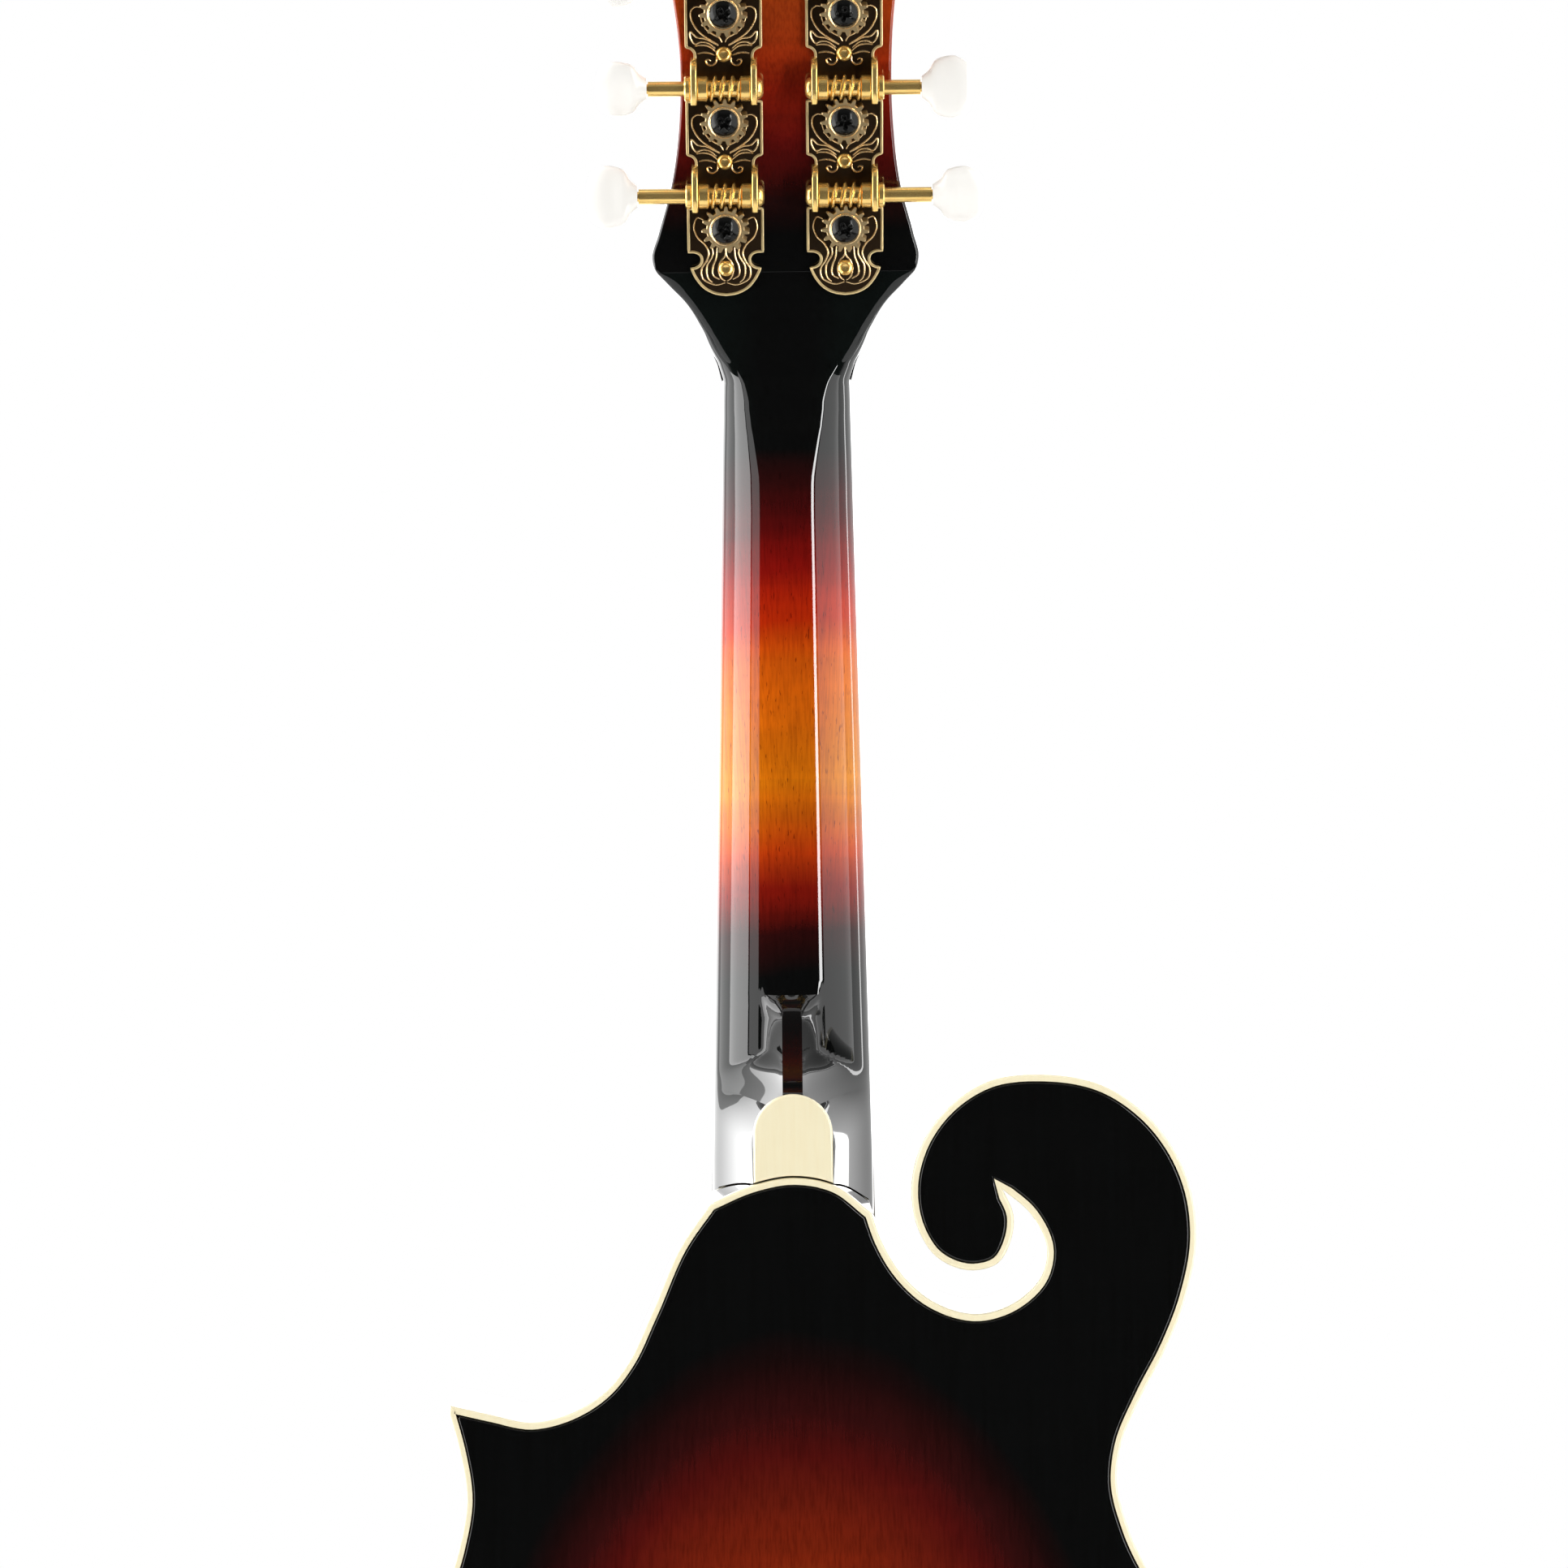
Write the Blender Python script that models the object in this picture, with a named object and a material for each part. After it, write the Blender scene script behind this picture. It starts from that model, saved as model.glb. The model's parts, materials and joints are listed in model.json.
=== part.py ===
"""F-style mandolin, modelled as its separate pieces. Metres, +Z up.

The instrument stands upright: +Z runs up the body to the headstock, +Y is the back, -Y the string side,
and +X the treble side with its two points. The origin is at the nut, on the centreline, in the plane
where the fingerboard is glued to the neck. Three empties carry the pieces: the body frame at the neck
joint, the neck frame tilted back with the neck, and the head frame pitched further back.
"""

import math

import bmesh
import bpy
import numpy as np
from mathutils import Matrix, Vector
from mathutils.geometry import delaunay_2d_cdt

# Clearances
GAP = 0.0003
RUNNING_GAP = 0.0007
CUT_PAST = 0.05

# Scale and angles
SCALE_LENGTH = 0.350
JOINT_FRET = 14
FRET_COUNT = 22
NECK_TILT = math.radians(5.0)
HEAD_PITCH = math.radians(13.0)

# Body
RIB_DEPTH = 0.045
OVERSTAND = 0.008
PLATE_THICKNESS = 0.004
ARCH_HEIGHT = 0.012
ARCH_HALF_WIDTH = 0.112
ARCH_HALF_LENGTH = 0.150
ARCH_CENTRE = -0.180
RECURVE = 0.012
RIB_THICKNESS = 0.0025
BINDING_WIDTH = 0.0016
TAIL_BLOCK_HALF_WIDTH = 0.032
TAIL_BLOCK_DEPTH = 0.018
TONE_BAR_WIDTH = 0.006
TONE_BAR_HEIGHT = 0.011
HEAD_BLOCK_WEB = 0.0120
TONE_BAR_TOP_X = 0.018
TONE_BAR_TOP_Z = -0.070
TONE_BAR_LENGTH = 0.190
TONE_BAR_SPREAD = 0.009
TONE_BAR_SEAT = 0.0006
F_HOLE_HALF_WIDTH = 0.0024
F_HOLE_END_HALF_WIDTH = 0.0010
F_HOLE_EYE_RADIUS = 0.0034
F_HOLE_EYE_RUN = 0.0082
PLATE_MESH_SIZE = 0.018
PLATE_MESH_MARGIN = 0.008
OUTLINE_STEP = 0.0095

# Body outline: smooth runs between its corners, (x, z) from the neck joint
CUTAWAY_RUN = [(0.0200, -0.0060), (0.0265, -0.0151), (0.0344, -0.0324), (0.0401, -0.0440), (0.0447, -0.0498),
               (0.0537, -0.0556), (0.0628, -0.0577), (0.0724, -0.0558), (0.0822, -0.0535)]
WAIST_RUN = [(0.0825, -0.0556), (0.0802, -0.0643), (0.0786, -0.0759), (0.0805, -0.0875), (0.0860, -0.1030),
             (0.0950, -0.1240), (0.1060, -0.1460), (0.1200, -0.1650)]
LOWER_RUN = [(0.1214, -0.1680), (0.1218, -0.1800), (0.1244, -0.1940), (0.1250, -0.2050), (0.1210, -0.2320),
             (0.1060, -0.2620), (0.0800, -0.2860), (0.0450, -0.3005), (0.0000, -0.3050), (-0.0450, -0.3005),
             (-0.0800, -0.2860), (-0.1060, -0.2620), (-0.1210, -0.2320), (-0.1250, -0.2050),
             (-0.1220, -0.1800), (-0.1130, -0.1500), (-0.0990, -0.1220), (-0.0875, -0.1010),
             (-0.0793, -0.0846), (-0.0765, -0.0730), (-0.0775, -0.0643), (-0.0824, -0.0527),
             (-0.0885, -0.0411), (-0.0931, -0.0295), (-0.0959, -0.0141), (-0.0946, -0.0035),
             (-0.0911, 0.0052), (-0.0846, 0.0139), (-0.0740, 0.0213), (-0.0595, 0.0241), (-0.0466, 0.0226),
             (-0.0373, 0.0168), (-0.0308, 0.0081), (-0.0280, -0.0035), (-0.0295, -0.0122),
             (-0.0340, -0.0192), (-0.0427, -0.0224), (-0.0484, -0.0208), (-0.0517, -0.0151),
             (-0.0523, -0.0093), (-0.0497, -0.0031)]
SLOT_RUN = [(-0.0497, -0.0031), (-0.0566, -0.0093), (-0.0602, -0.0180), (-0.0589, -0.0238), (-0.0535, -0.0295),
            (-0.0442, -0.0328), (-0.0326, -0.0295), (-0.0261, -0.0238), (-0.0208, -0.0151), (-0.0185, -0.0085)]
JOINT_RUN = [(-0.0185, -0.0085), (-0.0100, -0.0020), (0.0000, 0.0000), (0.0100, -0.0018), (0.0200, -0.0060)]
F_HOLE_PATH = [(0.0430, -0.1215), (0.0465, -0.1180), (0.0508, -0.1205), (0.0540, -0.1310), (0.0575, -0.1480),
               (0.0620, -0.1660), (0.0660, -0.1785), (0.0705, -0.1835), (0.0750, -0.1800)]

# Heel, neck and fingerboard
NUT_HALF_WIDTH = 0.0155
JOINT_HALF_WIDTH = 0.0198
NECK_DEPTH_AT_NUT = 0.0155
NECK_DEPTH_AT_HEEL = 0.0175
NECK_EXTENSION = 0.040
EXTENSION_GAP = 0.0008
HEEL_START_ABOVE_JOINT = 0.0441
HEEL_END_ABOVE_JOINT = 0.0181
HEEL_LEVEL = 0.008
HEEL_CORNER_SHARE = 0.62
HEEL_CAP_HALF_WIDTH = 0.00945
HEEL_CAP_LENGTH = 0.0199
HEEL_CAP_THICKNESS = 0.0020
FINGERBOARD_THICKNESS = 0.0050
FINGERBOARD_TAIL = 0.0142
FRET_WIDTH = 0.0010
FRET_CROWN_WIDTH = 0.00064
FRET_HEIGHT = 0.0009
NUT_LENGTH = 0.0050
NUT_RISE = 0.0014
NUT_EDGE = 0.0009
TRUSS_ROD_WIDTH = 0.0050
TRUSS_ROD_DEPTH = 0.0075
ROD_END_ABOVE_JOINT = 0.0221
ROD_NUT_RADIUS = 0.0022
ROD_NUT_DEPTH = 0.0050
ROD_POCKET_TOP = 0.0220

# Headstock: the two sides from the nut up, (x, z) in the head frame
HEAD_THICKNESS = 0.0140
OVERLAY_THICKNESS = 0.0020
OVERLAY_START = 0.0070
HEAD_TREBLE_SIDE = [(0.0157, 0.0000), (0.0167, 0.0050), (0.0196, 0.0129), (0.0240, 0.0211), (0.0285, 0.0262),
                    (0.0315, 0.0300), (0.0320, 0.0325), (0.0305, 0.0380), (0.0272, 0.0500), (0.0252, 0.0640),
                    (0.0247, 0.0800), (0.0262, 0.0950), (0.0292, 0.1120), (0.0330, 0.1280), (0.0368, 0.1420),
                    (0.0410, 0.1560)]
HEAD_DIP = [(0.0410, 0.1560), (0.0330, 0.1515), (0.0240, 0.1480), (0.0140, 0.1455), (0.0040, 0.1430),
            (-0.0080, 0.1420), (-0.0180, 0.1445), (-0.0235, 0.1520), (-0.0215, 0.1610)]
HEAD_CURL = [(-0.0215, 0.1610), (-0.0175, 0.1560), (-0.0100, 0.1525), (-0.0020, 0.1535), (0.0045, 0.1590),
             (0.0060, 0.1680), (0.0020, 0.1765), (-0.0070, 0.1825), (-0.0180, 0.1840), (-0.0290, 0.1795),
             (-0.0365, 0.1700), (-0.0385, 0.1580), (-0.0365, 0.1420), (-0.0325, 0.1270), (-0.0290, 0.1110),
             (-0.0265, 0.0950), (-0.0256, 0.0800), (-0.0260, 0.0640), (-0.0277, 0.0500), (-0.0308, 0.0380),
             (-0.0320, 0.0325), (-0.0315, 0.0300), (-0.0285, 0.0262), (-0.0240, 0.0211), (-0.0196, 0.0129),
             (-0.0167, 0.0050), (-0.0157, 0.0000)]
ROD_COVER_LENGTH = 0.030
ROD_COVER_HALF_WIDTH = 0.0075
ROD_COVER_THICKNESS = 0.0015
ROD_COVER_TIP_HALF_WIDTH = 0.0019
ROD_COVER_MARGIN = 0.0008
ROD_POCKET_MARGIN = 0.002

# Tuners: four units on each plate, heights measured from the back face of the headstock
UNIT_COUNT = 4
UNIT_PITCH = 0.0260
FIRST_GEAR_Z = 0.0409
POST_ROW_X = 0.0143
POST_RADIUS = 0.0030
POST_CHAMFER = 0.0006
POST_STAND = 0.0170
TUNER_PLATE_THICKNESS = 0.0012
TUNER_PLATE_HALF_WIDTH = 0.0091
TUNER_WAIST_HALF_WIDTH = 0.00715
TUNER_LAND_LENGTH = 0.0134
TUNER_LAND_OFFSET = -0.0023
FAN_HALF_WIDTH = 0.0082
FAN_LENGTH = 0.0085
TOP_FAN_LENGTH = 0.0045
NOTCH = 0.0013
PLATE_SCREW_OFFSET = 0.0105
PLATE_SCREW_RADIUS = 0.0019
PLATE_SCREW_RISE = 0.0013
LUG_THICKNESS = 0.0011
LUG_HEIGHT = 0.0077
LUG_LENGTH = 0.0080
GEAR_TEETH = 15
GEAR_OUTER_RADIUS = 0.00575
GEAR_ROOT_RADIUS = 0.00455
GEAR_LOW = 0.0030
GEAR_HIGH = 0.0060
GEAR_TWIST = math.radians(4.8)
TOOTH_TIP_WIDTH = 0.00055
TOOTH_ROOT_WIDTH = 0.0011
GEAR_SCREW_RADIUS = 0.0033
GEAR_SCREW_HEIGHT = 0.0018
CENTRE_DISTANCE = 0.0079
WORM_HEIGHT = 0.0045
WORM_OUTER_RADIUS = 0.0029
WORM_ROOT_RADIUS = 0.0019
WORM_LEAD = 0.002094
WORM_CREST_WIDTH = 0.0005
WORM_BASE_WIDTH = 0.0009
WORM_TURNS = 4
THREAD_STEPS = 8
THREAD_SINK = 0.0003
COLLAR_LAP = 0.0007
JOURNAL_RADIUS = 0.0014
COLLAR_RADIUS = 0.0030
END_CAP_RADIUS = 0.00255
SHAFT_RADIUS = 0.0018
TANG_RADIUS = 0.0012
TANG_LENGTH = 0.0066
END_CAP_LENGTH = 0.0014
BUTTON_STARTS = [0.0352, 0.0326, 0.0326, 0.0352]
BUTTON_LENGTH = 0.0120
BUTTON_WIDTH = 0.0150
BUTTON_THICKNESS = 0.0056
BUTTON_TURNS = [0.28, -0.35, 0.85, -0.60]
# Button sections from the shaft outwards: shares of its length, width and thickness
BUTTON_SECTIONS = [(0.00, 0.34, 0.82), (0.12, 0.50, 0.88), (0.32, 0.90, 0.97), (0.62, 1.00, 1.00),
                   (0.88, 0.82, 0.86), (1.00, 0.44, 0.46)]

# Bridge
BRIDGE_BASE_LENGTH = 0.108
BRIDGE_BASE_DEPTH = 0.0110
BRIDGE_BASE_HEIGHT = 0.0052
BRIDGE_TIP_THICKNESS = 0.0025
BRIDGE_FLAT_HALF_WIDTH = 0.036
BRIDGE_SADDLE_LENGTH = 0.078
BRIDGE_SADDLE_DEPTH = 0.0045
SADDLE_RELIEF = 0.0005
SADDLE_END_THICKNESS = 0.0025
SADDLE_FALL = 0.0006
SADDLE_WALL = 0.0014
SADDLE_ARCH_HALF_WIDTH = 0.0150
BRIDGE_STUD_SPACING = 0.060
BRIDGE_STUD_RADIUS = 0.0016
BRIDGE_WHEEL_RADIUS = 0.0052
BRIDGE_WHEEL_HEIGHT = 0.0018
BRIDGE_TRAVEL = 0.0025
STRING_HEIGHT_AT_BRIDGE = 0.0100

# Tailpiece
TAILPIECE_LENGTH = 0.040
TAILPIECE_HALF_WIDTH = 0.024
TAILPIECE_SHEET = 0.0012
TAILPIECE_DROP = 0.034
TAILPIECE_RISE = 0.0062
HOOK_HEIGHT = 0.0040
STRING_SEAT_ON_HOOK = 0.0024
HOOK_OFFSET = 0.0260
HOOK_LENGTH = 0.0040
HOOK_NARROWING = 0.90
COVER_HEIGHT = 0.0095
COVER_BEND = 0.00665
COVER_SHEET = 0.0008
COVER_PLAY = 0.0012
END_PIN_RADIUS = 0.0048
END_PIN_STAND = 0.0130
END_PIN_SHANK_RADIUS = 0.0035
END_PIN_SHANK_TIP_RADIUS = 0.0030
# End pin profile from its tip to its seat: shares of its radius and of its stand
END_PIN_PROFILE = [(0.80, 1.00), (1.00, 0.85), (0.90, 0.70), (0.62, 0.40), (1.10, 0.00)]

# Strings
COURSES = "gdae"
STRING_RADII = {"g": 0.00050, "d": 0.00034, "a": 0.00025, "e": 0.00020}
COURSE_SPAN_AT_NUT = 0.0235
COURSE_SPAN_AT_BRIDGE = 0.0400
PAIR_SPACING_AT_NUT = 0.0024
PAIR_SPACING_AT_BRIDGE = 0.0032
POST_PASS = 0.0006
STRING_WRAP_HEIGHT = 0.0090

# Values that follow from the ones above
JOINT_DISTANCE = SCALE_LENGTH * (1 - 2 ** (-JOINT_FRET / 12))
LAST_FRET = SCALE_LENGTH * (1 - 2 ** (-FRET_COUNT / 12))
FINGERBOARD_LENGTH = LAST_FRET + FINGERBOARD_TAIL
HEEL_START = JOINT_DISTANCE - HEEL_START_ABOVE_JOINT
HEEL_END = JOINT_DISTANCE - HEEL_END_ABOVE_JOINT
TRUSS_ROD_LENGTH = JOINT_DISTANCE - ROD_END_ABOVE_JOINT
JOINT_PLACE = Vector((0, -JOINT_DISTANCE * math.sin(NECK_TILT), -JOINT_DISTANCE * math.cos(NECK_TILT)))
TOP_EDGE = OVERSTAND
BACK_EDGE = OVERSTAND + RIB_DEPTH
BRIDGE_Z = -(SCALE_LENGTH - JOINT_DISTANCE) * math.cos(NECK_TILT)
TAIL_Z = min(z for _, z in LOWER_RUN)
END_PIN_DEPTH = (TOP_EDGE + BACK_EDGE) / 2

IVORY = (0.86, 0.78, 0.58)
BLACK_LACQUER = (0.012, 0.010, 0.010)
SUNBURST_AMBER = (0.36, 0.11, 0.02)
MAPLE = (0.62, 0.42, 0.22)
SPRUCE = (0.66, 0.50, 0.30)
EBONY = (0.020, 0.016, 0.014)
GOLD = (0.83, 0.58, 0.22)
ANTIQUE_BRASS = (0.40, 0.29, 0.13)
PEARLOID = (0.90, 0.88, 0.82)
BONE = (0.85, 0.80, 0.68)
STEEL = (0.62, 0.62, 0.60)
BRONZE = (0.55, 0.32, 0.14)


def clear_scene():
    """Remove the objects that the file opened with."""
    for thing in list(bpy.data.objects):
        bpy.data.objects.remove(thing, do_unlink=True)


def finish(name, colour, roughness, metallic=0.0):
    """Principled material of one colour."""
    material = bpy.data.materials.new(name)
    material.use_nodes = True
    shader = material.node_tree.nodes["Principled BSDF"]
    shader.inputs["Base Color"].default_value = (*colour, 1.0)
    shader.inputs["Roughness"].default_value = roughness
    shader.inputs["Metallic"].default_value = metallic
    return material


def frame(name, location, tilt):
    """Empty that carries pieces, leaning back about X by tilt."""
    empty = bpy.data.objects.new(name, None)
    empty.location = location
    empty.rotation_euler = (-tilt, 0, 0)
    bpy.context.collection.objects.link(empty)
    return empty


def add(name, mesh, material, parent, location=(0, 0, 0), rotation=(0, 0, 0), smooth=None):
    """Named piece from a mesh; smooth is the angle up to which edges are shaded smooth."""
    if not mesh.materials:
        mesh.materials.append(material)
    if smooth:
        mesh.shade_smooth()
        mesh.set_sharp_from_angle(angle=math.radians(smooth))
    piece = bpy.data.objects.new(name, mesh)
    piece.location = location
    piece.rotation_euler = rotation
    piece.parent = parent
    bpy.context.collection.objects.link(piece)
    return piece


def closed_mesh(vertices, faces):
    """Mesh with its faces turned outwards."""
    mesh = bpy.data.meshes.new("piece")
    mesh.from_pydata([tuple(vertex) for vertex in vertices], [], [tuple(face) for face in faces])
    work = bmesh.new()
    work.from_mesh(mesh)
    bmesh.ops.recalc_face_normals(work, faces=work.faces)
    work.to_mesh(mesh)
    work.free()
    return mesh


def moved(mesh, matrix):
    """The same mesh, placed by the matrix."""
    mesh.transform(matrix)
    return mesh


def combined(mesh, other, operation):
    """New mesh: the first united with the second, or cut by it."""
    hosts = []
    for part in (mesh, other):
        host = bpy.data.objects.new("working", part)
        bpy.context.collection.objects.link(host)
        hosts.append(host)
    boolean = hosts[0].modifiers.new("combine", "BOOLEAN")
    boolean.operation = operation
    boolean.solver = "EXACT"
    boolean.object = hosts[1]
    graph = bpy.context.evaluated_depsgraph_get()
    result = bpy.data.meshes.new_from_object(hosts[0].evaluated_get(graph))
    for host in hosts:
        bpy.data.objects.remove(host, do_unlink=True)
    return result


def block(low, high):
    """Box between two corners."""
    corners = [(x, y, z) for x in (low[0], high[0]) for y in (low[1], high[1]) for z in (low[2], high[2])]
    faces = [(0, 1, 3, 2), (4, 6, 7, 5), (0, 4, 5, 1), (2, 3, 7, 6), (0, 2, 6, 4), (1, 5, 7, 3)]
    return closed_mesh(corners, faces)


def turned(profile, segments):
    """Profile of (radius, height) pairs, from axis to axis, turned round Z."""
    vertices = []
    rings = []
    for radius, height in profile:
        count = 1 if radius == 0 else segments
        rings.append(range(len(vertices), len(vertices) + count))
        for index in range(count):
            angle = 2 * math.pi * index / segments
            vertices.append((radius * math.cos(angle), radius * math.sin(angle), height))
    faces = []
    for low, high in zip(rings, rings[1:]):
        for index in range(segments):
            following = (index + 1) % segments
            corners = [low[index % len(low)], low[following % len(low)],
                       high[following % len(high)], high[index % len(high)]]
            faces.append(list(dict.fromkeys(corners)))
    return closed_mesh(vertices, faces)


def spline(points, step):
    """Smooth run through the points, sampled about every step, both ends included.

    Each stretch is a Hermite cubic whose end slopes are the chord-weighted means of its neighbours' directions.
    """
    points = np.asarray(points, float)
    chords = np.diff(points, axis=0)
    lengths = np.linalg.norm(chords, axis=1)[:, None]
    directions = chords / lengths
    slopes = np.empty_like(points)
    slopes[0] = directions[0]
    slopes[-1] = directions[-1]
    weights = lengths[1:] / (lengths[:-1] + lengths[1:])
    slopes[1:-1] = directions[:-1] * weights + directions[1:] * (1 - weights)
    run = [points[0]]
    for index, length in enumerate(lengths[:, 0]):
        count = max(1, round(length / step))
        for t in np.arange(1, count + 1) / count:
            place = ((2 * t**3 - 3 * t**2 + 1) * points[index] + (3 * t**2 - 2 * t**3) * points[index + 1]
                     + (t**3 - 2 * t**2 + t) * length * slopes[index]
                     + (t**3 - t**2) * length * slopes[index + 1])
            run.append(place)
    return np.array(run)


def closed_loop(runs, step):
    """One closed loop from smooth runs that meet end to end."""
    points = []
    for run in runs:
        for point in spline(run, step):
            if not points or np.linalg.norm(point - points[-1]) > GAP:
                points.append(point)
    if np.linalg.norm(points[0] - points[-1]) < GAP:
        points.pop()
    return np.array(points)


def edge_distance(points, loop):
    """Distance from each point to the closed loop."""
    along = np.roll(loop, -1, axis=0) - loop
    away = points[:, None] - loop[None]
    share = np.clip((away * along).sum(2) / (along**2).sum(1), 0, 1)
    return np.linalg.norm(away - share[..., None] * along, axis=2).min(1)


def inside(points, loop):
    """Whether each point lies inside the closed loop, by counting crossings."""
    x, z = points[:, 0, None], points[:, 1, None]
    x0, z0 = loop[:, 0], loop[:, 1]
    x1, z1 = np.roll(x0, -1), np.roll(z0, -1)
    spans = (z0 > z) != (z1 > z)
    rise = np.where(z1 == z0, 1, z1 - z0)
    crossing = x0 + (z - z0) * (x1 - x0) / rise
    return (spans & (x < crossing)).sum(1) % 2 == 1


def offset_loop(loop, distance):
    """Closed loop moved inwards by distance, outwards if negative; points left too near are dropped."""
    ahead = np.roll(loop, -1, axis=0) - loop
    ahead /= np.linalg.norm(ahead, axis=1)[:, None]
    behind = np.roll(ahead, 1, axis=0)
    tangent = ahead + behind
    tangent /= np.linalg.norm(tangent, axis=1)[:, None]
    x, z = loop[:, 0], loop[:, 1]
    turn = np.sign((x * np.roll(z, -1) - z * np.roll(x, -1)).sum())
    inward = np.column_stack([-tangent[:, 1], tangent[:, 0]]) * turn
    stretch = 1 / np.maximum(0.6, (tangent * ahead).sum(1))[:, None]
    shifted = loop + inward * distance * stretch
    return shifted[edge_distance(shifted, loop) > abs(distance) * 0.96]


def slab(loops, near, far, interior=()):
    """Closed solid bounded by the loops in X and Z, between the surfaces near(points) and far(points) in Y."""
    flat = [Vector(point) for loop in loops for point in loop] + [Vector(point) for point in interior]
    edges = []
    start = 0
    for loop in loops:
        count = len(loop)
        edges += [(start + index, start + (index + 1) % count) for index in range(count)]
        start += count
    points, _, faces, _, _, _ = delaunay_2d_cdt(flat, edges, [], 0, 1e-7)
    points = np.array(points)
    middles = points[np.array(faces)].mean(axis=1)
    kept = inside(middles, np.asarray(loops[0]))
    for hole in loops[1:]:
        kept &= ~inside(middles, np.asarray(hole))
    faces = np.array(faces)[kept]
    sides = {}
    for face in faces:
        for first, second in zip(face, np.roll(face, -1)):
            key = (min(first, second), max(first, second))
            sides[key] = None if key in sides else (first, second)
    total = len(points)
    walls = [(b, a, a + total, b + total) for a, b in filter(None, sides.values())]
    front = np.column_stack([points[:, 0], near(points), points[:, 1]])
    back = np.column_stack([points[:, 0], far(points), points[:, 1]])
    used = np.unique(faces)
    renumber = np.zeros(2 * total, int)
    renumber[used] = np.arange(len(used))
    renumber[used + total] = np.arange(len(used)) + len(used)
    vertices = np.vstack([front[used], back[used]])
    all_faces = [face for face in faces] + [face[::-1] + total for face in faces] + walls
    return closed_mesh(vertices, [renumber[list(face)] for face in all_faces])


def flat(y):
    """Surface at one depth, for slab."""
    return lambda points: np.full(len(points), y)


def body_outline():
    """Outline of the body as seen from the front, clockwise from the neck."""
    return closed_loop([JOINT_RUN, CUTAWAY_RUN, WAIST_RUN, LOWER_RUN, SLOT_RUN], OUTLINE_STEP)


def arch(points, outline):
    """Rise of the plates over their edge: a squared cosine over an ellipse, faded out at the recurve."""
    across = points[:, 0] / ARCH_HALF_WIDTH
    along = (points[:, 1] - ARCH_CENTRE) / ARCH_HALF_LENGTH
    reach = np.minimum(1, np.hypot(across, along))
    share = np.clip(edge_distance(points, outline) / RECURVE, 0, 1)
    return ARCH_HEIGHT * np.cos(math.pi / 2 * reach) ** 2 * share**2 * (3 - 2 * share)


def plate_grid(loop):
    """Staggered grid of points inside the loop, clear of its edge."""
    low, high = loop.min(0), loop.max(0)
    rows = np.arange(low[1], high[1], PLATE_MESH_SIZE * math.sqrt(3) / 2)
    points = []
    for index, z in enumerate(rows):
        shift = PLATE_MESH_SIZE / 2 * (index % 2)
        points += [(x + shift, z) for x in np.arange(low[0], high[0], PLATE_MESH_SIZE)]
    points = np.array(points)
    return points[inside(points, loop) & (edge_distance(points, loop) > PLATE_MESH_MARGIN)]


def f_hole(side):
    """Outline of one sound hole: a ribbon along its path that swells into a round eye at each end."""
    path = spline(F_HOLE_PATH, 0.001)
    travel = np.concatenate([[0], np.cumsum(np.linalg.norm(np.diff(path, axis=0), axis=1))])
    near_end = np.linspace(0, F_HOLE_EYE_RUN, 6)
    stem = np.linspace(near_end[-1], travel[-1] - near_end[-1], 9)[1:-1]
    stops = np.concatenate([near_end, stem, travel[-1] - near_end[::-1]])
    centre = np.column_stack([np.interp(stops, travel, path[:, axis]) for axis in (0, 1)])
    ahead = np.column_stack([np.interp(stops + 0.0005, travel, path[:, axis]) for axis in (0, 1)])
    behind = np.column_stack([np.interp(stops - 0.0005, travel, path[:, axis]) for axis in (0, 1)])
    tangent = (ahead - behind) / np.linalg.norm(ahead - behind, axis=1)[:, None]
    from_end = np.minimum(stops, travel[-1] - stops)
    eye = np.sqrt(np.maximum(0, F_HOLE_EYE_RADIUS**2 - (from_end - F_HOLE_EYE_RADIUS) ** 2))
    swell = (F_HOLE_HALF_WIDTH - F_HOLE_END_HALF_WIDTH) * np.sin(math.pi * stops / travel[-1])
    width = np.maximum(eye, F_HOLE_END_HALF_WIDTH + swell)
    width[[0, -1]] = 0
    normal = np.column_stack([-tangent[:, 1], tangent[:, 0]]) * width[:, None]
    loop = np.vstack([centre + normal, (centre - normal)[-2:0:-1]])
    return loop * (side, 1)


def stretch_of(outline, start, end):
    """The outline's points from the one nearest start to the one nearest end, and their inward normals."""
    count = len(outline)
    first = np.linalg.norm(outline - start, axis=1).argmin()
    last = np.linalg.norm(outline - end, axis=1).argmin()
    picks = [(first + step) % count for step in range((last - first) % count + 1)]
    ahead = np.roll(outline, -1, axis=0) - outline
    ahead /= np.linalg.norm(ahead, axis=1)[:, None]
    tangent = ahead + np.roll(ahead, 1, axis=0)
    tangent /= np.linalg.norm(tangent, axis=1)[:, None]
    run = outline[picks].copy()
    along = tangent[picks]
    run[0] += along[0] * GAP / 2
    run[-1] -= along[-1] * GAP / 2
    return run, np.column_stack([along[:, 1], -along[:, 0]])


def rib(outline, start, end):
    """Strip of side wall that follows the outline from start to end."""
    run, normals = stretch_of(outline, start, end)
    inner = run + normals * RIB_THICKNESS
    kept = edge_distance(inner, outline) > RIB_THICKNESS * 0.9
    kept[[0, -1]] = True
    return np.vstack([run, inner[kept][::-1]])


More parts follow.
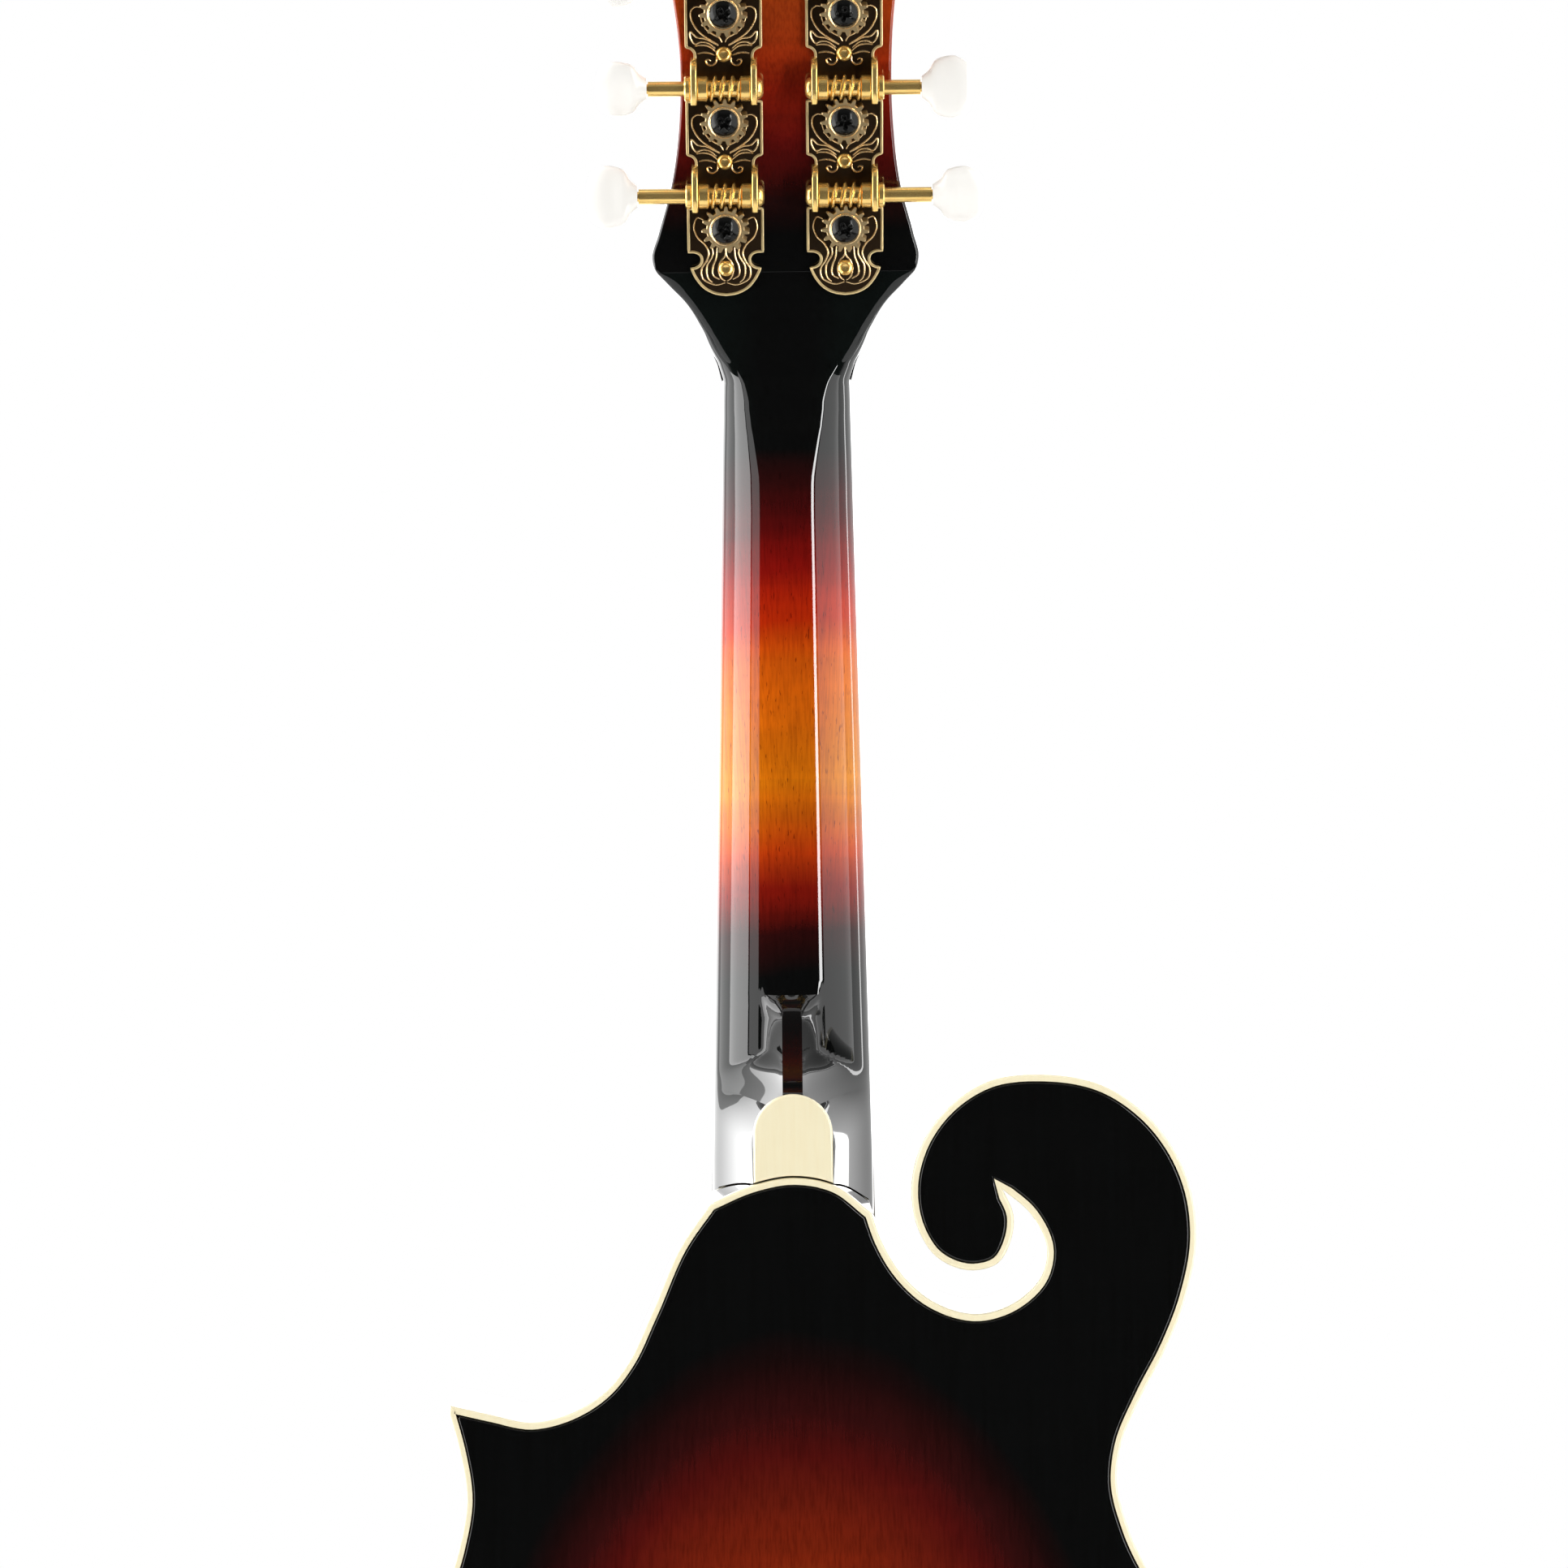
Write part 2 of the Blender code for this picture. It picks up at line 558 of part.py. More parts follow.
def make_body(body):
    """Plates, bindings, ribs, blocks and tone bars."""
    outline = body_outline()
    lacquer = finish("black_lacquer", BLACK_LACQUER, 0.12)
    burst = finish("sunburst_back", SUNBURST_AMBER, 0.12)
    spruce = finish("spruce", SPRUCE, 0.55)
    maple = finish("maple", MAPLE, 0.50)
    ivory = finish("ivory_binding", IVORY, 0.30)

    bound = offset_loop(outline, BINDING_WIDTH + GAP)
    grid = plate_grid(bound)
    holes = [f_hole(side) for side in (-1, 1)]

    def top_surface(points):
        return TOP_EDGE - arch(points, outline)

    def back_surface(points):
        return BACK_EDGE + arch(points, outline)

    top = slab([bound, *holes], top_surface, lambda points: top_surface(points) + PLATE_THICKNESS, grid)
    back = slab([bound], lambda points: back_surface(points) - PLATE_THICKNESS, back_surface, grid)
    add("top_plate", top, burst, body, smooth=40)
    add("back_plate", back, burst, body, smooth=40)
    ring = [outline, offset_loop(outline, BINDING_WIDTH)]
    add("top_binding", slab(ring, flat(TOP_EDGE), flat(TOP_EDGE + PLATE_THICKNESS)), ivory, body)
    add("back_binding", slab(ring, flat(BACK_EDGE - PLATE_THICKNESS), flat(BACK_EDGE)), ivory, body)

    front = flat(TOP_EDGE + PLATE_THICKNESS + GAP)
    rear = flat(BACK_EDGE - PLATE_THICKNESS - GAP)
    cutaway_start = CUTAWAY_RUN[2]
    waist_start = CUTAWAY_RUN[6]
    treble_start = LOWER_RUN[2]
    tail = LOWER_RUN[8]
    scroll_start = LOWER_RUN[23]
    add("rib_cutaway", slab([rib(outline, cutaway_start, waist_start)], front, rear), lacquer, body)
    add("rib_waist", slab([rib(outline, waist_start, treble_start)], front, rear), lacquer, body)
    for name, start, end in (("treble", treble_start, tail), ("bass", tail, scroll_start)):
        wall = combined(slab([rib(outline, start, end)], front, rear), pin_drill(), "DIFFERENCE")
        add("rib_" + name, wall, lacquer, body)

    run, normals = stretch_of(outline, scroll_start, cutaway_start)
    ends = run[[-1, 0]] + normals[[-1, 0]] * (RIB_THICKNESS + GAP)
    inner_edge = SLOT_RUN[5][1] - HEAD_BLOCK_WEB
    corners = [(ends[0][0] - HEAD_BLOCK_WEB, inner_edge), (ends[1][0] + HEAD_BLOCK_WEB, inner_edge)]
    head_block = np.vstack([run, ends[:1], corners, ends[1:]])
    add("head_block", slab([head_block], front, rear), lacquer, body)

    lining = offset_loop(outline, RIB_THICKNESS + GAP)
    seat = lining[(np.abs(lining[:, 0]) < TAIL_BLOCK_HALF_WIDTH) & (lining[:, 1] < ARCH_CENTRE)]
    top_of_block = TAIL_Z + RIB_THICKNESS + TAIL_BLOCK_DEPTH
    tail_block = np.vstack([seat, [(seat[-1][0], top_of_block), (seat[0][0], top_of_block)]])
    drilled = combined(slab([tail_block], front, rear), pin_drill(), "DIFFERENCE")
    add("tail_block", drilled, maple, body)

    for name, side in (("bass", -1), ("treble", 1)):
        stations = np.linspace(0, 1, 9)
        centre = np.column_stack([side * (TONE_BAR_TOP_X + stations * TONE_BAR_SPREAD),
                                  TONE_BAR_TOP_Z - stations * TONE_BAR_LENGTH])
        bar = np.vstack([centre + (TONE_BAR_WIDTH / 2, 0), (centre - (TONE_BAR_WIDTH / 2, 0))[::-1]])

        def bar_top(points):
            return top_surface(points) + PLATE_THICKNESS + TONE_BAR_SEAT

        def bar_bottom(points):
            share = (TONE_BAR_TOP_Z - points[:, 1]) / TONE_BAR_LENGTH
            return bar_top(points) + TONE_BAR_HEIGHT * (0.35 + 0.65 * np.sin(math.pi * share))

        add("tone_bar_" + name, slab([bar], bar_top, bar_bottom), spruce, body)
    return outline


def head_outline():
    """Outline of the headstock, from the nut up the treble side and back down the bass side."""
    return closed_loop([HEAD_TREBLE_SIDE, HEAD_DIP, HEAD_CURL], OUTLINE_STEP)


def circle(centre, radius, segments):
    """Closed loop round a point."""
    angles = 2 * np.pi * np.arange(segments) / segments
    return np.column_stack([centre[0] + radius * np.cos(angles), centre[1] + radius * np.sin(angles)])


def gear_places():
    """Side and place of every gear, bass side first, lowest unit first."""
    for side_name, side in (("bass", -1), ("treble", 1)):
        for unit in range(UNIT_COUNT):
            yield side_name, side, unit, FIRST_GEAR_Z + unit * UNIT_PITCH


def post_holes():
    """Loops of the holes that the string posts turn in."""
    return [circle((side * POST_ROW_X, z), POST_RADIUS + RUNNING_GAP, 10) for _, side, _, z in gear_places()]


def neck_half_width(z):
    """Half width of the neck at a distance below the nut."""
    return NUT_HALF_WIDTH + (JOINT_HALF_WIDTH - NUT_HALF_WIDTH) * z / JOINT_DISTANCE


def neck_loft():
    """Neck and heel: half-elliptic sections that deepen and narrow into the heel."""
    upper = np.linspace(-(NUT_LENGTH + GAP), HEEL_START, 7)
    slope = np.linspace(HEEL_START, HEEL_END, 9)[1:]
    below = np.array([HEEL_END + HEEL_LEVEL, JOINT_DISTANCE, JOINT_DISTANCE + NECK_EXTENSION])
    stations = np.concatenate([upper, slope, below])
    heel_depth = BACK_EDGE + HEEL_CAP_THICKNESS * 3
    count = 16
    vertices = []
    for z in stations:
        half = neck_half_width(max(z, 0))
        depth = NECK_DEPTH_AT_NUT + (NECK_DEPTH_AT_HEEL - NECK_DEPTH_AT_NUT) * np.clip(z / HEEL_START, 0, 1)
        rise = np.clip((z - HEEL_START) / (HEEL_END - HEEL_START), 0, 1)
        rise = rise * rise * (3 - 2 * rise)
        turn = np.pi * np.arange(count + 1) / count
        across = np.abs(np.cos(turn))
        down = np.minimum(1, (1 - across) / HEEL_CORNER_SHARE)
        heel_x = np.where(down < 1, half + (HEEL_CAP_HALF_WIDTH - half) * (1 - (1 - down) ** 2),
                          HEEL_CAP_HALF_WIDTH * across / (1 - HEEL_CORNER_SHARE)) * np.sign(np.cos(turn))
        x = (1 - rise) * half * np.cos(turn) + rise * heel_x
        y = (1 - rise) * depth * np.sin(turn) + rise * heel_depth * down
        vertices += [(px, py, -z) for px, py in zip(x, y)]
    row = count + 1
    faces = []
    for station in range(len(stations) - 1):
        base = station * row
        faces += [(base + j, base + j + 1, base + row + j + 1, base + row + j) for j in range(count)]
        faces.append((base + count, base, base + row, base + row + count))
    faces.append(tuple(range(row)))
    faces.append(tuple(range(len(vertices) - row, len(vertices))))
    return closed_mesh(vertices, faces)


def make_neck(body, neck, head, outline):
    """Neck with heel and headstock, heel cap, truss rod, overlay, rod cover, fingerboard and nut."""
    lacquer = finish("neck_lacquer", SUNBURST_AMBER, 0.12)
    ebony = finish("ebony", EBONY, 0.35)
    ivory = finish("ivory_cap", IVORY, 0.30)
    steel = finish("rod_steel", STEEL, 0.35, 1.0)

    bpy.context.view_layer.update()
    body_to_neck = neck.matrix_world.inverted() @ body.matrix_world
    head_to_neck = neck.matrix_world.inverted() @ head.matrix_world
    half_slot = TRUSS_ROD_WIDTH / 2 + GAP

    def channel():
        return block((-half_slot, -FINGERBOARD_THICKNESS, -TRUSS_ROD_LENGTH - GAP),
                     (half_slot, TRUSS_ROD_DEPTH + 2 * GAP, ROD_POCKET_TOP))

    head_slab = slab([head_outline(), *post_holes()], flat(0), flat(HEAD_THICKNESS))
    head_slab = combined(moved(head_slab, head_to_neck), channel(), "DIFFERENCE")
    mesh = combined(neck_loft(), channel(), "DIFFERENCE")
    mesh = combined(mesh, head_slab, "UNION")
    clear_of_body = slab([offset_loop(outline, -GAP)], flat(TOP_EDGE - EXTENSION_GAP), flat(BACK_EDGE * 2))
    mesh = combined(mesh, moved(clear_of_body, body_to_neck), "DIFFERENCE")
    cap_plane = BACK_EDGE - HEEL_CAP_THICKNESS - GAP
    behind_cap = block((-CUT_PAST, cap_plane, -CUT_PAST), (CUT_PAST, cap_plane + CUT_PAST, HEEL_START))
    mesh = combined(mesh, moved(behind_cap, body_to_neck), "DIFFERENCE")
    add("neck", mesh, lacquer, neck, smooth=35)

    rod = block((-TRUSS_ROD_WIDTH / 2, GAP, -TRUSS_ROD_LENGTH), (TRUSS_ROD_WIDTH / 2, TRUSS_ROD_DEPTH, NUT_LENGTH))
    nut_end = turned([(0, NUT_LENGTH - 0.001), (ROD_NUT_RADIUS, NUT_LENGTH - 0.001),
                      (ROD_NUT_RADIUS, ROD_POCKET_TOP - 0.003), (0, ROD_POCKET_TOP - 0.003)], 6)
    moved(nut_end, Matrix.Translation((0, ROD_NUT_DEPTH, 0)))
    add("truss_rod", combined(rod, nut_end, "UNION"), steel, neck)

    arc = np.linspace(0, np.pi, 13)
    straight = HEEL_CAP_LENGTH - HEEL_CAP_HALF_WIDTH
    cap = np.column_stack([HEEL_CAP_HALF_WIDTH * np.cos(arc), straight + HEEL_CAP_HALF_WIDTH * np.sin(arc)])
    foot = [(-HEEL_CAP_HALF_WIDTH, GAP), (0, GAP * 1.5), (HEEL_CAP_HALF_WIDTH, GAP)]
    cap_mesh = slab([np.vstack([cap, foot])], flat(BACK_EDGE - HEEL_CAP_THICKNESS), flat(BACK_EDGE))
    add("heel_cap", cap_mesh, ivory, body)

    face = head_outline()
    start = OVERLAY_START
    above = face[face[:, 1] > start + GAP]
    half = np.interp(start, [z for _, z in HEAD_TREBLE_SIDE], [x for x, _ in HEAD_TREBLE_SIDE])
    overlay = np.vstack([[(half, start)], above, [(-half, start)]])
    foot = start + ROD_POCKET_MARGIN
    window = np.array([(-half_slot, foot), (half_slot, foot),
                       (half_slot, ROD_POCKET_TOP), (-half_slot, ROD_POCKET_TOP)])
    overlay_mesh = slab([overlay, window, *post_holes()], flat(-GAP - OVERLAY_THICKNESS), flat(-GAP))
    add("headstock_overlay", overlay_mesh, ebony, head)

    rise = np.linspace(0, 1, 9)
    edge = ROD_COVER_HALF_WIDTH - (ROD_COVER_HALF_WIDTH - ROD_COVER_TIP_HALF_WIDTH) * rise**1.6
    z = start + ROD_COVER_MARGIN + rise * ROD_COVER_LENGTH
    cover = np.vstack([np.column_stack([edge, z]), np.column_stack([-edge, z])[::-1]])
    cover_back = -2 * GAP - OVERLAY_THICKNESS
    add("truss_rod_cover", slab([cover], flat(cover_back - ROD_COVER_THICKNESS), flat(cover_back)), ebony, head)
    make_fingerboard(neck, ebony)
    make_nut(neck)


def fret_places():
    """Distances from the nut to the frets that the fingerboard carries."""
    return [SCALE_LENGTH * (1 - 2 ** (-number / 12)) for number in range(1, FRET_COUNT + 1)]


def make_fingerboard(neck, ebony):
    """Tapered board with its frets, from one side profile carried across the width."""
    surface = -GAP - FINGERBOARD_THICKNESS
    profile = [(GAP, -GAP), (GAP, surface)]
    foot = FRET_WIDTH / 2
    crown = FRET_CROWN_WIDTH / 2
    for place in fret_places():
        for shift, rise in ((-foot, 0), (-crown, FRET_HEIGHT), (crown, FRET_HEIGHT), (foot, 0)):
            profile.append((place + shift, surface - rise))
    profile += [(FINGERBOARD_LENGTH, surface), (FINGERBOARD_LENGTH, -GAP)]
    count = len(profile)
    vertices = [(side * neck_half_width(z), y, -z) for side in (-1, 1) for z, y in profile]
    faces = [tuple(range(count)), tuple(range(count, 2 * count))]
    faces += [(j, (j + 1) % count, (j + 1) % count + count, j + count) for j in range(count)]
    add("fingerboard", closed_mesh(vertices, faces), ebony, neck)


def make_nut(neck):
    """Nut on the end of the neck, above the fingerboard."""
    bone = finish("bone_nut", BONE, 0.40)
    half = NUT_HALF_WIDTH - GAP
    top = -GAP - FINGERBOARD_THICKNESS - NUT_RISE
    nut = block((-half, top, 2 * GAP), (half, -GAP, NUT_LENGTH))
    work = bmesh.new()
    work.from_mesh(nut)
    crown = [edge for edge in work.edges if all(vertex.co.y < top + GAP for vertex in edge.verts)]
    bmesh.ops.bevel(work, geom=crown, offset=NUT_EDGE, segments=2, affect="EDGES")
    work.to_mesh(nut)
    work.free()
    add("nut", nut, bone, neck)


def tuner_plate_loop():
    """Outline of a tuner plate round its own centreline: a land at each gear, a waist at each worm, two fans."""
    low = FIRST_GEAR_Z + TUNER_LAND_OFFSET - TUNER_LAND_LENGTH / 2
    right = []
    fan = np.linspace(-math.pi / 2, 0, 6)[:-1]
    right += [(FAN_HALF_WIDTH * math.cos(a), low + FAN_LENGTH * math.sin(a)) for a in fan]
    for unit in range(UNIT_COUNT):
        start = low + unit * UNIT_PITCH
        end = start + TUNER_LAND_LENGTH
        following = start + UNIT_PITCH
        right += [(TUNER_PLATE_HALF_WIDTH, start), (TUNER_PLATE_HALF_WIDTH, end),
                  (TUNER_WAIST_HALF_WIDTH, end + NOTCH), (TUNER_WAIST_HALF_WIDTH, following - NOTCH)]
    top = low + UNIT_COUNT * UNIT_PITCH
    fan = np.linspace(0, math.pi / 2, 6)
    right += [(TUNER_WAIST_HALF_WIDTH * math.cos(a), top + TOP_FAN_LENGTH * math.sin(a)) for a in fan]
    right = np.array(right)
    left = right[-2:0:-1] * (-1, 1)
    return np.vstack([right, left])


def joined(meshes):
    """One mesh that holds several separate bodies, for use in a union or a cut."""
    work = bmesh.new()
    for mesh in meshes:
        work.from_mesh(mesh)
    result = bpy.data.meshes.new("joined")
    work.to_mesh(result)
    work.free()
    return result


def rod(low, high, radius, segments, place, axis="X"):
    """Plain cylinder along one axis, from low to high, through a place."""
    turn = {"X": Matrix.Rotation(math.radians(90), 4, "Y"), "Y": Matrix.Rotation(math.radians(-90), 4, "X"),
            "Z": Matrix.Identity(4)}[axis]
    cylinder = turned([(0, low), (radius, low), (radius, high), (0, high)], segments)
    return moved(cylinder, Matrix.Translation(place) @ turn)


def tuner_plate():
    """Plate with its folded lugs, their bores, and the plate screws' heads."""
    gears = [FIRST_GEAR_Z + unit * UNIT_PITCH for unit in range(UNIT_COUNT)]
    holes = [circle((0, z), POST_RADIUS + RUNNING_GAP, 10) for z in gears]
    mesh = slab([tuner_plate_loop(), *holes], flat(GAP), flat(TUNER_PLATE_THICKNESS))
    lugs = []
    bores = []
    screws = []
    for z in gears:
        worm_z = z + CENTRE_DISTANCE
        for side in (-1, 1):
            middle = side * TUNER_WAIST_HALF_WIDTH
            lugs.append(block((middle - LUG_THICKNESS / 2, GAP * 2, worm_z - LUG_LENGTH / 2),
                              (middle + LUG_THICKNESS / 2, LUG_HEIGHT, worm_z + LUG_LENGTH / 2)))
        reach = TUNER_WAIST_HALF_WIDTH * 2
        bores.append(rod(-reach, reach, JOURNAL_RADIUS + GAP, 8, (0, WORM_HEIGHT, worm_z)))
        screws.append(z + UNIT_PITCH - PLATE_SCREW_OFFSET)
    screws.append(gears[0] - PLATE_SCREW_OFFSET)
    heads = []
    for z in screws:
        dome = turned([(0, 0), (PLATE_SCREW_RADIUS, 0), (PLATE_SCREW_RADIUS * 0.8, PLATE_SCREW_RISE * 0.7),
                       (0, PLATE_SCREW_RISE)], 8)
        place = Matrix.Translation((0, TUNER_PLATE_THICKNESS * 0.6, z))
        heads.append(moved(dome, place @ Matrix.Rotation(math.radians(-90), 4, "X")))
    mesh = combined(mesh, joined(lugs + heads), "UNION")
    return combined(mesh, joined(bores), "DIFFERENCE")


def gear_post():
    """Gear with slanted teeth, its domed screw, and the string post through the headstock."""
    middle = (GEAR_LOW + GEAR_HIGH) / 2
    vertices = []
    tooth = ((GEAR_ROOT_RADIUS, -TOOTH_ROOT_WIDTH), (GEAR_OUTER_RADIUS, -TOOTH_TIP_WIDTH),
             (GEAR_OUTER_RADIUS, TOOTH_TIP_WIDTH), (GEAR_ROOT_RADIUS, TOOTH_ROOT_WIDTH))
    for height in (GEAR_LOW, GEAR_HIGH):
        twist = GEAR_TWIST * (height - middle) / (GEAR_HIGH - GEAR_LOW)
        for index in range(GEAR_TEETH):
            centre = math.pi / 2 + 2 * math.pi * index / GEAR_TEETH + twist
            for radius, width in tooth:
                angle = centre + width / 2 / radius
                vertices.append((radius * math.cos(angle), height, radius * math.sin(angle)))
    count = len(vertices) // 2
    faces = [tuple(range(count)), tuple(range(count, 2 * count))]
    faces += [(j, (j + 1) % count, (j + 1) % count + count, j + count) for j in range(count)]
    gear = closed_mesh(vertices, faces)
    reach = HEAD_THICKNESS + OVERLAY_THICKNESS + GAP + POST_STAND
    top = GEAR_HIGH + GEAR_SCREW_HEIGHT
    profile = [(0, -reach), (POST_RADIUS - POST_CHAMFER, -reach), (POST_RADIUS, -reach + POST_CHAMFER),
               (POST_RADIUS, middle), (GEAR_SCREW_RADIUS, middle), (GEAR_SCREW_RADIUS, top - GEAR_SCREW_HEIGHT / 2),
               (GEAR_SCREW_RADIUS * 0.7, top - GEAR_SCREW_HEIGHT / 8), (0, top)]
    post = moved(turned(profile, 10), Matrix.Rotation(math.radians(-90), 4, "X"))
    return combined(gear, post, "UNION")


def worm_thread():
    """Left-hand thread as a trapezoid swept along its helix, its foot sunk in the core."""
    steps = round(WORM_TURNS * THREAD_STEPS)
    foot = WORM_ROOT_RADIUS - THREAD_SINK
    section = ((foot, -WORM_BASE_WIDTH / 2), (foot, WORM_BASE_WIDTH / 2),
               (WORM_OUTER_RADIUS, WORM_CREST_WIDTH / 2), (WORM_OUTER_RADIUS, -WORM_CREST_WIDTH / 2))
    vertices = []
    for step in range(steps + 1):
        turn = (step - steps / 2) / THREAD_STEPS
        angle = -2 * math.pi * turn - math.pi / 2
        for radius, shift in section:
            vertices.append((WORM_LEAD * (turn + 0.5) + shift, radius * math.cos(angle), radius * math.sin(angle)))
    faces = [(0, 1, 2, 3), tuple(range(4 * steps, 4 * steps + 4))]
    for step in range(steps):
        faces += [(4 * step + j, 4 * step + (j + 1) % 4, 4 * step + 4 + (j + 1) % 4, 4 * step + 4 + j)
                  for j in range(4)]
    return closed_mesh(vertices, faces)


def worm_shaft(side, button_start):
    """Shaft with its end cap, collars and thread, its outer end in the button."""
    lug_in = TUNER_WAIST_HALF_WIDTH - LUG_THICKNESS / 2 - GAP
    lug_out = TUNER_WAIST_HALF_WIDTH + LUG_THICKNESS / 2 + GAP
    thread = WORM_LEAD * (WORM_TURNS + 1) / 2 - COLLAR_LAP
    button = button_start - POST_ROW_X
    profile = [(0, -lug_out - END_CAP_LENGTH), (END_CAP_RADIUS, -lug_out - END_CAP_LENGTH),
               (END_CAP_RADIUS, -lug_out), (JOURNAL_RADIUS, -lug_out), (JOURNAL_RADIUS, -lug_in),
               (COLLAR_RADIUS, -lug_in), (COLLAR_RADIUS, -thread), (WORM_ROOT_RADIUS, -thread),
               (WORM_ROOT_RADIUS, thread), (COLLAR_RADIUS, thread), (COLLAR_RADIUS, lug_in),
               (JOURNAL_RADIUS, lug_in), (JOURNAL_RADIUS, lug_out), (COLLAR_RADIUS, lug_out),
               (COLLAR_RADIUS, lug_out + END_CAP_LENGTH), (SHAFT_RADIUS, lug_out + END_CAP_LENGTH),
               (SHAFT_RADIUS, button - GAP), (TANG_RADIUS, button - GAP),
               (TANG_RADIUS, button + TANG_LENGTH), (0, button + TANG_LENGTH)]
    core = moved(turned(profile, THREAD_STEPS), Matrix.Rotation(math.radians(90 * side), 4, "Y"))
    return combined(core, worm_thread(), "UNION")


def tuner_button(side, turn):
    """Oval button, narrow at the shaft, with a blind bore for the tang; its axis is X."""
    count = 12
    vertices = []
    for along, wide, thick in BUTTON_SECTIONS:
        for index in range(count):
            angle = 2 * math.pi * index / count
            across = BUTTON_WIDTH / 2 * wide * math.cos(angle)
            through = BUTTON_THICKNESS / 2 * thick * math.sin(angle)
            vertices.append((side * along * BUTTON_LENGTH, through, across))
    faces = [tuple(range(count)), tuple(range(len(vertices) - count, len(vertices)))]
    for station in range(len(BUTTON_SECTIONS) - 1):
        base = station * count
        faces += [(base + j, base + (j + 1) % count, base + count + (j + 1) % count, base + count + j)
                  for j in range(count)]
    body = closed_mesh(vertices, faces)
    low, high = sorted((-side * GAP, side * (TANG_LENGTH + GAP)))
    mesh = combined(body, rod(low, high, TANG_RADIUS + GAP, 10, (0, 0, 0)), "DIFFERENCE")
    return moved(mesh, Matrix.Rotation(turn, 4, "X"))


def make_tuners(head):
    """Both plates, and the button, worm shaft and gear post of each unit."""
    gold = finish("gold_plate", GOLD, 0.22, 1.0)
    antique = finish("antique_plate", ANTIQUE_BRASS, 0.45, 1.0)
    pearl = finish("pearloid", PEARLOID, 0.25)
    for name, side in (("bass", -1), ("treble", 1)):
        add("tuner_plate_" + name, tuner_plate(), antique, head, (side * POST_ROW_X, HEAD_THICKNESS, 0), smooth=30)
    half_tooth = math.pi / GEAR_TEETH
    for name, side, unit, z in gear_places():
        number = f"{name}_{unit + 1}"
        add("gear_post_" + number, gear_post(), antique, head, (side * POST_ROW_X, HEAD_THICKNESS, z),
            (0, 0, 0), smooth=30)
        axis_y = HEAD_THICKNESS + WORM_HEIGHT
        worm_z = z + CENTRE_DISTANCE
        start = BUTTON_STARTS[unit]
        add("worm_shaft_" + number, worm_shaft(side, start), gold, head, (side * POST_ROW_X, axis_y, worm_z),
            smooth=30)
        turn = BUTTON_TURNS[unit] * side
        add("button_" + number, tuner_button(side, turn), pearl, head, (side * start, axis_y, worm_z), smooth=50)


def across_slab(profile, half_width):
    """Solid of a (y, z) side profile, carried across the centreline."""
    return moved(slab([profile], flat(-half_width), flat(half_width)), Matrix.Rotation(math.radians(90), 4, "Z"))


def along_slab(profile, half_depth):
    """Solid of an (x, y) end profile, carried along Z both ways from the origin."""
    return moved(slab([profile], flat(-half_depth), flat(half_depth)), Matrix.Rotation(math.radians(-90), 4, "X"))


def string_plane_y():
    """Depth of the strings over the bridge, in the body frame."""
    beyond = SCALE_LENGTH - JOINT_DISTANCE
    return -beyond * math.sin(NECK_TILT) - STRING_HEIGHT_AT_BRIDGE * math.cos(NECK_TILT)


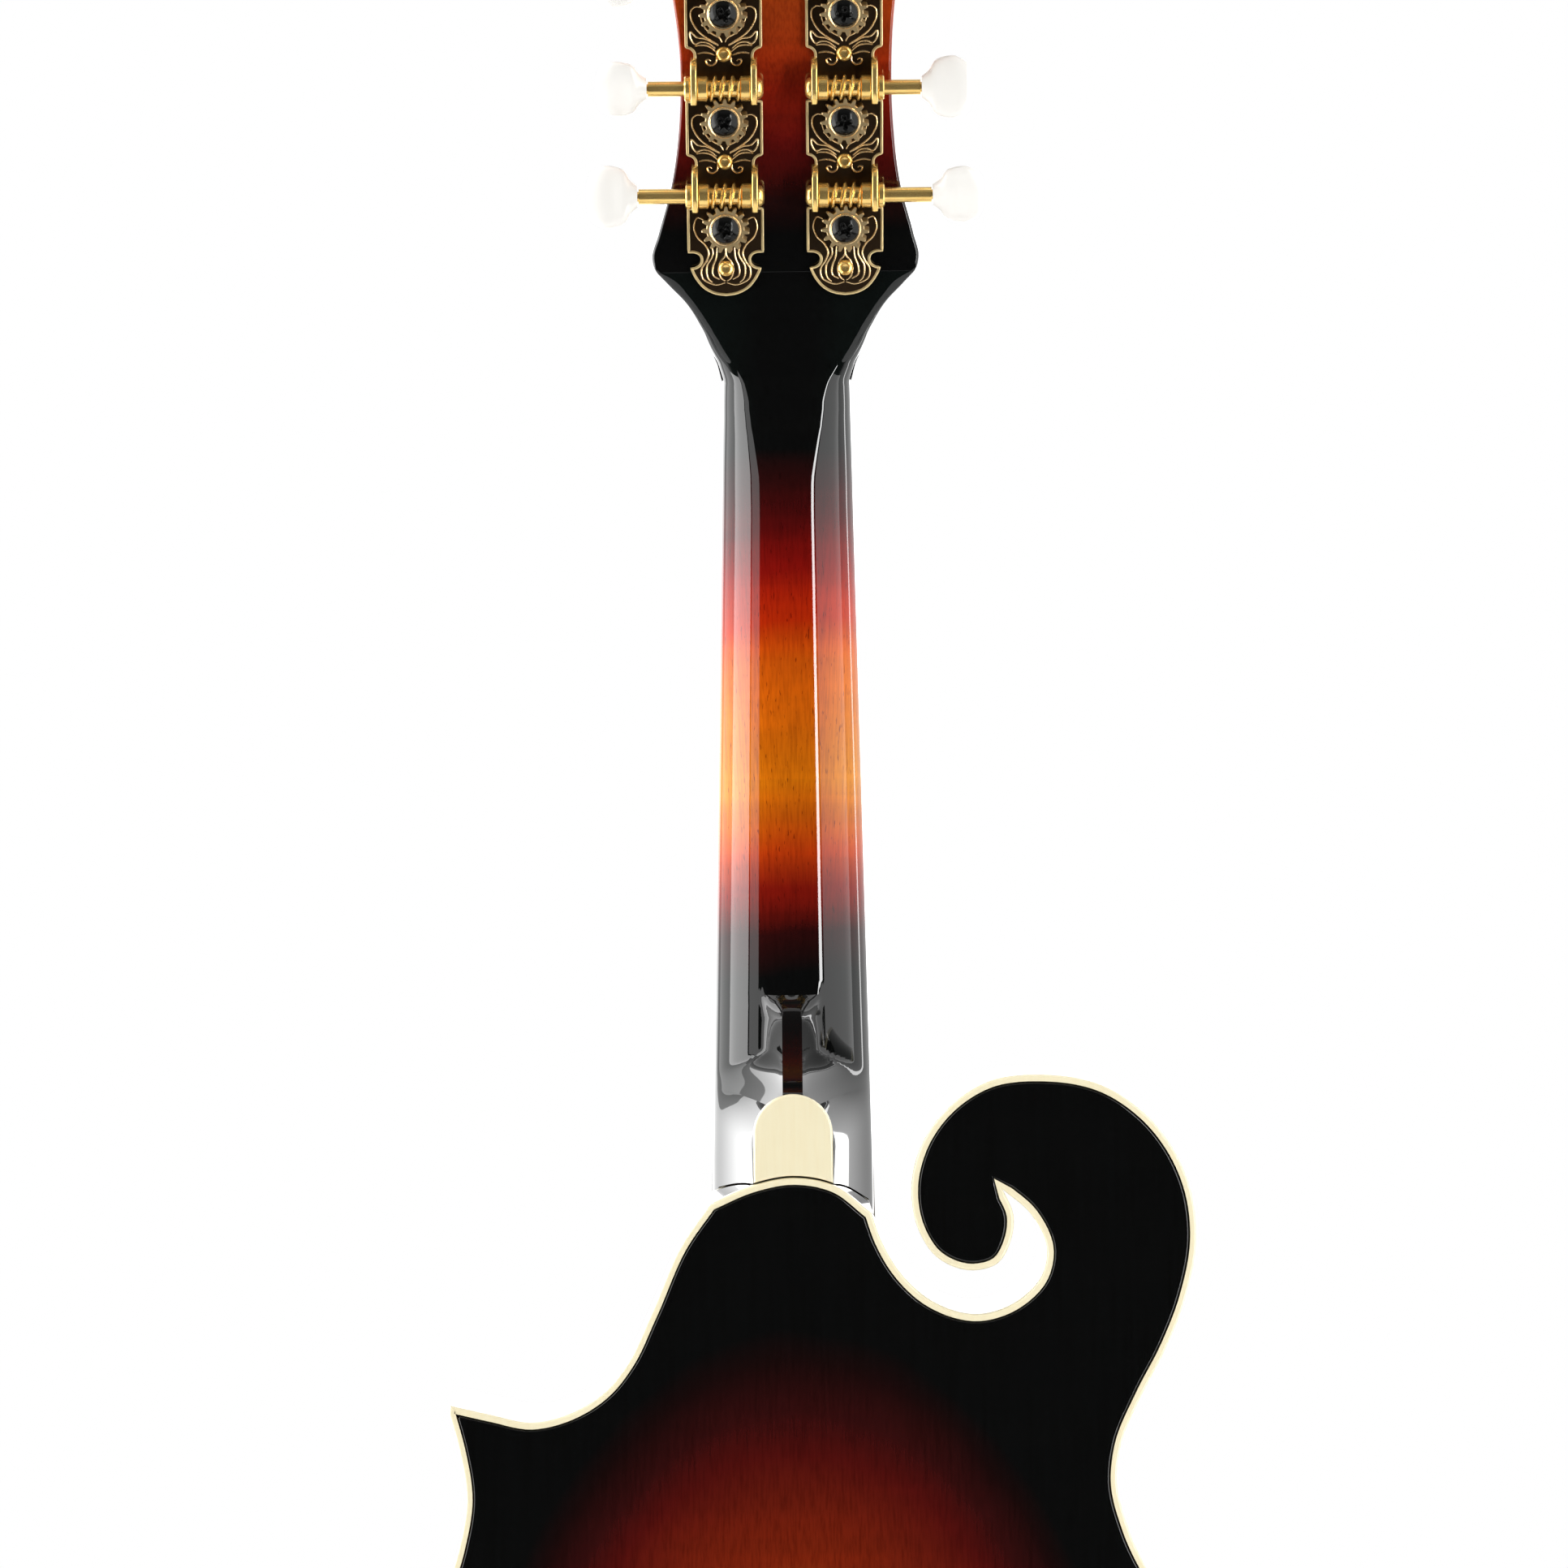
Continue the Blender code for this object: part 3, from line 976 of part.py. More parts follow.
def make_bridge(body, outline):
    """Base with its studs, two thumbwheels and the saddle that they carry."""
    ebony = finish("bridge_ebony", EBONY, 0.40)
    gold = finish("wheel_gold", GOLD, 0.25, 1.0)
    half = BRIDGE_BASE_LENGTH / 2
    x = np.linspace(-half, half, 17)
    edges = [np.column_stack([x, np.full(len(x), BRIDGE_Z + shift)])
             for shift in (-BRIDGE_BASE_DEPTH / 2, 0, BRIDGE_BASE_DEPTH / 2)]
    seat = TOP_EDGE - np.max([arch(edge, outline) for edge in edges], axis=0) - GAP
    base_top = seat.min() - BRIDGE_BASE_HEIGHT
    share = np.clip((np.abs(x) - BRIDGE_FLAT_HALF_WIDTH) / (half - BRIDGE_FLAT_HALF_WIDTH), 0, 1)
    share = share * share * (3 - 2 * share)
    crest = base_top * (1 - share) + (seat - BRIDGE_TIP_THICKNESS) * share
    profile = np.vstack([np.column_stack([x, seat]), np.column_stack([x, crest])[::-1]])
    base = along_slab(profile, BRIDGE_BASE_DEPTH / 2)
    wheel_back = base_top - BRIDGE_TRAVEL - 2 * GAP
    saddle_back = wheel_back - BRIDGE_WHEEL_HEIGHT - GAP
    front = string_plane_y() + max(STRING_RADII.values()) + GAP + SADDLE_RELIEF
    bore_end = front + SADDLE_FALL + SADDLE_WALL
    stud_end = bore_end + BRIDGE_TRAVEL + GAP
    studs = [rod(stud_end, base_top + BRIDGE_BASE_HEIGHT / 2, BRIDGE_STUD_RADIUS, 12,
                 (side * BRIDGE_STUD_SPACING / 2, 0, 0), "Y") for side in (-1, 1)]
    base = combined(base, joined(studs), "UNION")
    add("bridge_base", base, ebony, body, (0, 0, BRIDGE_Z))

    half = BRIDGE_SADDLE_LENGTH / 2
    shoulder = COURSE_SPAN_AT_BRIDGE / 2 + PAIR_SPACING_AT_BRIDGE
    waist = BRIDGE_STUD_SPACING / 2 - BRIDGE_WHEEL_RADIUS
    over_stud = BRIDGE_STUD_SPACING / 2 + BRIDGE_STUD_RADIUS + SADDLE_WALL
    relief = saddle_back - SADDLE_END_THICKNESS
    saddle = [(-half, saddle_back), (-half, relief), (-over_stud, front + SADDLE_FALL), (-shoulder, front),
              (shoulder, front), (over_stud, front + SADDLE_FALL), (half, relief), (half, saddle_back),
              (waist, saddle_back), (SADDLE_ARCH_HALF_WIDTH, relief), (-SADDLE_ARCH_HALF_WIDTH, relief),
              (-waist, saddle_back)]
    mesh = along_slab(np.array(saddle), BRIDGE_SADDLE_DEPTH / 2)
    bores = [rod(bore_end, saddle_back + GAP, BRIDGE_STUD_RADIUS + GAP, 12,
                 (side * BRIDGE_STUD_SPACING / 2, 0, 0), "Y") for side in (-1, 1)]
    add("bridge_saddle", combined(mesh, joined(bores), "DIFFERENCE"), ebony, body, (0, 0, BRIDGE_Z))
    for name, side in (("bass", -1), ("treble", 1)):
        rings = [circle((0, 0), BRIDGE_WHEEL_RADIUS, 24), circle((0, 0), BRIDGE_STUD_RADIUS + GAP, 12)]
        wheel = slab(rings, flat(-BRIDGE_WHEEL_HEIGHT), flat(0))
        place = (side * BRIDGE_STUD_SPACING / 2, wheel_back, BRIDGE_Z)
        add("bridge_wheel_" + name, wheel, gold, body, place, smooth=30)


def pin_drill():
    """Cutter for the hole of the end pin, through the tail of the body."""
    return rod(TAIL_Z - TAIL_BLOCK_DEPTH, TAIL_Z + TAIL_BLOCK_DEPTH * 2, END_PIN_SHANK_RADIUS + GAP, 12,
               (0, END_PIN_DEPTH, 0), "Z")


def make_tailpiece(body):
    """Bracket with its string hooks, the cover over it, and the end pin."""
    gold = finish("tailpiece_gold", GOLD, 0.20, 1.0)
    ebony = finish("end_pin_ebony", EBONY, 0.35)
    outer = TAIL_Z - GAP - TAILPIECE_SHEET
    under = TOP_EDGE - TAILPIECE_RISE
    over = under - TAILPIECE_SHEET
    front = TAIL_Z + TAILPIECE_LENGTH
    hook = TAIL_Z + HOOK_OFFSET
    profile = [(TOP_EDGE + TAILPIECE_DROP, outer), (over, outer), (over, hook - HOOK_LENGTH),
               (over - HOOK_HEIGHT, hook - HOOK_LENGTH), (over - HOOK_HEIGHT, hook), (over, hook), (over, front),
               (under, front), (under, TAIL_Z - GAP), (TOP_EDGE + TAILPIECE_DROP, TAIL_Z - GAP)]
    base = across_slab(np.array(profile), TAILPIECE_HALF_WIDTH)
    add("tailpiece_base", combined(base, pin_drill(), "DIFFERENCE"), gold, body)

    low = over - GAP
    crown = over - COVER_HEIGHT
    tail = outer - COVER_PLAY - COVER_SHEET
    turn = np.linspace(0, math.pi / 2, 6)
    bend = COVER_BEND
    corner = np.column_stack([crown + bend * (1 - np.sin(turn)), tail + bend * (1 - np.cos(turn))])
    shell = across_slab(np.vstack([[(low, tail)], corner, [(crown, front), (low, front)]]),
                        TAILPIECE_HALF_WIDTH + COVER_PLAY + COVER_SHEET)
    bend -= COVER_SHEET
    corner = np.column_stack([crown + COVER_SHEET + bend * (1 - np.sin(turn)),
                              tail + COVER_SHEET + bend * (1 - np.cos(turn))])
    hollow = np.vstack([[(low + CUT_PAST, tail + COVER_SHEET)], corner,
                        [(crown + COVER_SHEET, front + CUT_PAST), (low + CUT_PAST, front + CUT_PAST)]])
    cover = combined(shell, across_slab(hollow, TAILPIECE_HALF_WIDTH + COVER_PLAY), "DIFFERENCE")
    add("tailpiece_cover", cover, gold, body, smooth=30)

    seat = outer - GAP
    shape = [(END_PIN_RADIUS * wide, seat - END_PIN_STAND * out) for wide, out in END_PIN_PROFILE]
    tip = TAIL_Z + TAIL_BLOCK_DEPTH
    pin = turned([(0, seat - END_PIN_STAND), *shape, (END_PIN_SHANK_RADIUS, seat),
                  (END_PIN_SHANK_TIP_RADIUS, tip), (0, tip)], 16)
    add("end_pin", pin, ebony, body, (0, END_PIN_DEPTH, 0), smooth=40)


def make_strings(body, neck, head):
    """Eight strings in four pairs, each from its post over the nut and the saddle to its hook."""
    plain = finish("plain_string", STEEL, 0.25, 1.0)
    wound = finish("wound_string", BRONZE, 0.35, 1.0)
    bpy.context.view_layer.update()
    to_neck = neck.matrix_world.inverted()
    nut_y = -(GAP + FINGERBOARD_THICKNESS + NUT_RISE + GAP)
    over = TOP_EDGE - TAILPIECE_RISE - TAILPIECE_SHEET
    for index, course in enumerate(COURSES):
        share = index / (len(COURSES) - 1) - 0.5
        radius = STRING_RADII[course]
        for member in (0, 1):
            spread = member - 0.5
            side = -1 if share < 0 else 1
            x_nut = share * COURSE_SPAN_AT_NUT + spread * PAIR_SPACING_AT_NUT
            x_bridge = share * COURSE_SPAN_AT_BRIDGE + spread * PAIR_SPACING_AT_BRIDGE
            from_edge = 2 * index + member if side < 0 else 2 * (len(COURSES) - 1 - index) + 1 - member
            post_z = FIRST_GEAR_Z + from_edge * UNIT_PITCH
            post_x = side * (POST_ROW_X - POST_RADIUS - radius - POST_PASS)
            hook = body.matrix_world @ Vector((x_bridge * HOOK_NARROWING, over - STRING_SEAT_ON_HOOK,
                                               TAIL_Z + HOOK_OFFSET + radius + GAP))
            post = head.matrix_world @ Vector((post_x, -(GAP + OVERLAY_THICKNESS + STRING_WRAP_HEIGHT), post_z))
            route = [to_neck @ hook, Vector((x_bridge, -STRING_HEIGHT_AT_BRIDGE, -SCALE_LENGTH)),
                     Vector((x_nut, nut_y - radius, NUT_LENGTH - NUT_EDGE)), to_neck @ post]
            curve = bpy.data.curves.new("string", "CURVE")
            curve.dimensions = "3D"
            curve.bevel_depth = radius
            curve.bevel_resolution = 1
            curve.use_fill_caps = True
            run = curve.splines.new("POLY")
            run.points.add(len(route) - 1)
            for point, place in zip(run.points, route):
                point.co = (*place, 1)
            curve.materials.append(wound if course in "gd" else plain)
            string = bpy.data.objects.new(f"string_{course}{member + 1}", curve)
            string.parent = neck
            bpy.context.collection.objects.link(string)


def main():
    """Build the three frames and every piece on them."""
    clear_scene()
    body = frame("body_frame", JOINT_PLACE, 0)
    neck = frame("neck_frame", (0, 0, 0), NECK_TILT)
    head = frame("head_frame", (0, 0, 0), NECK_TILT + HEAD_PITCH)
    outline = make_body(body)
    make_neck(body, neck, head, outline)
    make_tuners(head)
    make_bridge(body, outline)
    make_tailpiece(body)
    make_strings(body, neck, head)


main()
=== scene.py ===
"""F-style mandolin: the fine surfaces and the finishes of every piece.

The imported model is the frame. Metres, +Z runs up from the body to the headstock, +Y is the back, -Y the
string side and +X the treble side with the two points. The origin is at the nut. Three places carry the
pieces: the body at the neck joint, the neck tilted back with the fingerboard, and the head pitched further.
"""

import json
import logging
import math
from dataclasses import dataclass, field
from enum import Enum

import bmesh
import bpy
import numpy as np
from mathutils import Matrix, Vector
from mathutils.geometry import delaunay_2d_cdt


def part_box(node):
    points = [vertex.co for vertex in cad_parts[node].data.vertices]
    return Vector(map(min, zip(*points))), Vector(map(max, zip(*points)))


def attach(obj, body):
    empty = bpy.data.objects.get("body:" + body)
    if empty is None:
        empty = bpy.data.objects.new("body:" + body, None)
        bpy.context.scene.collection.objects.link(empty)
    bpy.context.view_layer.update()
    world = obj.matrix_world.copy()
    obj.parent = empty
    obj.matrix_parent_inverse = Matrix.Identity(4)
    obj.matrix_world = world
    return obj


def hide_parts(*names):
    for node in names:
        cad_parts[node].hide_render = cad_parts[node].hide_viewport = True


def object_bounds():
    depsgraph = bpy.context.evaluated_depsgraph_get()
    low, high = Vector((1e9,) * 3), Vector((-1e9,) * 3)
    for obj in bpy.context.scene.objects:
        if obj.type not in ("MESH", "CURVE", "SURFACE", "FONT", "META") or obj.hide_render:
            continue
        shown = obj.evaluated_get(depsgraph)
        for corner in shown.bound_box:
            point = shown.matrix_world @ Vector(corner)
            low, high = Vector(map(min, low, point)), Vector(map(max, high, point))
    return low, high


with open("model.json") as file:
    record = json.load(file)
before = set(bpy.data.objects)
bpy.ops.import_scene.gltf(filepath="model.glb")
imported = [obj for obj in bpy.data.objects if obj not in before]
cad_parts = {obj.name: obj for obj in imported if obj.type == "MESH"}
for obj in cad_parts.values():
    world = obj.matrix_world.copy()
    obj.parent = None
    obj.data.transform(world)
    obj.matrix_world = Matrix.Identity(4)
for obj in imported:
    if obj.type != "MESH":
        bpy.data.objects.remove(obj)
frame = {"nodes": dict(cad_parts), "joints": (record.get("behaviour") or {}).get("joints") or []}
CAD_BOX = [list(corner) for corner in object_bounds()]
log = logging.getLogger("mandolin")

# Places and angles, read from the frame
GAP = 0.0003
JOINTS = {joint["name"]: joint for joint in frame["joints"]}
HEAD_TILT = math.asin(-JOINTS["post_turn_bass_1"]["axis"][2])
HEAD_PITCH = math.radians(13.0)
NECK_TILT = HEAD_TILT - HEAD_PITCH
JOINT_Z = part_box("heel_cap")[0].z - GAP
JOINT_DISTANCE = -JOINT_Z / math.cos(NECK_TILT)
BODY_PLACE = Matrix.Translation((0, -JOINT_DISTANCE * math.sin(NECK_TILT), JOINT_Z))
NECK_PLACE = Matrix.Rotation(-NECK_TILT, 4, "X")
HEAD_PLACE = Matrix.Rotation(-HEAD_TILT, 4, "X")
WORLD = Matrix.Identity(4)
BODY_Y = BODY_PLACE.translation.y
TOP_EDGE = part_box("top_binding")[0].y - BODY_Y
BACK_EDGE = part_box("back_binding")[1].y - BODY_Y

# Body sizes
PLATE_THICKNESS = 0.004
ARCH_HEIGHT = 0.012
ARCH_HALF_WIDTH = 0.112
ARCH_HALF_LENGTH = 0.150
ARCH_CENTRE = -0.180
RECURVE = 0.012
RIB_THICKNESS = 0.0025
BINDING_WIDTH = 0.0016
OUTLINE_STEP = 0.0015

# Body outline: smooth runs between its corners, (x, z) from the neck joint
CUTAWAY_RUN = [(0.0200, -0.0060), (0.0265, -0.0151), (0.0344, -0.0324), (0.0401, -0.0440), (0.0447, -0.0498),
               (0.0537, -0.0556), (0.0628, -0.0577), (0.0724, -0.0558), (0.0822, -0.0535)]
WAIST_RUN = [(0.0825, -0.0556), (0.0802, -0.0643), (0.0786, -0.0759), (0.0805, -0.0875), (0.0860, -0.1030),
             (0.0950, -0.1240), (0.1060, -0.1460), (0.1200, -0.1650)]
LOWER_RUN = [(0.1214, -0.1680), (0.1218, -0.1800), (0.1244, -0.1940), (0.1250, -0.2050), (0.1210, -0.2320),
             (0.1060, -0.2620), (0.0800, -0.2860), (0.0450, -0.3005), (0.0000, -0.3050), (-0.0450, -0.3005),
             (-0.0800, -0.2860), (-0.1060, -0.2620), (-0.1210, -0.2320), (-0.1250, -0.2050),
             (-0.1220, -0.1800), (-0.1130, -0.1500), (-0.0990, -0.1220), (-0.0875, -0.1010),
             (-0.0793, -0.0846), (-0.0765, -0.0730), (-0.0775, -0.0643), (-0.0824, -0.0527),
             (-0.0885, -0.0411), (-0.0931, -0.0295), (-0.0959, -0.0141), (-0.0946, -0.0035),
             (-0.0911, 0.0052), (-0.0846, 0.0139), (-0.0740, 0.0213), (-0.0595, 0.0241), (-0.0466, 0.0226),
             (-0.0373, 0.0168), (-0.0308, 0.0081), (-0.0280, -0.0035), (-0.0295, -0.0122),
             (-0.0340, -0.0192), (-0.0427, -0.0224), (-0.0484, -0.0208), (-0.0517, -0.0151),
             (-0.0523, -0.0093), (-0.0497, -0.0031)]
SLOT_RUN = [(-0.0497, -0.0031), (-0.0566, -0.0093), (-0.0602, -0.0180), (-0.0589, -0.0238),
            (-0.0535, -0.0295), (-0.0442, -0.0328), (-0.0326, -0.0295), (-0.0261, -0.0238),
            (-0.0208, -0.0151), (-0.0185, -0.0085)]
JOINT_RUN = [(-0.0185, -0.0085), (-0.0100, -0.0020), (0.0000, 0.0000), (0.0100, -0.0018), (0.0200, -0.0060)]
F_HOLE_PATH = [(0.0430, -0.1215), (0.0465, -0.1180), (0.0508, -0.1205), (0.0540, -0.1310), (0.0575, -0.1480),
               (0.0620, -0.1660), (0.0660, -0.1785), (0.0705, -0.1835), (0.0750, -0.1800)]


@dataclass
class Shell:
    """Vertices and faces of a surface, before it becomes a mesh.

    Args:
        vertices: one row of x, y, z for each vertex.
        quads: one row of four vertex numbers for each four-sided face.
        triangles: one row of three vertex numbers for each triangle.
        uv: one row of u, v for each vertex, where a pattern follows the surface.
    """

    vertices: np.ndarray
    quads: np.ndarray = field(default_factory=lambda: np.zeros((0, 4), int))
    triangles: np.ndarray = field(default_factory=lambda: np.zeros((0, 3), int))
    uv: np.ndarray | None = None

    def placed(self, place: Matrix) -> "Shell":
        """The shell moved by a matrix; a mirroring matrix also turns the faces round."""
        turn = np.array(place)
        step = -1 if np.linalg.det(turn[:3, :3]) < 0 else 1
        return Shell(self.vertices @ turn[:3, :3].T + turn[:3, 3], self.quads[:, ::step],
                     self.triangles[:, ::step], self.uv)


def united(shells: list[Shell]) -> Shell:
    """Several shells, all with a uv or all without, as one in which each is still separate."""
    starts = np.cumsum([0] + [len(shell.vertices) for shell in shells])
    quads = np.vstack([shell.quads + start for shell, start in zip(shells, starts)])
    triangles = np.vstack([shell.triangles + start for shell, start in zip(shells, starts)])
    uv = None if shells[0].uv is None else np.vstack([shell.uv for shell in shells])
    return Shell(np.vstack([shell.vertices for shell in shells]), quads, triangles, uv)


def grid_shell(points: np.ndarray, capped: bool = True, joined: bool = False,
               uv: np.ndarray | None = None) -> Shell:
    """Surface on a grid of points, its last column joined to its first.

    Each face joins a point to its neighbours one row and one column on. A cap closes an end row by a fan to
    the row's mean.

    Args:
        points: rows by columns by 3.
        capped: whether both end rows are closed.
        joined: whether the last row joins the first, in place of caps.
        uv: rows by columns by 2.

    Returns:
        Shell: the surface.
    """
    rows, columns = points.shape[:2]
    count = rows * columns
    number = np.arange(count).reshape(rows, columns)
    number = np.hstack([number, number[:, :1]])
    if joined:
        number = np.vstack([number, number[:1]])
    quads = np.stack([number[:-1, :-1], number[:-1, 1:], number[1:, 1:], number[1:, :-1]], -1).reshape(-1, 4)
    shell = Shell(points.reshape(-1, 3), quads, uv=None if uv is None else uv.reshape(-1, 2))
    if joined or not capped:
        return shell
    for row, ring, middle in ((0, number[0, ::-1], count), (-1, number[-1], count + 1)):
        fan = np.column_stack([ring[:-1], ring[1:], np.full(columns, middle)])
        shell.triangles = np.vstack([shell.triangles, fan])
        shell.vertices = np.vstack([shell.vertices, points[row].mean(0)])
        if uv is not None:
            shell.uv = np.vstack([shell.uv, uv[row].mean(0)])
    return shell


def full_turn(count: int) -> np.ndarray:
    """Angles of a whole turn, without the one that would repeat the first."""
    return 2 * np.pi * np.arange(count) / count


def quarter_turn(count: int) -> np.ndarray:
    """Angles of a quarter turn, both ends included."""
    return np.linspace(0, math.pi / 2, count)


def unit(rows: np.ndarray, least: float = 1e-12) -> np.ndarray:
    """Each row at length 1; one shorter than the least length stays short."""
    return rows / np.maximum(np.linalg.norm(rows, axis=1), least)[:, None]


def travelled(path: np.ndarray) -> np.ndarray:
    """Distance along a path at each of its points."""
    return np.concatenate([[0], np.cumsum(np.linalg.norm(np.diff(path, axis=0), axis=1))])


def revolved(profile: list[tuple[float, float]], segments: int) -> Shell:
    """Profile of (radius, height) pairs turned round Z: x = r cos a, y = r sin a, z = height.

    Args:
        profile: pairs from one end to the other; both ends are closed to the axis.
        segments: the number of steps in a turn.

    Returns:
        Shell: the closed surface.
    """
    radii, heights = np.array(profile, float).T
    angle = full_turn(segments)
    return grid_shell(np.stack([radii[:, None] * np.cos(angle), radii[:, None] * np.sin(angle),
                                np.repeat(heights[:, None], segments, 1)], -1))


def hermite(t: np.ndarray | float, start: np.ndarray, end: np.ndarray, leaving: np.ndarray,
            arriving: np.ndarray) -> np.ndarray:
    """Cubic from start to end at share t, with the slopes that it leaves and arrives by."""
    return ((2 * t**3 - 3 * t**2 + 1) * start + (3 * t**2 - 2 * t**3) * end
            + (t**3 - 2 * t**2 + t) * leaving + (t**3 - t**2) * arriving)


def smooth_run(points: list[tuple[float, ...]], step: float) -> np.ndarray:
    """Smooth run through points: Hermite cubics whose slopes are chord-weighted means of their neighbours.

    Args:
        points: the points to pass through, in two or three dimensions.
        step: the spacing aimed at.

    Returns:
        np.ndarray: the sampled run, both ends included.
    """
    places = np.asarray(points, float)
    chords = np.diff(places, axis=0)
    lengths = np.linalg.norm(chords, axis=1)[:, None]
    directions = chords / lengths
    weights = lengths[1:] / (lengths[:-1] + lengths[1:])
    middle = directions[:-1] * weights + directions[1:] * (1 - weights)
    slopes = np.vstack([directions[:1], middle, directions[-1:]])
    counts = np.maximum(1, np.round(lengths[:, 0] / step)).astype(int)
    index = np.repeat(np.arange(len(counts)), counts)
    share = np.concatenate([np.arange(1, count + 1) / count for count in counts])[:, None]
    run = hermite(share, places[index], places[index + 1], lengths[index] * slopes[index],
                  lengths[index] * slopes[index + 1])
    return np.vstack([places[:1], run])


def smooth_loop(runs: list[list[tuple[float, float]]], step: float) -> np.ndarray:
    """One closed loop from smooth runs that meet end to end, with corners where they meet."""
    points = np.vstack([smooth_run(run, step) for run in runs])
    apart = np.linalg.norm(points - np.roll(points, 1, axis=0), axis=1)
    return points[apart > GAP / 3]


def evenly(path: np.ndarray, count: int) -> np.ndarray:
    """The path resampled at a count of even distances along it, both ends included."""
    travel = travelled(path)
    stops = np.linspace(0, travel[-1], count)
    return np.column_stack([np.interp(stops, travel, path[:, axis]) for axis in range(path.shape[1])])


def edge_distance(points: np.ndarray, loop: np.ndarray) -> np.ndarray:
    """Distance from each point to the nearest side of the closed loop, in blocks to save memory."""
    along = np.roll(loop, -1, axis=0) - loop
    squared = (along**2).sum(1)
    found = []
    for block in np.array_split(points, max(1, len(points) // 1500)):
        away = block[:, None] - loop[None]
        share = np.clip((away * along).sum(2) / squared, 0, 1)
        found.append(np.linalg.norm(away - share[..., None] * along, axis=2).min(1))
    return np.concatenate(found)


def inside(points: np.ndarray, loop: np.ndarray) -> np.ndarray:
    """Whether each point lies inside the closed loop, by counting the sides crossed towards +X."""
    x0, z0 = loop[:, 0], loop[:, 1]
    x1, z1 = np.roll(x0, -1), np.roll(z0, -1)
    rise = np.where(z1 == z0, 1, z1 - z0)
    found = []
    for block in np.array_split(points, max(1, len(points) // 1500)):
        x, z = block[:, 0, None], block[:, 1, None]
        crossing = x0 + (z - z0) * (x1 - x0) / rise
        found.append((((z0 > z) != (z1 > z)) & (x < crossing)).sum(1) % 2 == 1)
    return np.concatenate(found)


def inward_normals(loop: np.ndarray) -> np.ndarray:
    """Direction into the closed loop at each point, longer at a corner so that walls keep their width."""
    ahead = unit(np.roll(loop, -1, axis=0) - loop, 0.0)
    tangent = unit(ahead + np.roll(ahead, 1, axis=0), 1e-9)
    x, z = loop[:, 0], loop[:, 1]
    turn = np.sign((x * np.roll(z, -1) - z * np.roll(x, -1)).sum())
    mitre = 1 / np.maximum(0.5, (tangent * ahead).sum(1))[:, None]
    return np.column_stack([-tangent[:, 1], tangent[:, 0]]) * turn * mitre


def offset_loop(loop: np.ndarray, distance: float) -> np.ndarray:
    """Closed loop moved inwards by distance, outwards if negative; points left too near are dropped."""
    shifted = loop + inward_normals(loop) * distance
    return shifted[edge_distance(shifted, loop) > abs(distance) * 0.96]


def filled(loops: list[np.ndarray], interior: np.ndarray) -> tuple[np.ndarray, np.ndarray]:
    """Triangles that fill the first loop, less the others, by constrained Delaunay triangulation.

    Args:
        loops: the outer loop, then the holes.
        interior: more points that the triangles use.

    Returns:
        tuple: the flat points and the triangles' vertex numbers; loop points come first, in their order.
    """
    flat = np.vstack([*loops, interior]) if len(interior) else np.vstack(loops)
    edges = []
    start = 0
    for loop in loops:
        count = len(loop)
        edges += [(start + index, start + (index + 1) % count) for index in range(count)]
        start += count
    vectors = [Vector(point) for point in flat]
    points, _, faces, sources, _, _ = delaunay_2d_cdt(vectors, edges, [], 0, 1e-8)
    points, faces = np.array(points), np.array(faces)
    back = np.array([source[0] if source else -1 for source in sources])
    middles = points[faces].mean(axis=1)
    kept = inside(middles, loops[0])
    for hole in loops[1:]:
        kept &= ~inside(middles, hole)
    faces = faces[kept]
    if (back < 0).any() or len(points) != len(flat):
        return points, faces
    return flat, back[faces]


def staggered_grid(loop: np.ndarray, spacing: float, margin: float) -> np.ndarray:
    """Points in staggered rows inside the loop, at least a margin from its edge."""
    low, high = loop.min(0), loop.max(0)
    rows = np.arange(low[1], high[1], spacing * math.sqrt(3) / 2)
    columns = np.arange(low[0], high[0], spacing)
    x = columns[None] + spacing / 2 * (np.arange(len(rows)) % 2)[:, None]
    points = np.column_stack([x.ravel(), np.repeat(rows, len(columns))])
    return points[inside(points, loop) & (edge_distance(points, loop) > margin)]


def smoothstep(value: np.ndarray, low: float, high: float) -> np.ndarray:
    """Cubic ease from 0 at low to 1 at high."""
    share = np.clip((np.asarray(value, float) - low) / (high - low), 0, 1)
    return share * share * (3 - 2 * share)


class Value:
    """A number that varies over a surface; arithmetic on it adds Math nodes.

    Args:
        graph: the material's graph.
        socket: the node output that carries the number.
    """

    def __init__(self, graph: "Graph", socket: bpy.types.NodeSocket) -> None:
        self.graph = graph
        self.socket = socket

    def math(self, operation: str, *others: "Value | float") -> "Value":
        """One Math node on this number and the others, in that order."""
        return self.graph.math(operation, self, *others)

    def __add__(self, other: "Value | float") -> "Value":
        """Sum."""
        return self.math("ADD", other)

    def __sub__(self, other: "Value | float") -> "Value":
        """Difference."""
        return self.math("SUBTRACT", other)

    def __mul__(self, other: "Value | float") -> "Value":
        """Product."""
        return self.math("MULTIPLY", other)

    def __truediv__(self, other: "Value | float") -> "Value":
        """Quotient."""
        return self.math("DIVIDE", other)

    def __pow__(self, other: "Value | float") -> "Value":
        """Power."""
        return self.math("POWER", other)

    __radd__ = __add__
    __rmul__ = __mul__

    def __rsub__(self, other: float) -> "Value":
        """A plain number less this one."""
        return self.graph.math("SUBTRACT", other, self)

    def ease(self, low: float, high: float) -> "Value":
        """Smooth step from 0 where this number is low to 1 where it is high."""
        settings = {"interpolation_type": "SMOOTHSTEP"}
        node = self.graph.node("ShaderNodeMapRange", settings, {0: self, 1: low, 2: high, 3: 0.0, 4: 1.0})
        return Value(self.graph, node.outputs[0])


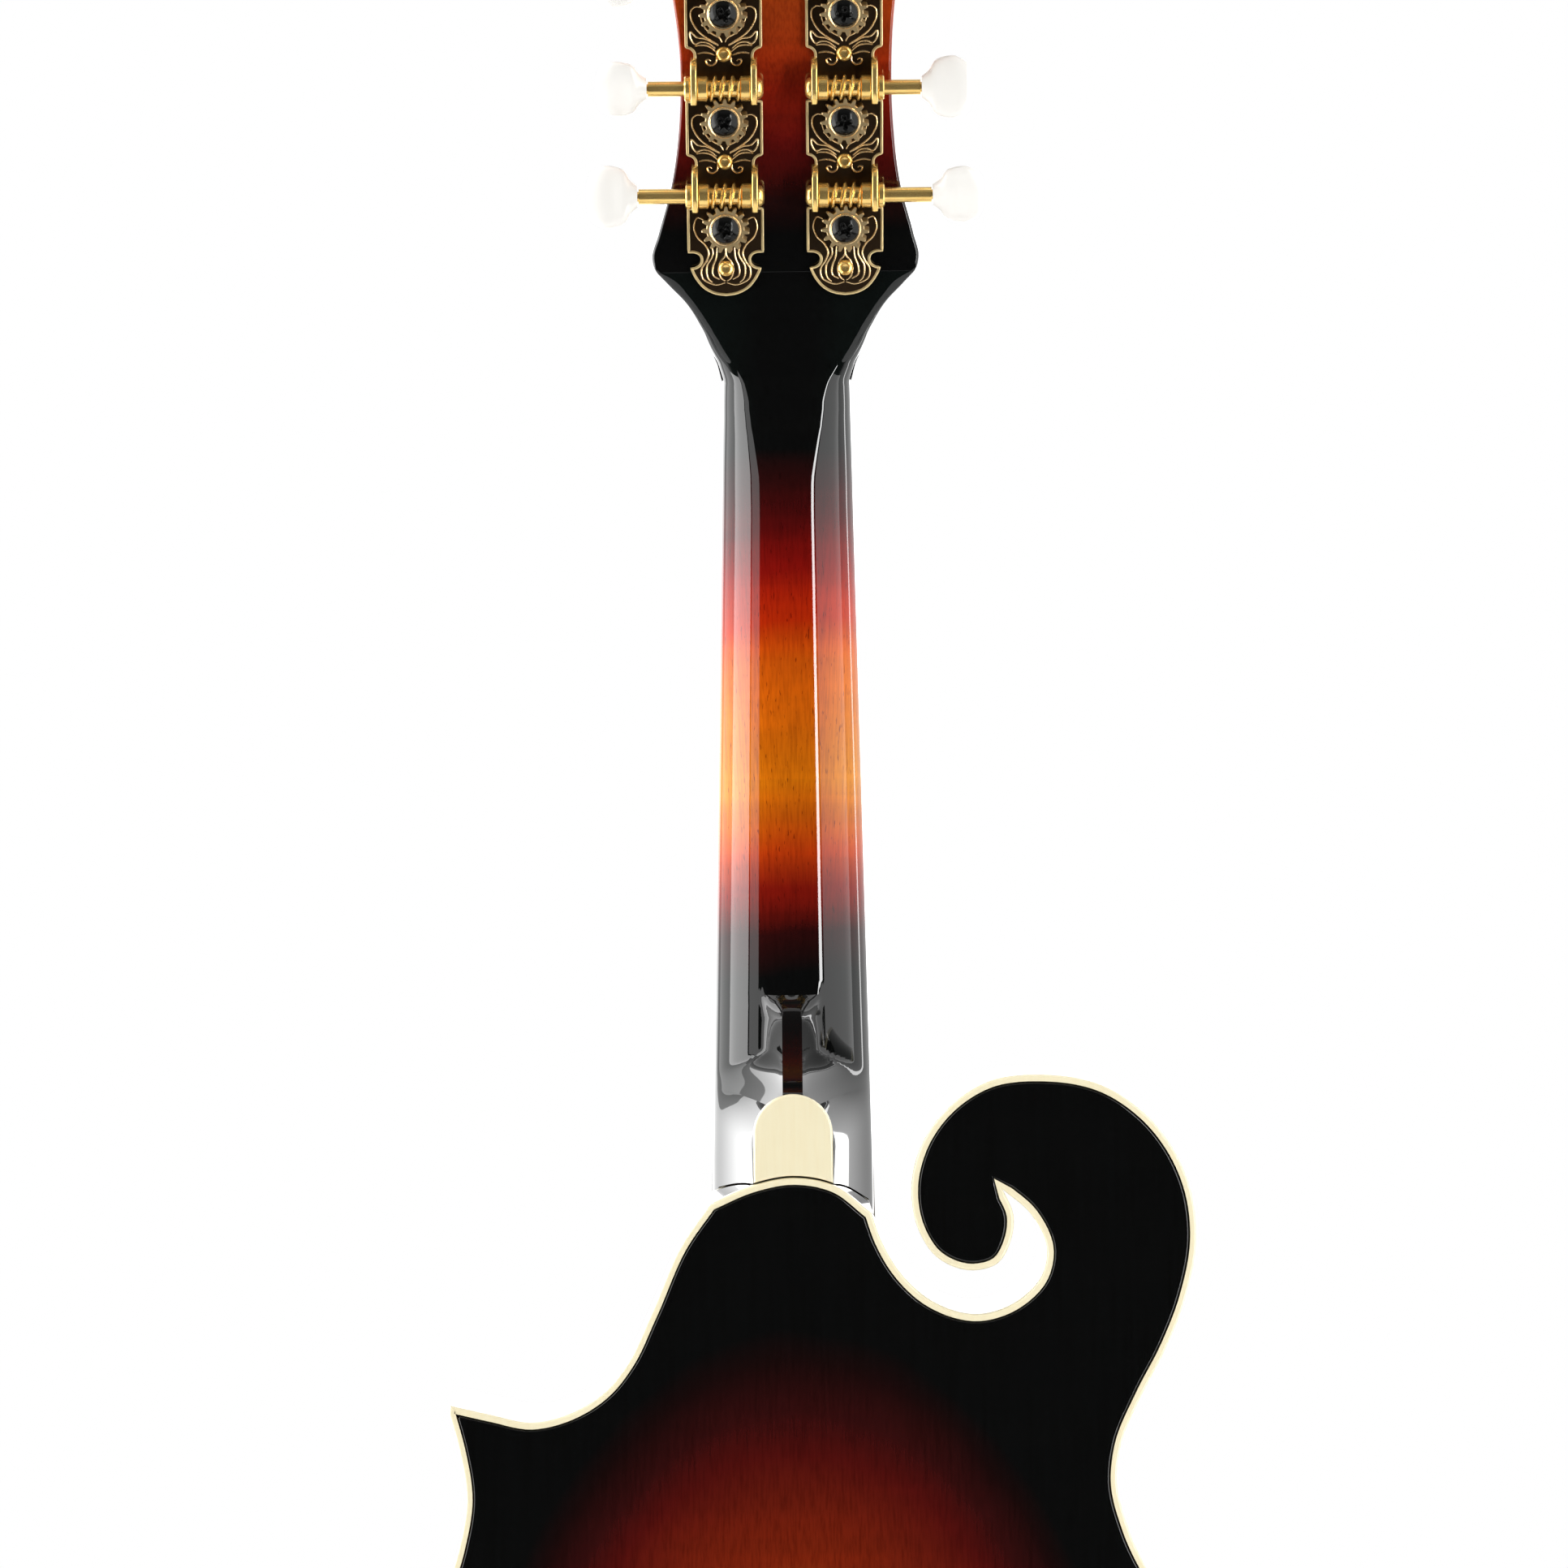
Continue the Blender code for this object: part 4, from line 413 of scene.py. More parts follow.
class Graph:
    """The node tree of one material or world, and the few ways in which it grows.

    Args:
        tree: the node tree.
        shader: the shader node that the surface ends in.
    """

    def __init__(self, tree: bpy.types.NodeTree, shader: bpy.types.Node) -> None:
        self.tree = tree
        self.shader = shader

    def set(self, socket: bpy.types.NodeSocket, value: object) -> None:
        """Give a socket a number, a colour, a vector or a link."""
        if isinstance(value, Value):
            value = value.socket
        if isinstance(value, bpy.types.NodeSocket):
            self.tree.links.new(value, socket)
        elif isinstance(value, tuple) and socket.type == "RGBA" and len(value) == 3:
            socket.default_value = (*value, 1.0)
        else:
            socket.default_value = value

    def node(self, kind: str, settings: dict | None = None, inputs: dict | None = None) -> bpy.types.Node:
        """Add one node.

        Args:
            kind: the node's type.
            settings: attributes to set first; stops gives a ramp's places and colours.
            inputs: what each input, by name or number, is given.

        Returns:
            bpy.types.Node: the node.
        """
        node = self.tree.nodes.new(kind)
        for name, value in (settings or {}).items():
            if name == "stops":
                elements = node.color_ramp.elements
                while len(elements) < len(value):
                    elements.new(1.0)
                for element, (place, colour) in zip(elements, value):
                    element.position = place
                    element.color = (*colour, 1.0)
            else:
                setattr(node, name, value)
        for name, value in (inputs or {}).items():
            self.set(node.inputs[name], value)
        return node

    def math(self, operation: str, *numbers: Value | float) -> Value:
        """One Math node on the numbers, in their order."""
        node = self.node("ShaderNodeMath", {"operation": operation}, dict(enumerate(numbers)))
        return Value(self, node.outputs[0])

    def place(self, source: str = "Object") -> bpy.types.NodeSocket:
        """The surface's own coordinates."""
        return self.node("ShaderNodeTexCoord").outputs[source]

    def axes(self, vector: bpy.types.NodeSocket) -> list[Value]:
        """The three parts of a vector."""
        node = self.node("ShaderNodeSeparateXYZ", {}, {0: vector})
        return [Value(self, output) for output in node.outputs]

    def noise(self, scale: float | tuple, detail: float = 3.0, roughness: float = 0.5,
              distortion: float = 0.0, vector: bpy.types.NodeSocket | None = None) -> Value:
        """Soft noise, near 0.5 on average; three scales in a tuple stretch it along the axes."""
        vector = vector or self.place()
        if isinstance(scale, tuple):
            vector = self.node("ShaderNodeVectorMath", {"operation": "MULTIPLY"},
                               {0: vector, 1: scale}).outputs[0]
            scale = 1.0
        node = self.node("ShaderNodeTexNoise", {}, {
            "Vector": vector, "Scale": scale, "Detail": detail, "Roughness": roughness,
            "Distortion": distortion})
        return Value(self, node.outputs["Fac"])

    def cells(self, vector: bpy.types.NodeSocket, scale: float, feature: str = "F1") -> Value:
        """Distance inside a pattern of cells."""
        node = self.node("ShaderNodeTexVoronoi", {"feature": feature}, {"Vector": vector, "Scale": scale})
        return Value(self, node.outputs["Distance"])

    def mix(self, factor: Value | float, first: object, second: object,
            how: str = "MIX") -> bpy.types.NodeSocket:
        """Mix two colours."""
        node = self.node("ShaderNodeMix", {"data_type": "RGBA", "blend_type": how, "clamp_factor": True},
                         {0: factor, 6: first, 7: second})
        return node.outputs[2]

    def bump(self, height: Value, distance: float, strength: float = 1.0) -> bpy.types.NodeSocket:
        """Normal that follows a height, which is 1 at a distance in metres."""
        return self.node("ShaderNodeBump", {}, {"Height": height, "Distance": distance,
                                                "Strength": strength}).outputs[0]

    def surface(self, **inputs: object) -> None:
        """Set the sockets of the Principled shader; an underscore in a name stands for a space."""
        for name, value in inputs.items():
            self.set(self.shader.inputs[name.replace("_", " ")], value)


def material_graph(name: str) -> tuple[bpy.types.Material, Graph]:
    """A new material and its graph."""
    material = bpy.data.materials.new(name)
    material.use_nodes = True
    return material, Graph(material.node_tree, material.node_tree.nodes["Principled BSDF"])


Colour = tuple[float, float, float]


@dataclass(frozen=True)
class Finish:
    """A finish: its name, the record's slot that it stands for, and how its nodes are laid."""

    name: str
    slot: str

    def lay(self, graph: Graph) -> None:
        """Lay the finish's nodes."""
        raise NotImplementedError

    def material(self) -> bpy.types.Material:
        """The finish as a material, made once."""
        found = bpy.data.materials.get(self.name)
        if found is None:
            found, graph = material_graph(self.name)
            self.lay(graph)
        return found


class Burst(Enum):
    """Where a sunburst runs from its dark edge to its light middle."""

    BACK = "ellipse on the back plate"
    TOP = "ellipse on the top plate"
    SIDES = "down the sides"
    NECK = "along the neck"
    HEAD = "up the headstock"


@dataclass(frozen=True)
class Lacquer(Finish):
    """Sunburst maple or spruce under clear lacquer.

    The burst picks a colour from the stops; grain lines run along Z, curl runs across it, and pale specks
    are dust on the lacquer. The flank sheen lightens and pales the sides of a neck: a painted highlight.
    """

    burst: Burst = Burst.BACK
    stops: tuple = ()
    grain: float = 0.3
    grain_pitch: float = 0.0006
    curl: float = 0.0
    flecks: float = 0.0
    flank_sheen: float = 0.0
    coat: float = 1.0

    def share(self, graph: Graph) -> Value:
        """How far the burst has run at each place, from 0 at its dark edge to 1."""
        x, y, z = graph.axes(graph.place())
        if self.burst is Burst.SIDES:
            return (z * -1 - 0.16).ease(0.0, 0.26)
        if self.burst is Burst.NECK:
            return (z * -1 + 0.02) / 0.20
        if self.burst is Burst.HEAD:
            return (z - 0.02) / 0.10
        half_width, half_height = (0.083, 0.147) if self.burst is Burst.BACK else (0.112, 0.165)
        across = x / half_width
        down = (z + 0.376) / half_height
        return 1 - (across * across + down * down) ** 0.5

    def lay(self, graph: Graph) -> None:
        """Colour from the burst, darkened by grain and curl, under a clear coat."""
        share = self.share(graph)
        wander = graph.noise(14.0) - 0.5
        colour = graph.node("ShaderNodeValToRGB", {"stops": self.stops},
                            {0: (share + wander * 0.10).math("MAXIMUM", 0.0)}).outputs[0]
        fine = 1 / self.grain_pitch
        streaks = graph.noise((fine, fine, 0.02 / self.grain_pitch), 4.0, 0.6).ease(0.35, 0.75)
        colour = graph.mix(streaks * self.grain, colour, (0.25, 0.12, 0.06), "MULTIPLY")
        if self.curl:
            bands = graph.noise((12.0, 12.0, 150.0), 2.0, 0.5, 0.6).ease(0.35, 0.68)
            colour = graph.mix(bands * self.curl, colour, (1.9, 1.7, 1.5), "MULTIPLY")
        if self.flecks:
            marks = graph.noise((2400.0, 2400.0, 380.0), 1.0).ease(0.66, 0.74)
            colour = graph.mix(marks * self.flecks, colour, (0.30, 0.18, 0.12), "MULTIPLY")
        # Painted highlight: the neck's sides are made lighter and paler, standing in for the lamps' sheen on its
        # flanks.
        if self.flank_sheen:
            side = graph.axes(graph.place())[0].math("ABSOLUTE").ease(0.005, 0.016)
            colour = graph.mix(side * self.flank_sheen, colour, (1.35, 2.0, 1.8), "MULTIPLY")
        dust = 1 - graph.cells(graph.place(), 95.0).ease(0.010, 0.022)
        patches = graph.noise(21.0, 1.0).ease(0.60, 0.72)
        colour = graph.mix(dust * patches * 0.55, colour, (0.55, 0.45, 0.42))
        waves = graph.noise(55.0, 2.0)
        graph.surface(Base_Color=colour, Roughness=0.5, Specular_IOR_Level=0.0, Coat_Weight=self.coat,
                      Coat_Roughness=0.03, Normal=graph.bump(waves, 0.00012, 0.35))


@dataclass(frozen=True)
class Metal(Finish):
    """Plated or bare metal with a soft change of polish, tiny pits and a darker patina."""

    colour: Colour = (0.8, 0.6, 0.3)
    tarnish: Colour = (0.3, 0.2, 0.1)
    tarnish_share: float = 0.3
    roughness: float = 0.2
    pits: float = 0.00002

    def lay(self, graph: Graph) -> None:
        """Metal colour mixed with its tarnish by noise; roughness follows the same noise."""
        cloud = graph.noise(420.0, 4.0, 0.6).ease(0.35, 0.75)
        colour = graph.mix(cloud * self.tarnish_share, self.colour, self.tarnish)
        grit = graph.noise(3200.0)
        graph.surface(Base_Color=colour, Metallic=0.84, Roughness=self.roughness + cloud * 0.10,
                      Normal=graph.bump(grit, self.pits, 0.6))


@dataclass(frozen=True)
class Plastic(Finish):
    """Ivory-like binding or bone: faint straight grain in a warm body colour."""

    colour: Colour = (0.86, 0.78, 0.60)
    shade: Colour = (0.74, 0.63, 0.42)
    roughness: float = 0.25

    def lay(self, graph: Graph) -> None:
        """Body colour streaked with a deeper shade, under a thin coat."""
        streaks = graph.noise((900.0, 900.0, 60.0)).ease(0.3, 0.8)
        blotches = graph.noise(70.0, 2.0)
        colour = graph.mix(streaks * 0.35 + blotches * 0.25, self.colour, self.shade)
        graph.surface(Base_Color=colour, Roughness=self.roughness, Coat_Weight=0.5, Coat_Roughness=0.08,
                      Normal=graph.bump(streaks, 0.00002))


@dataclass(frozen=True)
class Pearl(Finish):
    """Pearloid or shell: curled flakes of cream, white and grey, each with its own shine."""

    pale: Colour = (0.93, 0.91, 0.86)
    deep: Colour = (0.66, 0.64, 0.60)
    scale: float = 260.0

    def lay(self, graph: Graph) -> None:
        """Cells bent by noise pick the shade of each flake; their edges glint."""
        where = graph.place()
        bend = graph.node("ShaderNodeTexNoise", {},
                          {"Vector": where, "Scale": self.scale * 0.7, "Detail": 3.0})
        bent = graph.node("ShaderNodeVectorMath", {"operation": "MULTIPLY_ADD"},
                          {0: bend.outputs["Color"], 1: (0.006, 0.006, 0.006), 2: where}).outputs[0]
        flakes = graph.cells(bent, self.scale, "SMOOTH_F1").ease(0.15, 0.75)
        veins = graph.noise(self.scale * 1.6, 4.0, 0.65, 1.2, bent).ease(0.40, 0.66)
        colour = graph.mix(flakes * 0.45 + veins * 0.30, self.pale, self.deep)
        graph.surface(Base_Color=colour, Roughness=0.22 + veins * 0.12, Coat_Weight=0.8, Coat_Roughness=0.04,
                      Specular_IOR_Level=0.6)


@dataclass(frozen=True)
class DarkWood(Finish):
    """Ebony or rosewood: near-black wood with fine open pores along the grain."""

    colour: Colour = (0.022, 0.017, 0.014)
    streak: Colour = (0.060, 0.040, 0.028)
    roughness: float = 0.42

    def lay(self, graph: Graph) -> None:
        """Long streaks of a lighter brown, with short dark pores that also sink the surface."""
        long = graph.noise((900.0, 900.0, 25.0), 4.0, 0.6).ease(0.35, 0.8)
        pores = graph.noise((4200.0, 4200.0, 420.0), 1.0).ease(0.62, 0.72)
        colour = graph.mix(long * 0.8, self.colour, self.streak)
        colour = graph.mix(pores * 0.7, colour, (0.006, 0.005, 0.004))
        graph.surface(Base_Color=colour, Roughness=self.roughness + long * 0.08,
                      Normal=graph.bump(1 - pores, 0.00004))


@dataclass(frozen=True)
class BareWood(Finish):
    """Unfinished inner wood with soft grain."""

    colour: Colour = (0.62, 0.46, 0.28)
    shade: Colour = (0.45, 0.30, 0.16)

    def lay(self, graph: Graph) -> None:
        """Straight grain lines between two browns."""
        lines = graph.noise((1200.0, 1200.0, 20.0)).ease(0.35, 0.7)
        graph.surface(Base_Color=graph.mix(lines, self.colour, self.shade), Roughness=0.75,
                      Normal=graph.bump(lines, 0.00008))


@dataclass(frozen=True)
class Winding(Finish):
    """Round wire wound on a string: ridges across the string, from the string's own length map."""

    colour: Colour = (0.62, 0.38, 0.20)
    pitch: float = 0.00030

    def lay(self, graph: Graph) -> None:
        """Ridge height is the absolute sine of the distance along the string over the wire's pitch."""
        along = graph.axes(graph.place("UV"))[0]
        ridge = (along * (math.pi / self.pitch)).math("SINE").math("ABSOLUTE")
        cloud = graph.noise(300.0)
        colour = graph.mix(cloud * 0.5, self.colour, (0.30, 0.17, 0.08))
        # Painted shade: the grooves between the wire's turns are darkened towards near black.
        colour = graph.mix(ridge.ease(0.45, 0.0) * 0.8, colour, (0.06, 0.03, 0.015))
        graph.surface(Base_Color=colour, Metallic=1.0, Roughness=0.30,
                      Normal=graph.bump(ridge, self.pitch * 0.45))


BLACK = (0.0022, 0.0024, 0.0024)
BACK_LACQUER = Lacquer("back_lacquer", "lacquered_back", Burst.BACK, (
    (0.0, BLACK), (0.05, (0.008, 0.002, 0.002)), (0.13, (0.028, 0.003, 0.003)), (0.20, (0.070, 0.004, 0.003)),
    (0.38, (0.165, 0.014, 0.003)), (0.60, (0.36, 0.07, 0.007)), (1.0, (0.60, 0.22, 0.02))),
    0.45, 0.0006, 0.10)
SIDE_LACQUER = Lacquer("side_lacquer", "lacquered_sides", Burst.SIDES, (
    (0.0, BLACK), (0.35, (0.030, 0.004, 0.003)), (0.75, (0.13, 0.016, 0.006)), (1.0, (0.22, 0.045, 0.010))),
    0.35, 0.0006, 0.55)
NECK_LACQUER = Lacquer("neck_lacquer", "lacquered_neck", Burst.NECK, (
    (0.0, BLACK), (0.20, BLACK), (0.25, (0.022, 0.002, 0.002)), (0.30, (0.065, 0.002, 0.002)),
    (0.35, (0.20, 0.004, 0.002)), (0.41, (0.38, 0.018, 0.001)), (0.46, (0.49, 0.075, 0.002)),
    (0.60, (0.52, 0.130, 0.002)), (0.69, (0.37, 0.032, 0.002)), (0.73, (0.18, 0.006, 0.002)),
    (0.78, (0.020, 0.002, 0.002)), (0.83, BLACK), (1.0, BLACK)), 0.40, 0.0005, 0.15, 0.75, flank_sheen=0.8)
HEAD_LACQUER = Lacquer("head_lacquer", "lacquered_neck", Burst.HEAD, (
    (0.0, BLACK), (0.12, BLACK), (0.20, (0.014, 0.003, 0.003)), (0.34, (0.095, 0.004, 0.003)),
    (0.46, (0.220, 0.012, 0.003)), (0.60, (0.34, 0.040, 0.005)), (1.0, (0.44, 0.095, 0.010))),
    0.40, 0.0005, 0.30)
TOP_LACQUER = Lacquer("top_lacquer", "spruce_top", Burst.TOP, (
    (0.0, BLACK), (0.10, (0.05, 0.006, 0.003)), (0.25, (0.24, 0.032, 0.006)), (0.42, (0.46, 0.13, 0.012)),
    (0.65, (0.66, 0.30, 0.035)), (1.0, (0.76, 0.43, 0.07))), 0.55, 0.0009, coat=0.55)
IVORY = Plastic("ivory", "ivory_binding", (0.86, 0.79, 0.56), (0.82, 0.71, 0.45), 0.22)
BONE = Plastic("bone", "bone", (0.84, 0.79, 0.66), (0.72, 0.64, 0.48), 0.35)
PEARLOID = Pearl("pearloid", "pearloid", (0.90, 0.81, 0.70), (0.78, 0.64, 0.50))
SHELL = Pearl("shell_inlay", "pearloid", (0.82, 0.84, 0.80), (0.42, 0.50, 0.50), 420.0)
EBONY = DarkWood("ebony", "ebony")
BOARD = DarkWood("rosewood_board", "fingerboard", (0.040, 0.022, 0.015), (0.095, 0.050, 0.030), 0.48)
INNER_WOOD = BareWood("inner_wood", "bare_wood")
GOLD = Metal("gold_plate", "gold_metal", (1.0, 0.70, 0.24), (0.80, 0.46, 0.12), 0.30, 0.17, 0.000008)
EDGE_GOLD = Metal("edge_gold", "gold_metal", (1.0, 0.78, 0.40), (0.85, 0.58, 0.24), 0.30, 0.34)
LINE_GOLD = Metal("line_gold", "gold_metal", (0.86, 0.62, 0.32), (0.45, 0.24, 0.08), 0.45, 0.22)
GEAR_BRASS = Metal("gear_brass", "antique_metal", (0.56, 0.42, 0.22), (0.30, 0.20, 0.09), 0.50, 0.40)
GROUND = Metal("engraved_ground", "engraved_metal", (0.060, 0.036, 0.018), (0.030, 0.016, 0.008), 0.6, 0.28)
BLACK_STEEL = Metal("black_screw", "steel", (0.020, 0.020, 0.019), (0.009, 0.009, 0.009), 0.3, 0.12)
STEEL = Metal("steel", "steel", (0.60, 0.60, 0.58), (0.38, 0.37, 0.35), 0.3, 0.22)
FRET_STEEL = Metal("fret_steel", "steel", (0.72, 0.71, 0.68), (0.50, 0.48, 0.44), 0.2, 0.16)
PLAIN_STRING = Metal("plain_string", "plain_string", (0.70, 0.70, 0.68), (0.48, 0.46, 0.42), 0.2, 0.18)
WOUND_STRING = Winding("wound_string", "wound_string")


def dressed(name: str, parts: list[tuple[Shell, Finish]], place: Matrix, body: str = "root",
            smooth: float = 40.0) -> None:
    """One piece of the object: its mesh, finishes, body and the CAD node that it stands for.

    Args:
        name: the name of the piece and of the CAD node that it replaces.
        parts: each shell of the piece and its finish.
        place: where the shells stand.
        body: the CAD body that the piece rides on.
        smooth: edges flatter than this angle in degrees are shaded smooth.
    """
    shells = [shell.placed(place) for shell, _ in parts]
    finishes = list(dict.fromkeys(finish for _, finish in parts))
    whole = united(shells)
    mesh = bpy.data.meshes.new(name)
    quads, triangles = whole.quads, whole.triangles
    mesh.vertices.add(len(whole.vertices))
    mesh.vertices.foreach_set("co", whole.vertices.astype(np.float32).ravel())
    corners = np.concatenate([quads.ravel(), triangles.ravel()]).astype(np.int32)
    starts = np.concatenate([np.arange(len(quads)) * 4, len(quads) * 4 + np.arange(len(triangles)) * 3])
    mesh.loops.add(len(corners))
    mesh.loops.foreach_set("vertex_index", corners)
    mesh.polygons.add(len(starts))
    mesh.polygons.foreach_set("loop_start", starts.astype(np.int32))
    numbers = [finishes.index(finish) for _, finish in parts]
    slots = np.concatenate([np.repeat(numbers, [len(s.quads) for s in shells]),
                            np.repeat(numbers, [len(s.triangles) for s in shells])])
    for finish in finishes:
        mesh.materials.append(finish.material())
    mesh.update(calc_edges=True)
    mesh.polygons.foreach_set("material_index", slots.astype(np.int32))
    if whole.uv is not None:
        layer = mesh.uv_layers.new(name="length")
        layer.data.foreach_set("uv", whole.uv[corners].astype(np.float32).ravel())
    tidied(mesh)
    mesh.shade_smooth()
    mesh.set_sharp_from_angle(angle=math.radians(smooth))
    piece = bpy.data.objects.new(name, mesh)
    bpy.context.scene.collection.objects.link(piece)
    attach(piece, body)
    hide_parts(name)
    log.info("%s: %d faces on %s", name, len(starts), body)


def tidied(mesh: bpy.types.Mesh, merge: float = 1e-7) -> None:
    """Weld touching seams of a new mesh and turn the faces of its closed shells outwards."""
    work = bmesh.new()
    work.from_mesh(mesh)
    bmesh.ops.remove_doubles(work, verts=work.verts, dist=merge)
    bmesh.ops.recalc_face_normals(work, faces=work.faces)
    work.to_mesh(mesh)
    work.free()


def rounded(near: float, far: float, steps: int = 4) -> list[tuple[float, float, float]]:
    """Edge profile of a plate as (inset, share, rise): a thin flat ring and a quarter round at each face."""
    turn = quarter_turn(steps + 1)
    profile = []
    for radius, share, sign in ((near, 0, 1), (far, 1, -1)):
        arc = [(radius * (1 - math.sin(a)), share, sign * radius * (1 - math.cos(a))) for a in turn]
        arc.insert(0, (radius * 1.08, share, 0.0))
        profile += (arc if share == 0 else arc[::-1]) if radius else [(0.0, share, 0.0)]
    return profile


def plate(loop: np.ndarray, near: object, far: object, profile: list | None = None,
          holes: list[np.ndarray] | None = None, interior: np.ndarray | None = None) -> Shell:
    """Closed plate between two heights in Y, with a shaped edge.

    Args:
        loop: the outline in (x, z).
        near: the height of the near face, or a function of the flat points that gives it.
        far: the same for the far face.
        profile: (inset, share from near to far, rise) of each ring of the edge.
        holes: loops cut straight through.
        interior: more points on both faces, for a curved plate.

    Returns:
        Shell: the plate, its seams in the same places.
    """
    profile = profile or rounded(0, 0)
    holes = holes or []
    interior = np.zeros((0, 2)) if interior is None else interior
    heights = [level if callable(level) else (lambda points, level=level: np.full(len(points), level))
               for level in (near, far)]

    def lifted(points: np.ndarray, share: float, rise: float) -> np.ndarray:
        """Flat points at a share of the way from the near to the far face."""
        y = heights[0](points) * (1 - share) + heights[1](points) * share + rise
        return np.column_stack([points[:, 0], y, points[:, 1]])

    normals = inward_normals(loop)
    rings = [loop + normals * inset for inset, _, _ in profile]
    wall = np.array([lifted(ring, share, rise) for ring, (_, share, rise) in zip(rings, profile)])
    shells = [grid_shell(wall, capped=False)]
    for ring, (_, share, rise) in ((rings[0], profile[0]), (rings[-1], profile[-1])):
        flat, faces = filled([ring, *holes], interior)
        shells.append(Shell(lifted(flat, share, rise), triangles=faces))
    for hole in holes:
        shells.append(grid_shell(np.array([lifted(hole, 0, 0), lifted(hole, 1, 0)]), capped=False))
    return united(shells)


def swept(path: np.ndarray, section: np.ndarray, closed: bool = False, scale: np.ndarray | None = None,
          with_uv: bool = False) -> Shell:
    """Section carried along a path.

    At each point the section's first axis lies along tangent x Y, and its second axis across both.

    Args:
        path: the points of the path, in three dimensions.
        section: the (a, b) points of the closed section.
        closed: whether the path's end meets its start.
        scale: the section's size at each point of the path.
        with_uv: whether to store the distance along the path as u.

    Returns:
        Shell: the swept surface, capped unless closed.
    """
    ahead = (np.roll(path, -1, axis=0) - np.roll(path, 1, axis=0)) if closed else np.gradient(path, axis=0)
    tangent = unit(ahead)
    side = unit(np.cross(tangent, (0.0, 1.0, 0.0)))
    high = np.cross(side, tangent)
    size = np.ones(len(path)) if scale is None else scale
    points = (path[:, None] + (side[:, None] * section[None, :, :1] + high[:, None] * section[None, :, 1:])
              * size[:, None, None])
    uv = None
    if with_uv:
        round_it = np.linspace(0, 1, len(section))
        uv = np.stack(np.broadcast_arrays(travelled(path)[:, None], round_it), -1)
    return grid_shell(points, joined=closed, uv=uv)


def round_section(radius: float, count: int = 12, squash: float = 1.0) -> np.ndarray:
    """Circle of points for a section, flattened along its second axis by squash."""
    turn = full_turn(count)
    return np.column_stack([radius * np.cos(turn), radius * squash * np.sin(turn)])


def disc(radius: float, count: int = 32, centre: tuple[float, float] = (0.0, 0.0)) -> np.ndarray:
    """Closed loop round a point."""
    return round_section(radius, count) + centre


def bar(low: tuple, high: tuple, rounding: float) -> Shell:
    """Box between two corners, its edges along Y and round its Y faces rounded."""
    corners = [(high[0], high[2], 1, 1), (low[0], high[2], -1, 1), (low[0], low[2], -1, -1),
               (high[0], low[2], 1, -1)]
    loop = [(x + rounding * (math.cos(a) - right), z + rounding * (math.sin(a) - up))
            for q, (x, z, right, up) in enumerate(corners) for a in quarter_turn(5) + q * math.pi / 2]
    return plate(np.array(loop), low[1], high[1], rounded(rounding / 2, rounding / 2, 3))


def on_axis(shell: Shell, axis: str, place: tuple = (0.0, 0.0, 0.0)) -> Shell:
    """A shell turned round Z laid along another axis, its old +Z along +X or +Y, and moved to a place."""
    turn = Matrix.Rotation(math.pi / 2, 4, "Y") if axis == "X" else Matrix.Rotation(-math.pi / 2, 4, "X")
    return shell.placed(Matrix.Translation(place) @ turn)


def edging(outline: np.ndarray, section: list[tuple[float, float]]) -> Shell:
    """Strip round a closed outline, its closed section given as pairs of inset and height in Y."""
    normals = inward_normals(outline)
    return grid_shell(np.array([np.insert(outline + normals * inset, 1, y, axis=1) for inset, y in section]),
                      joined=True)


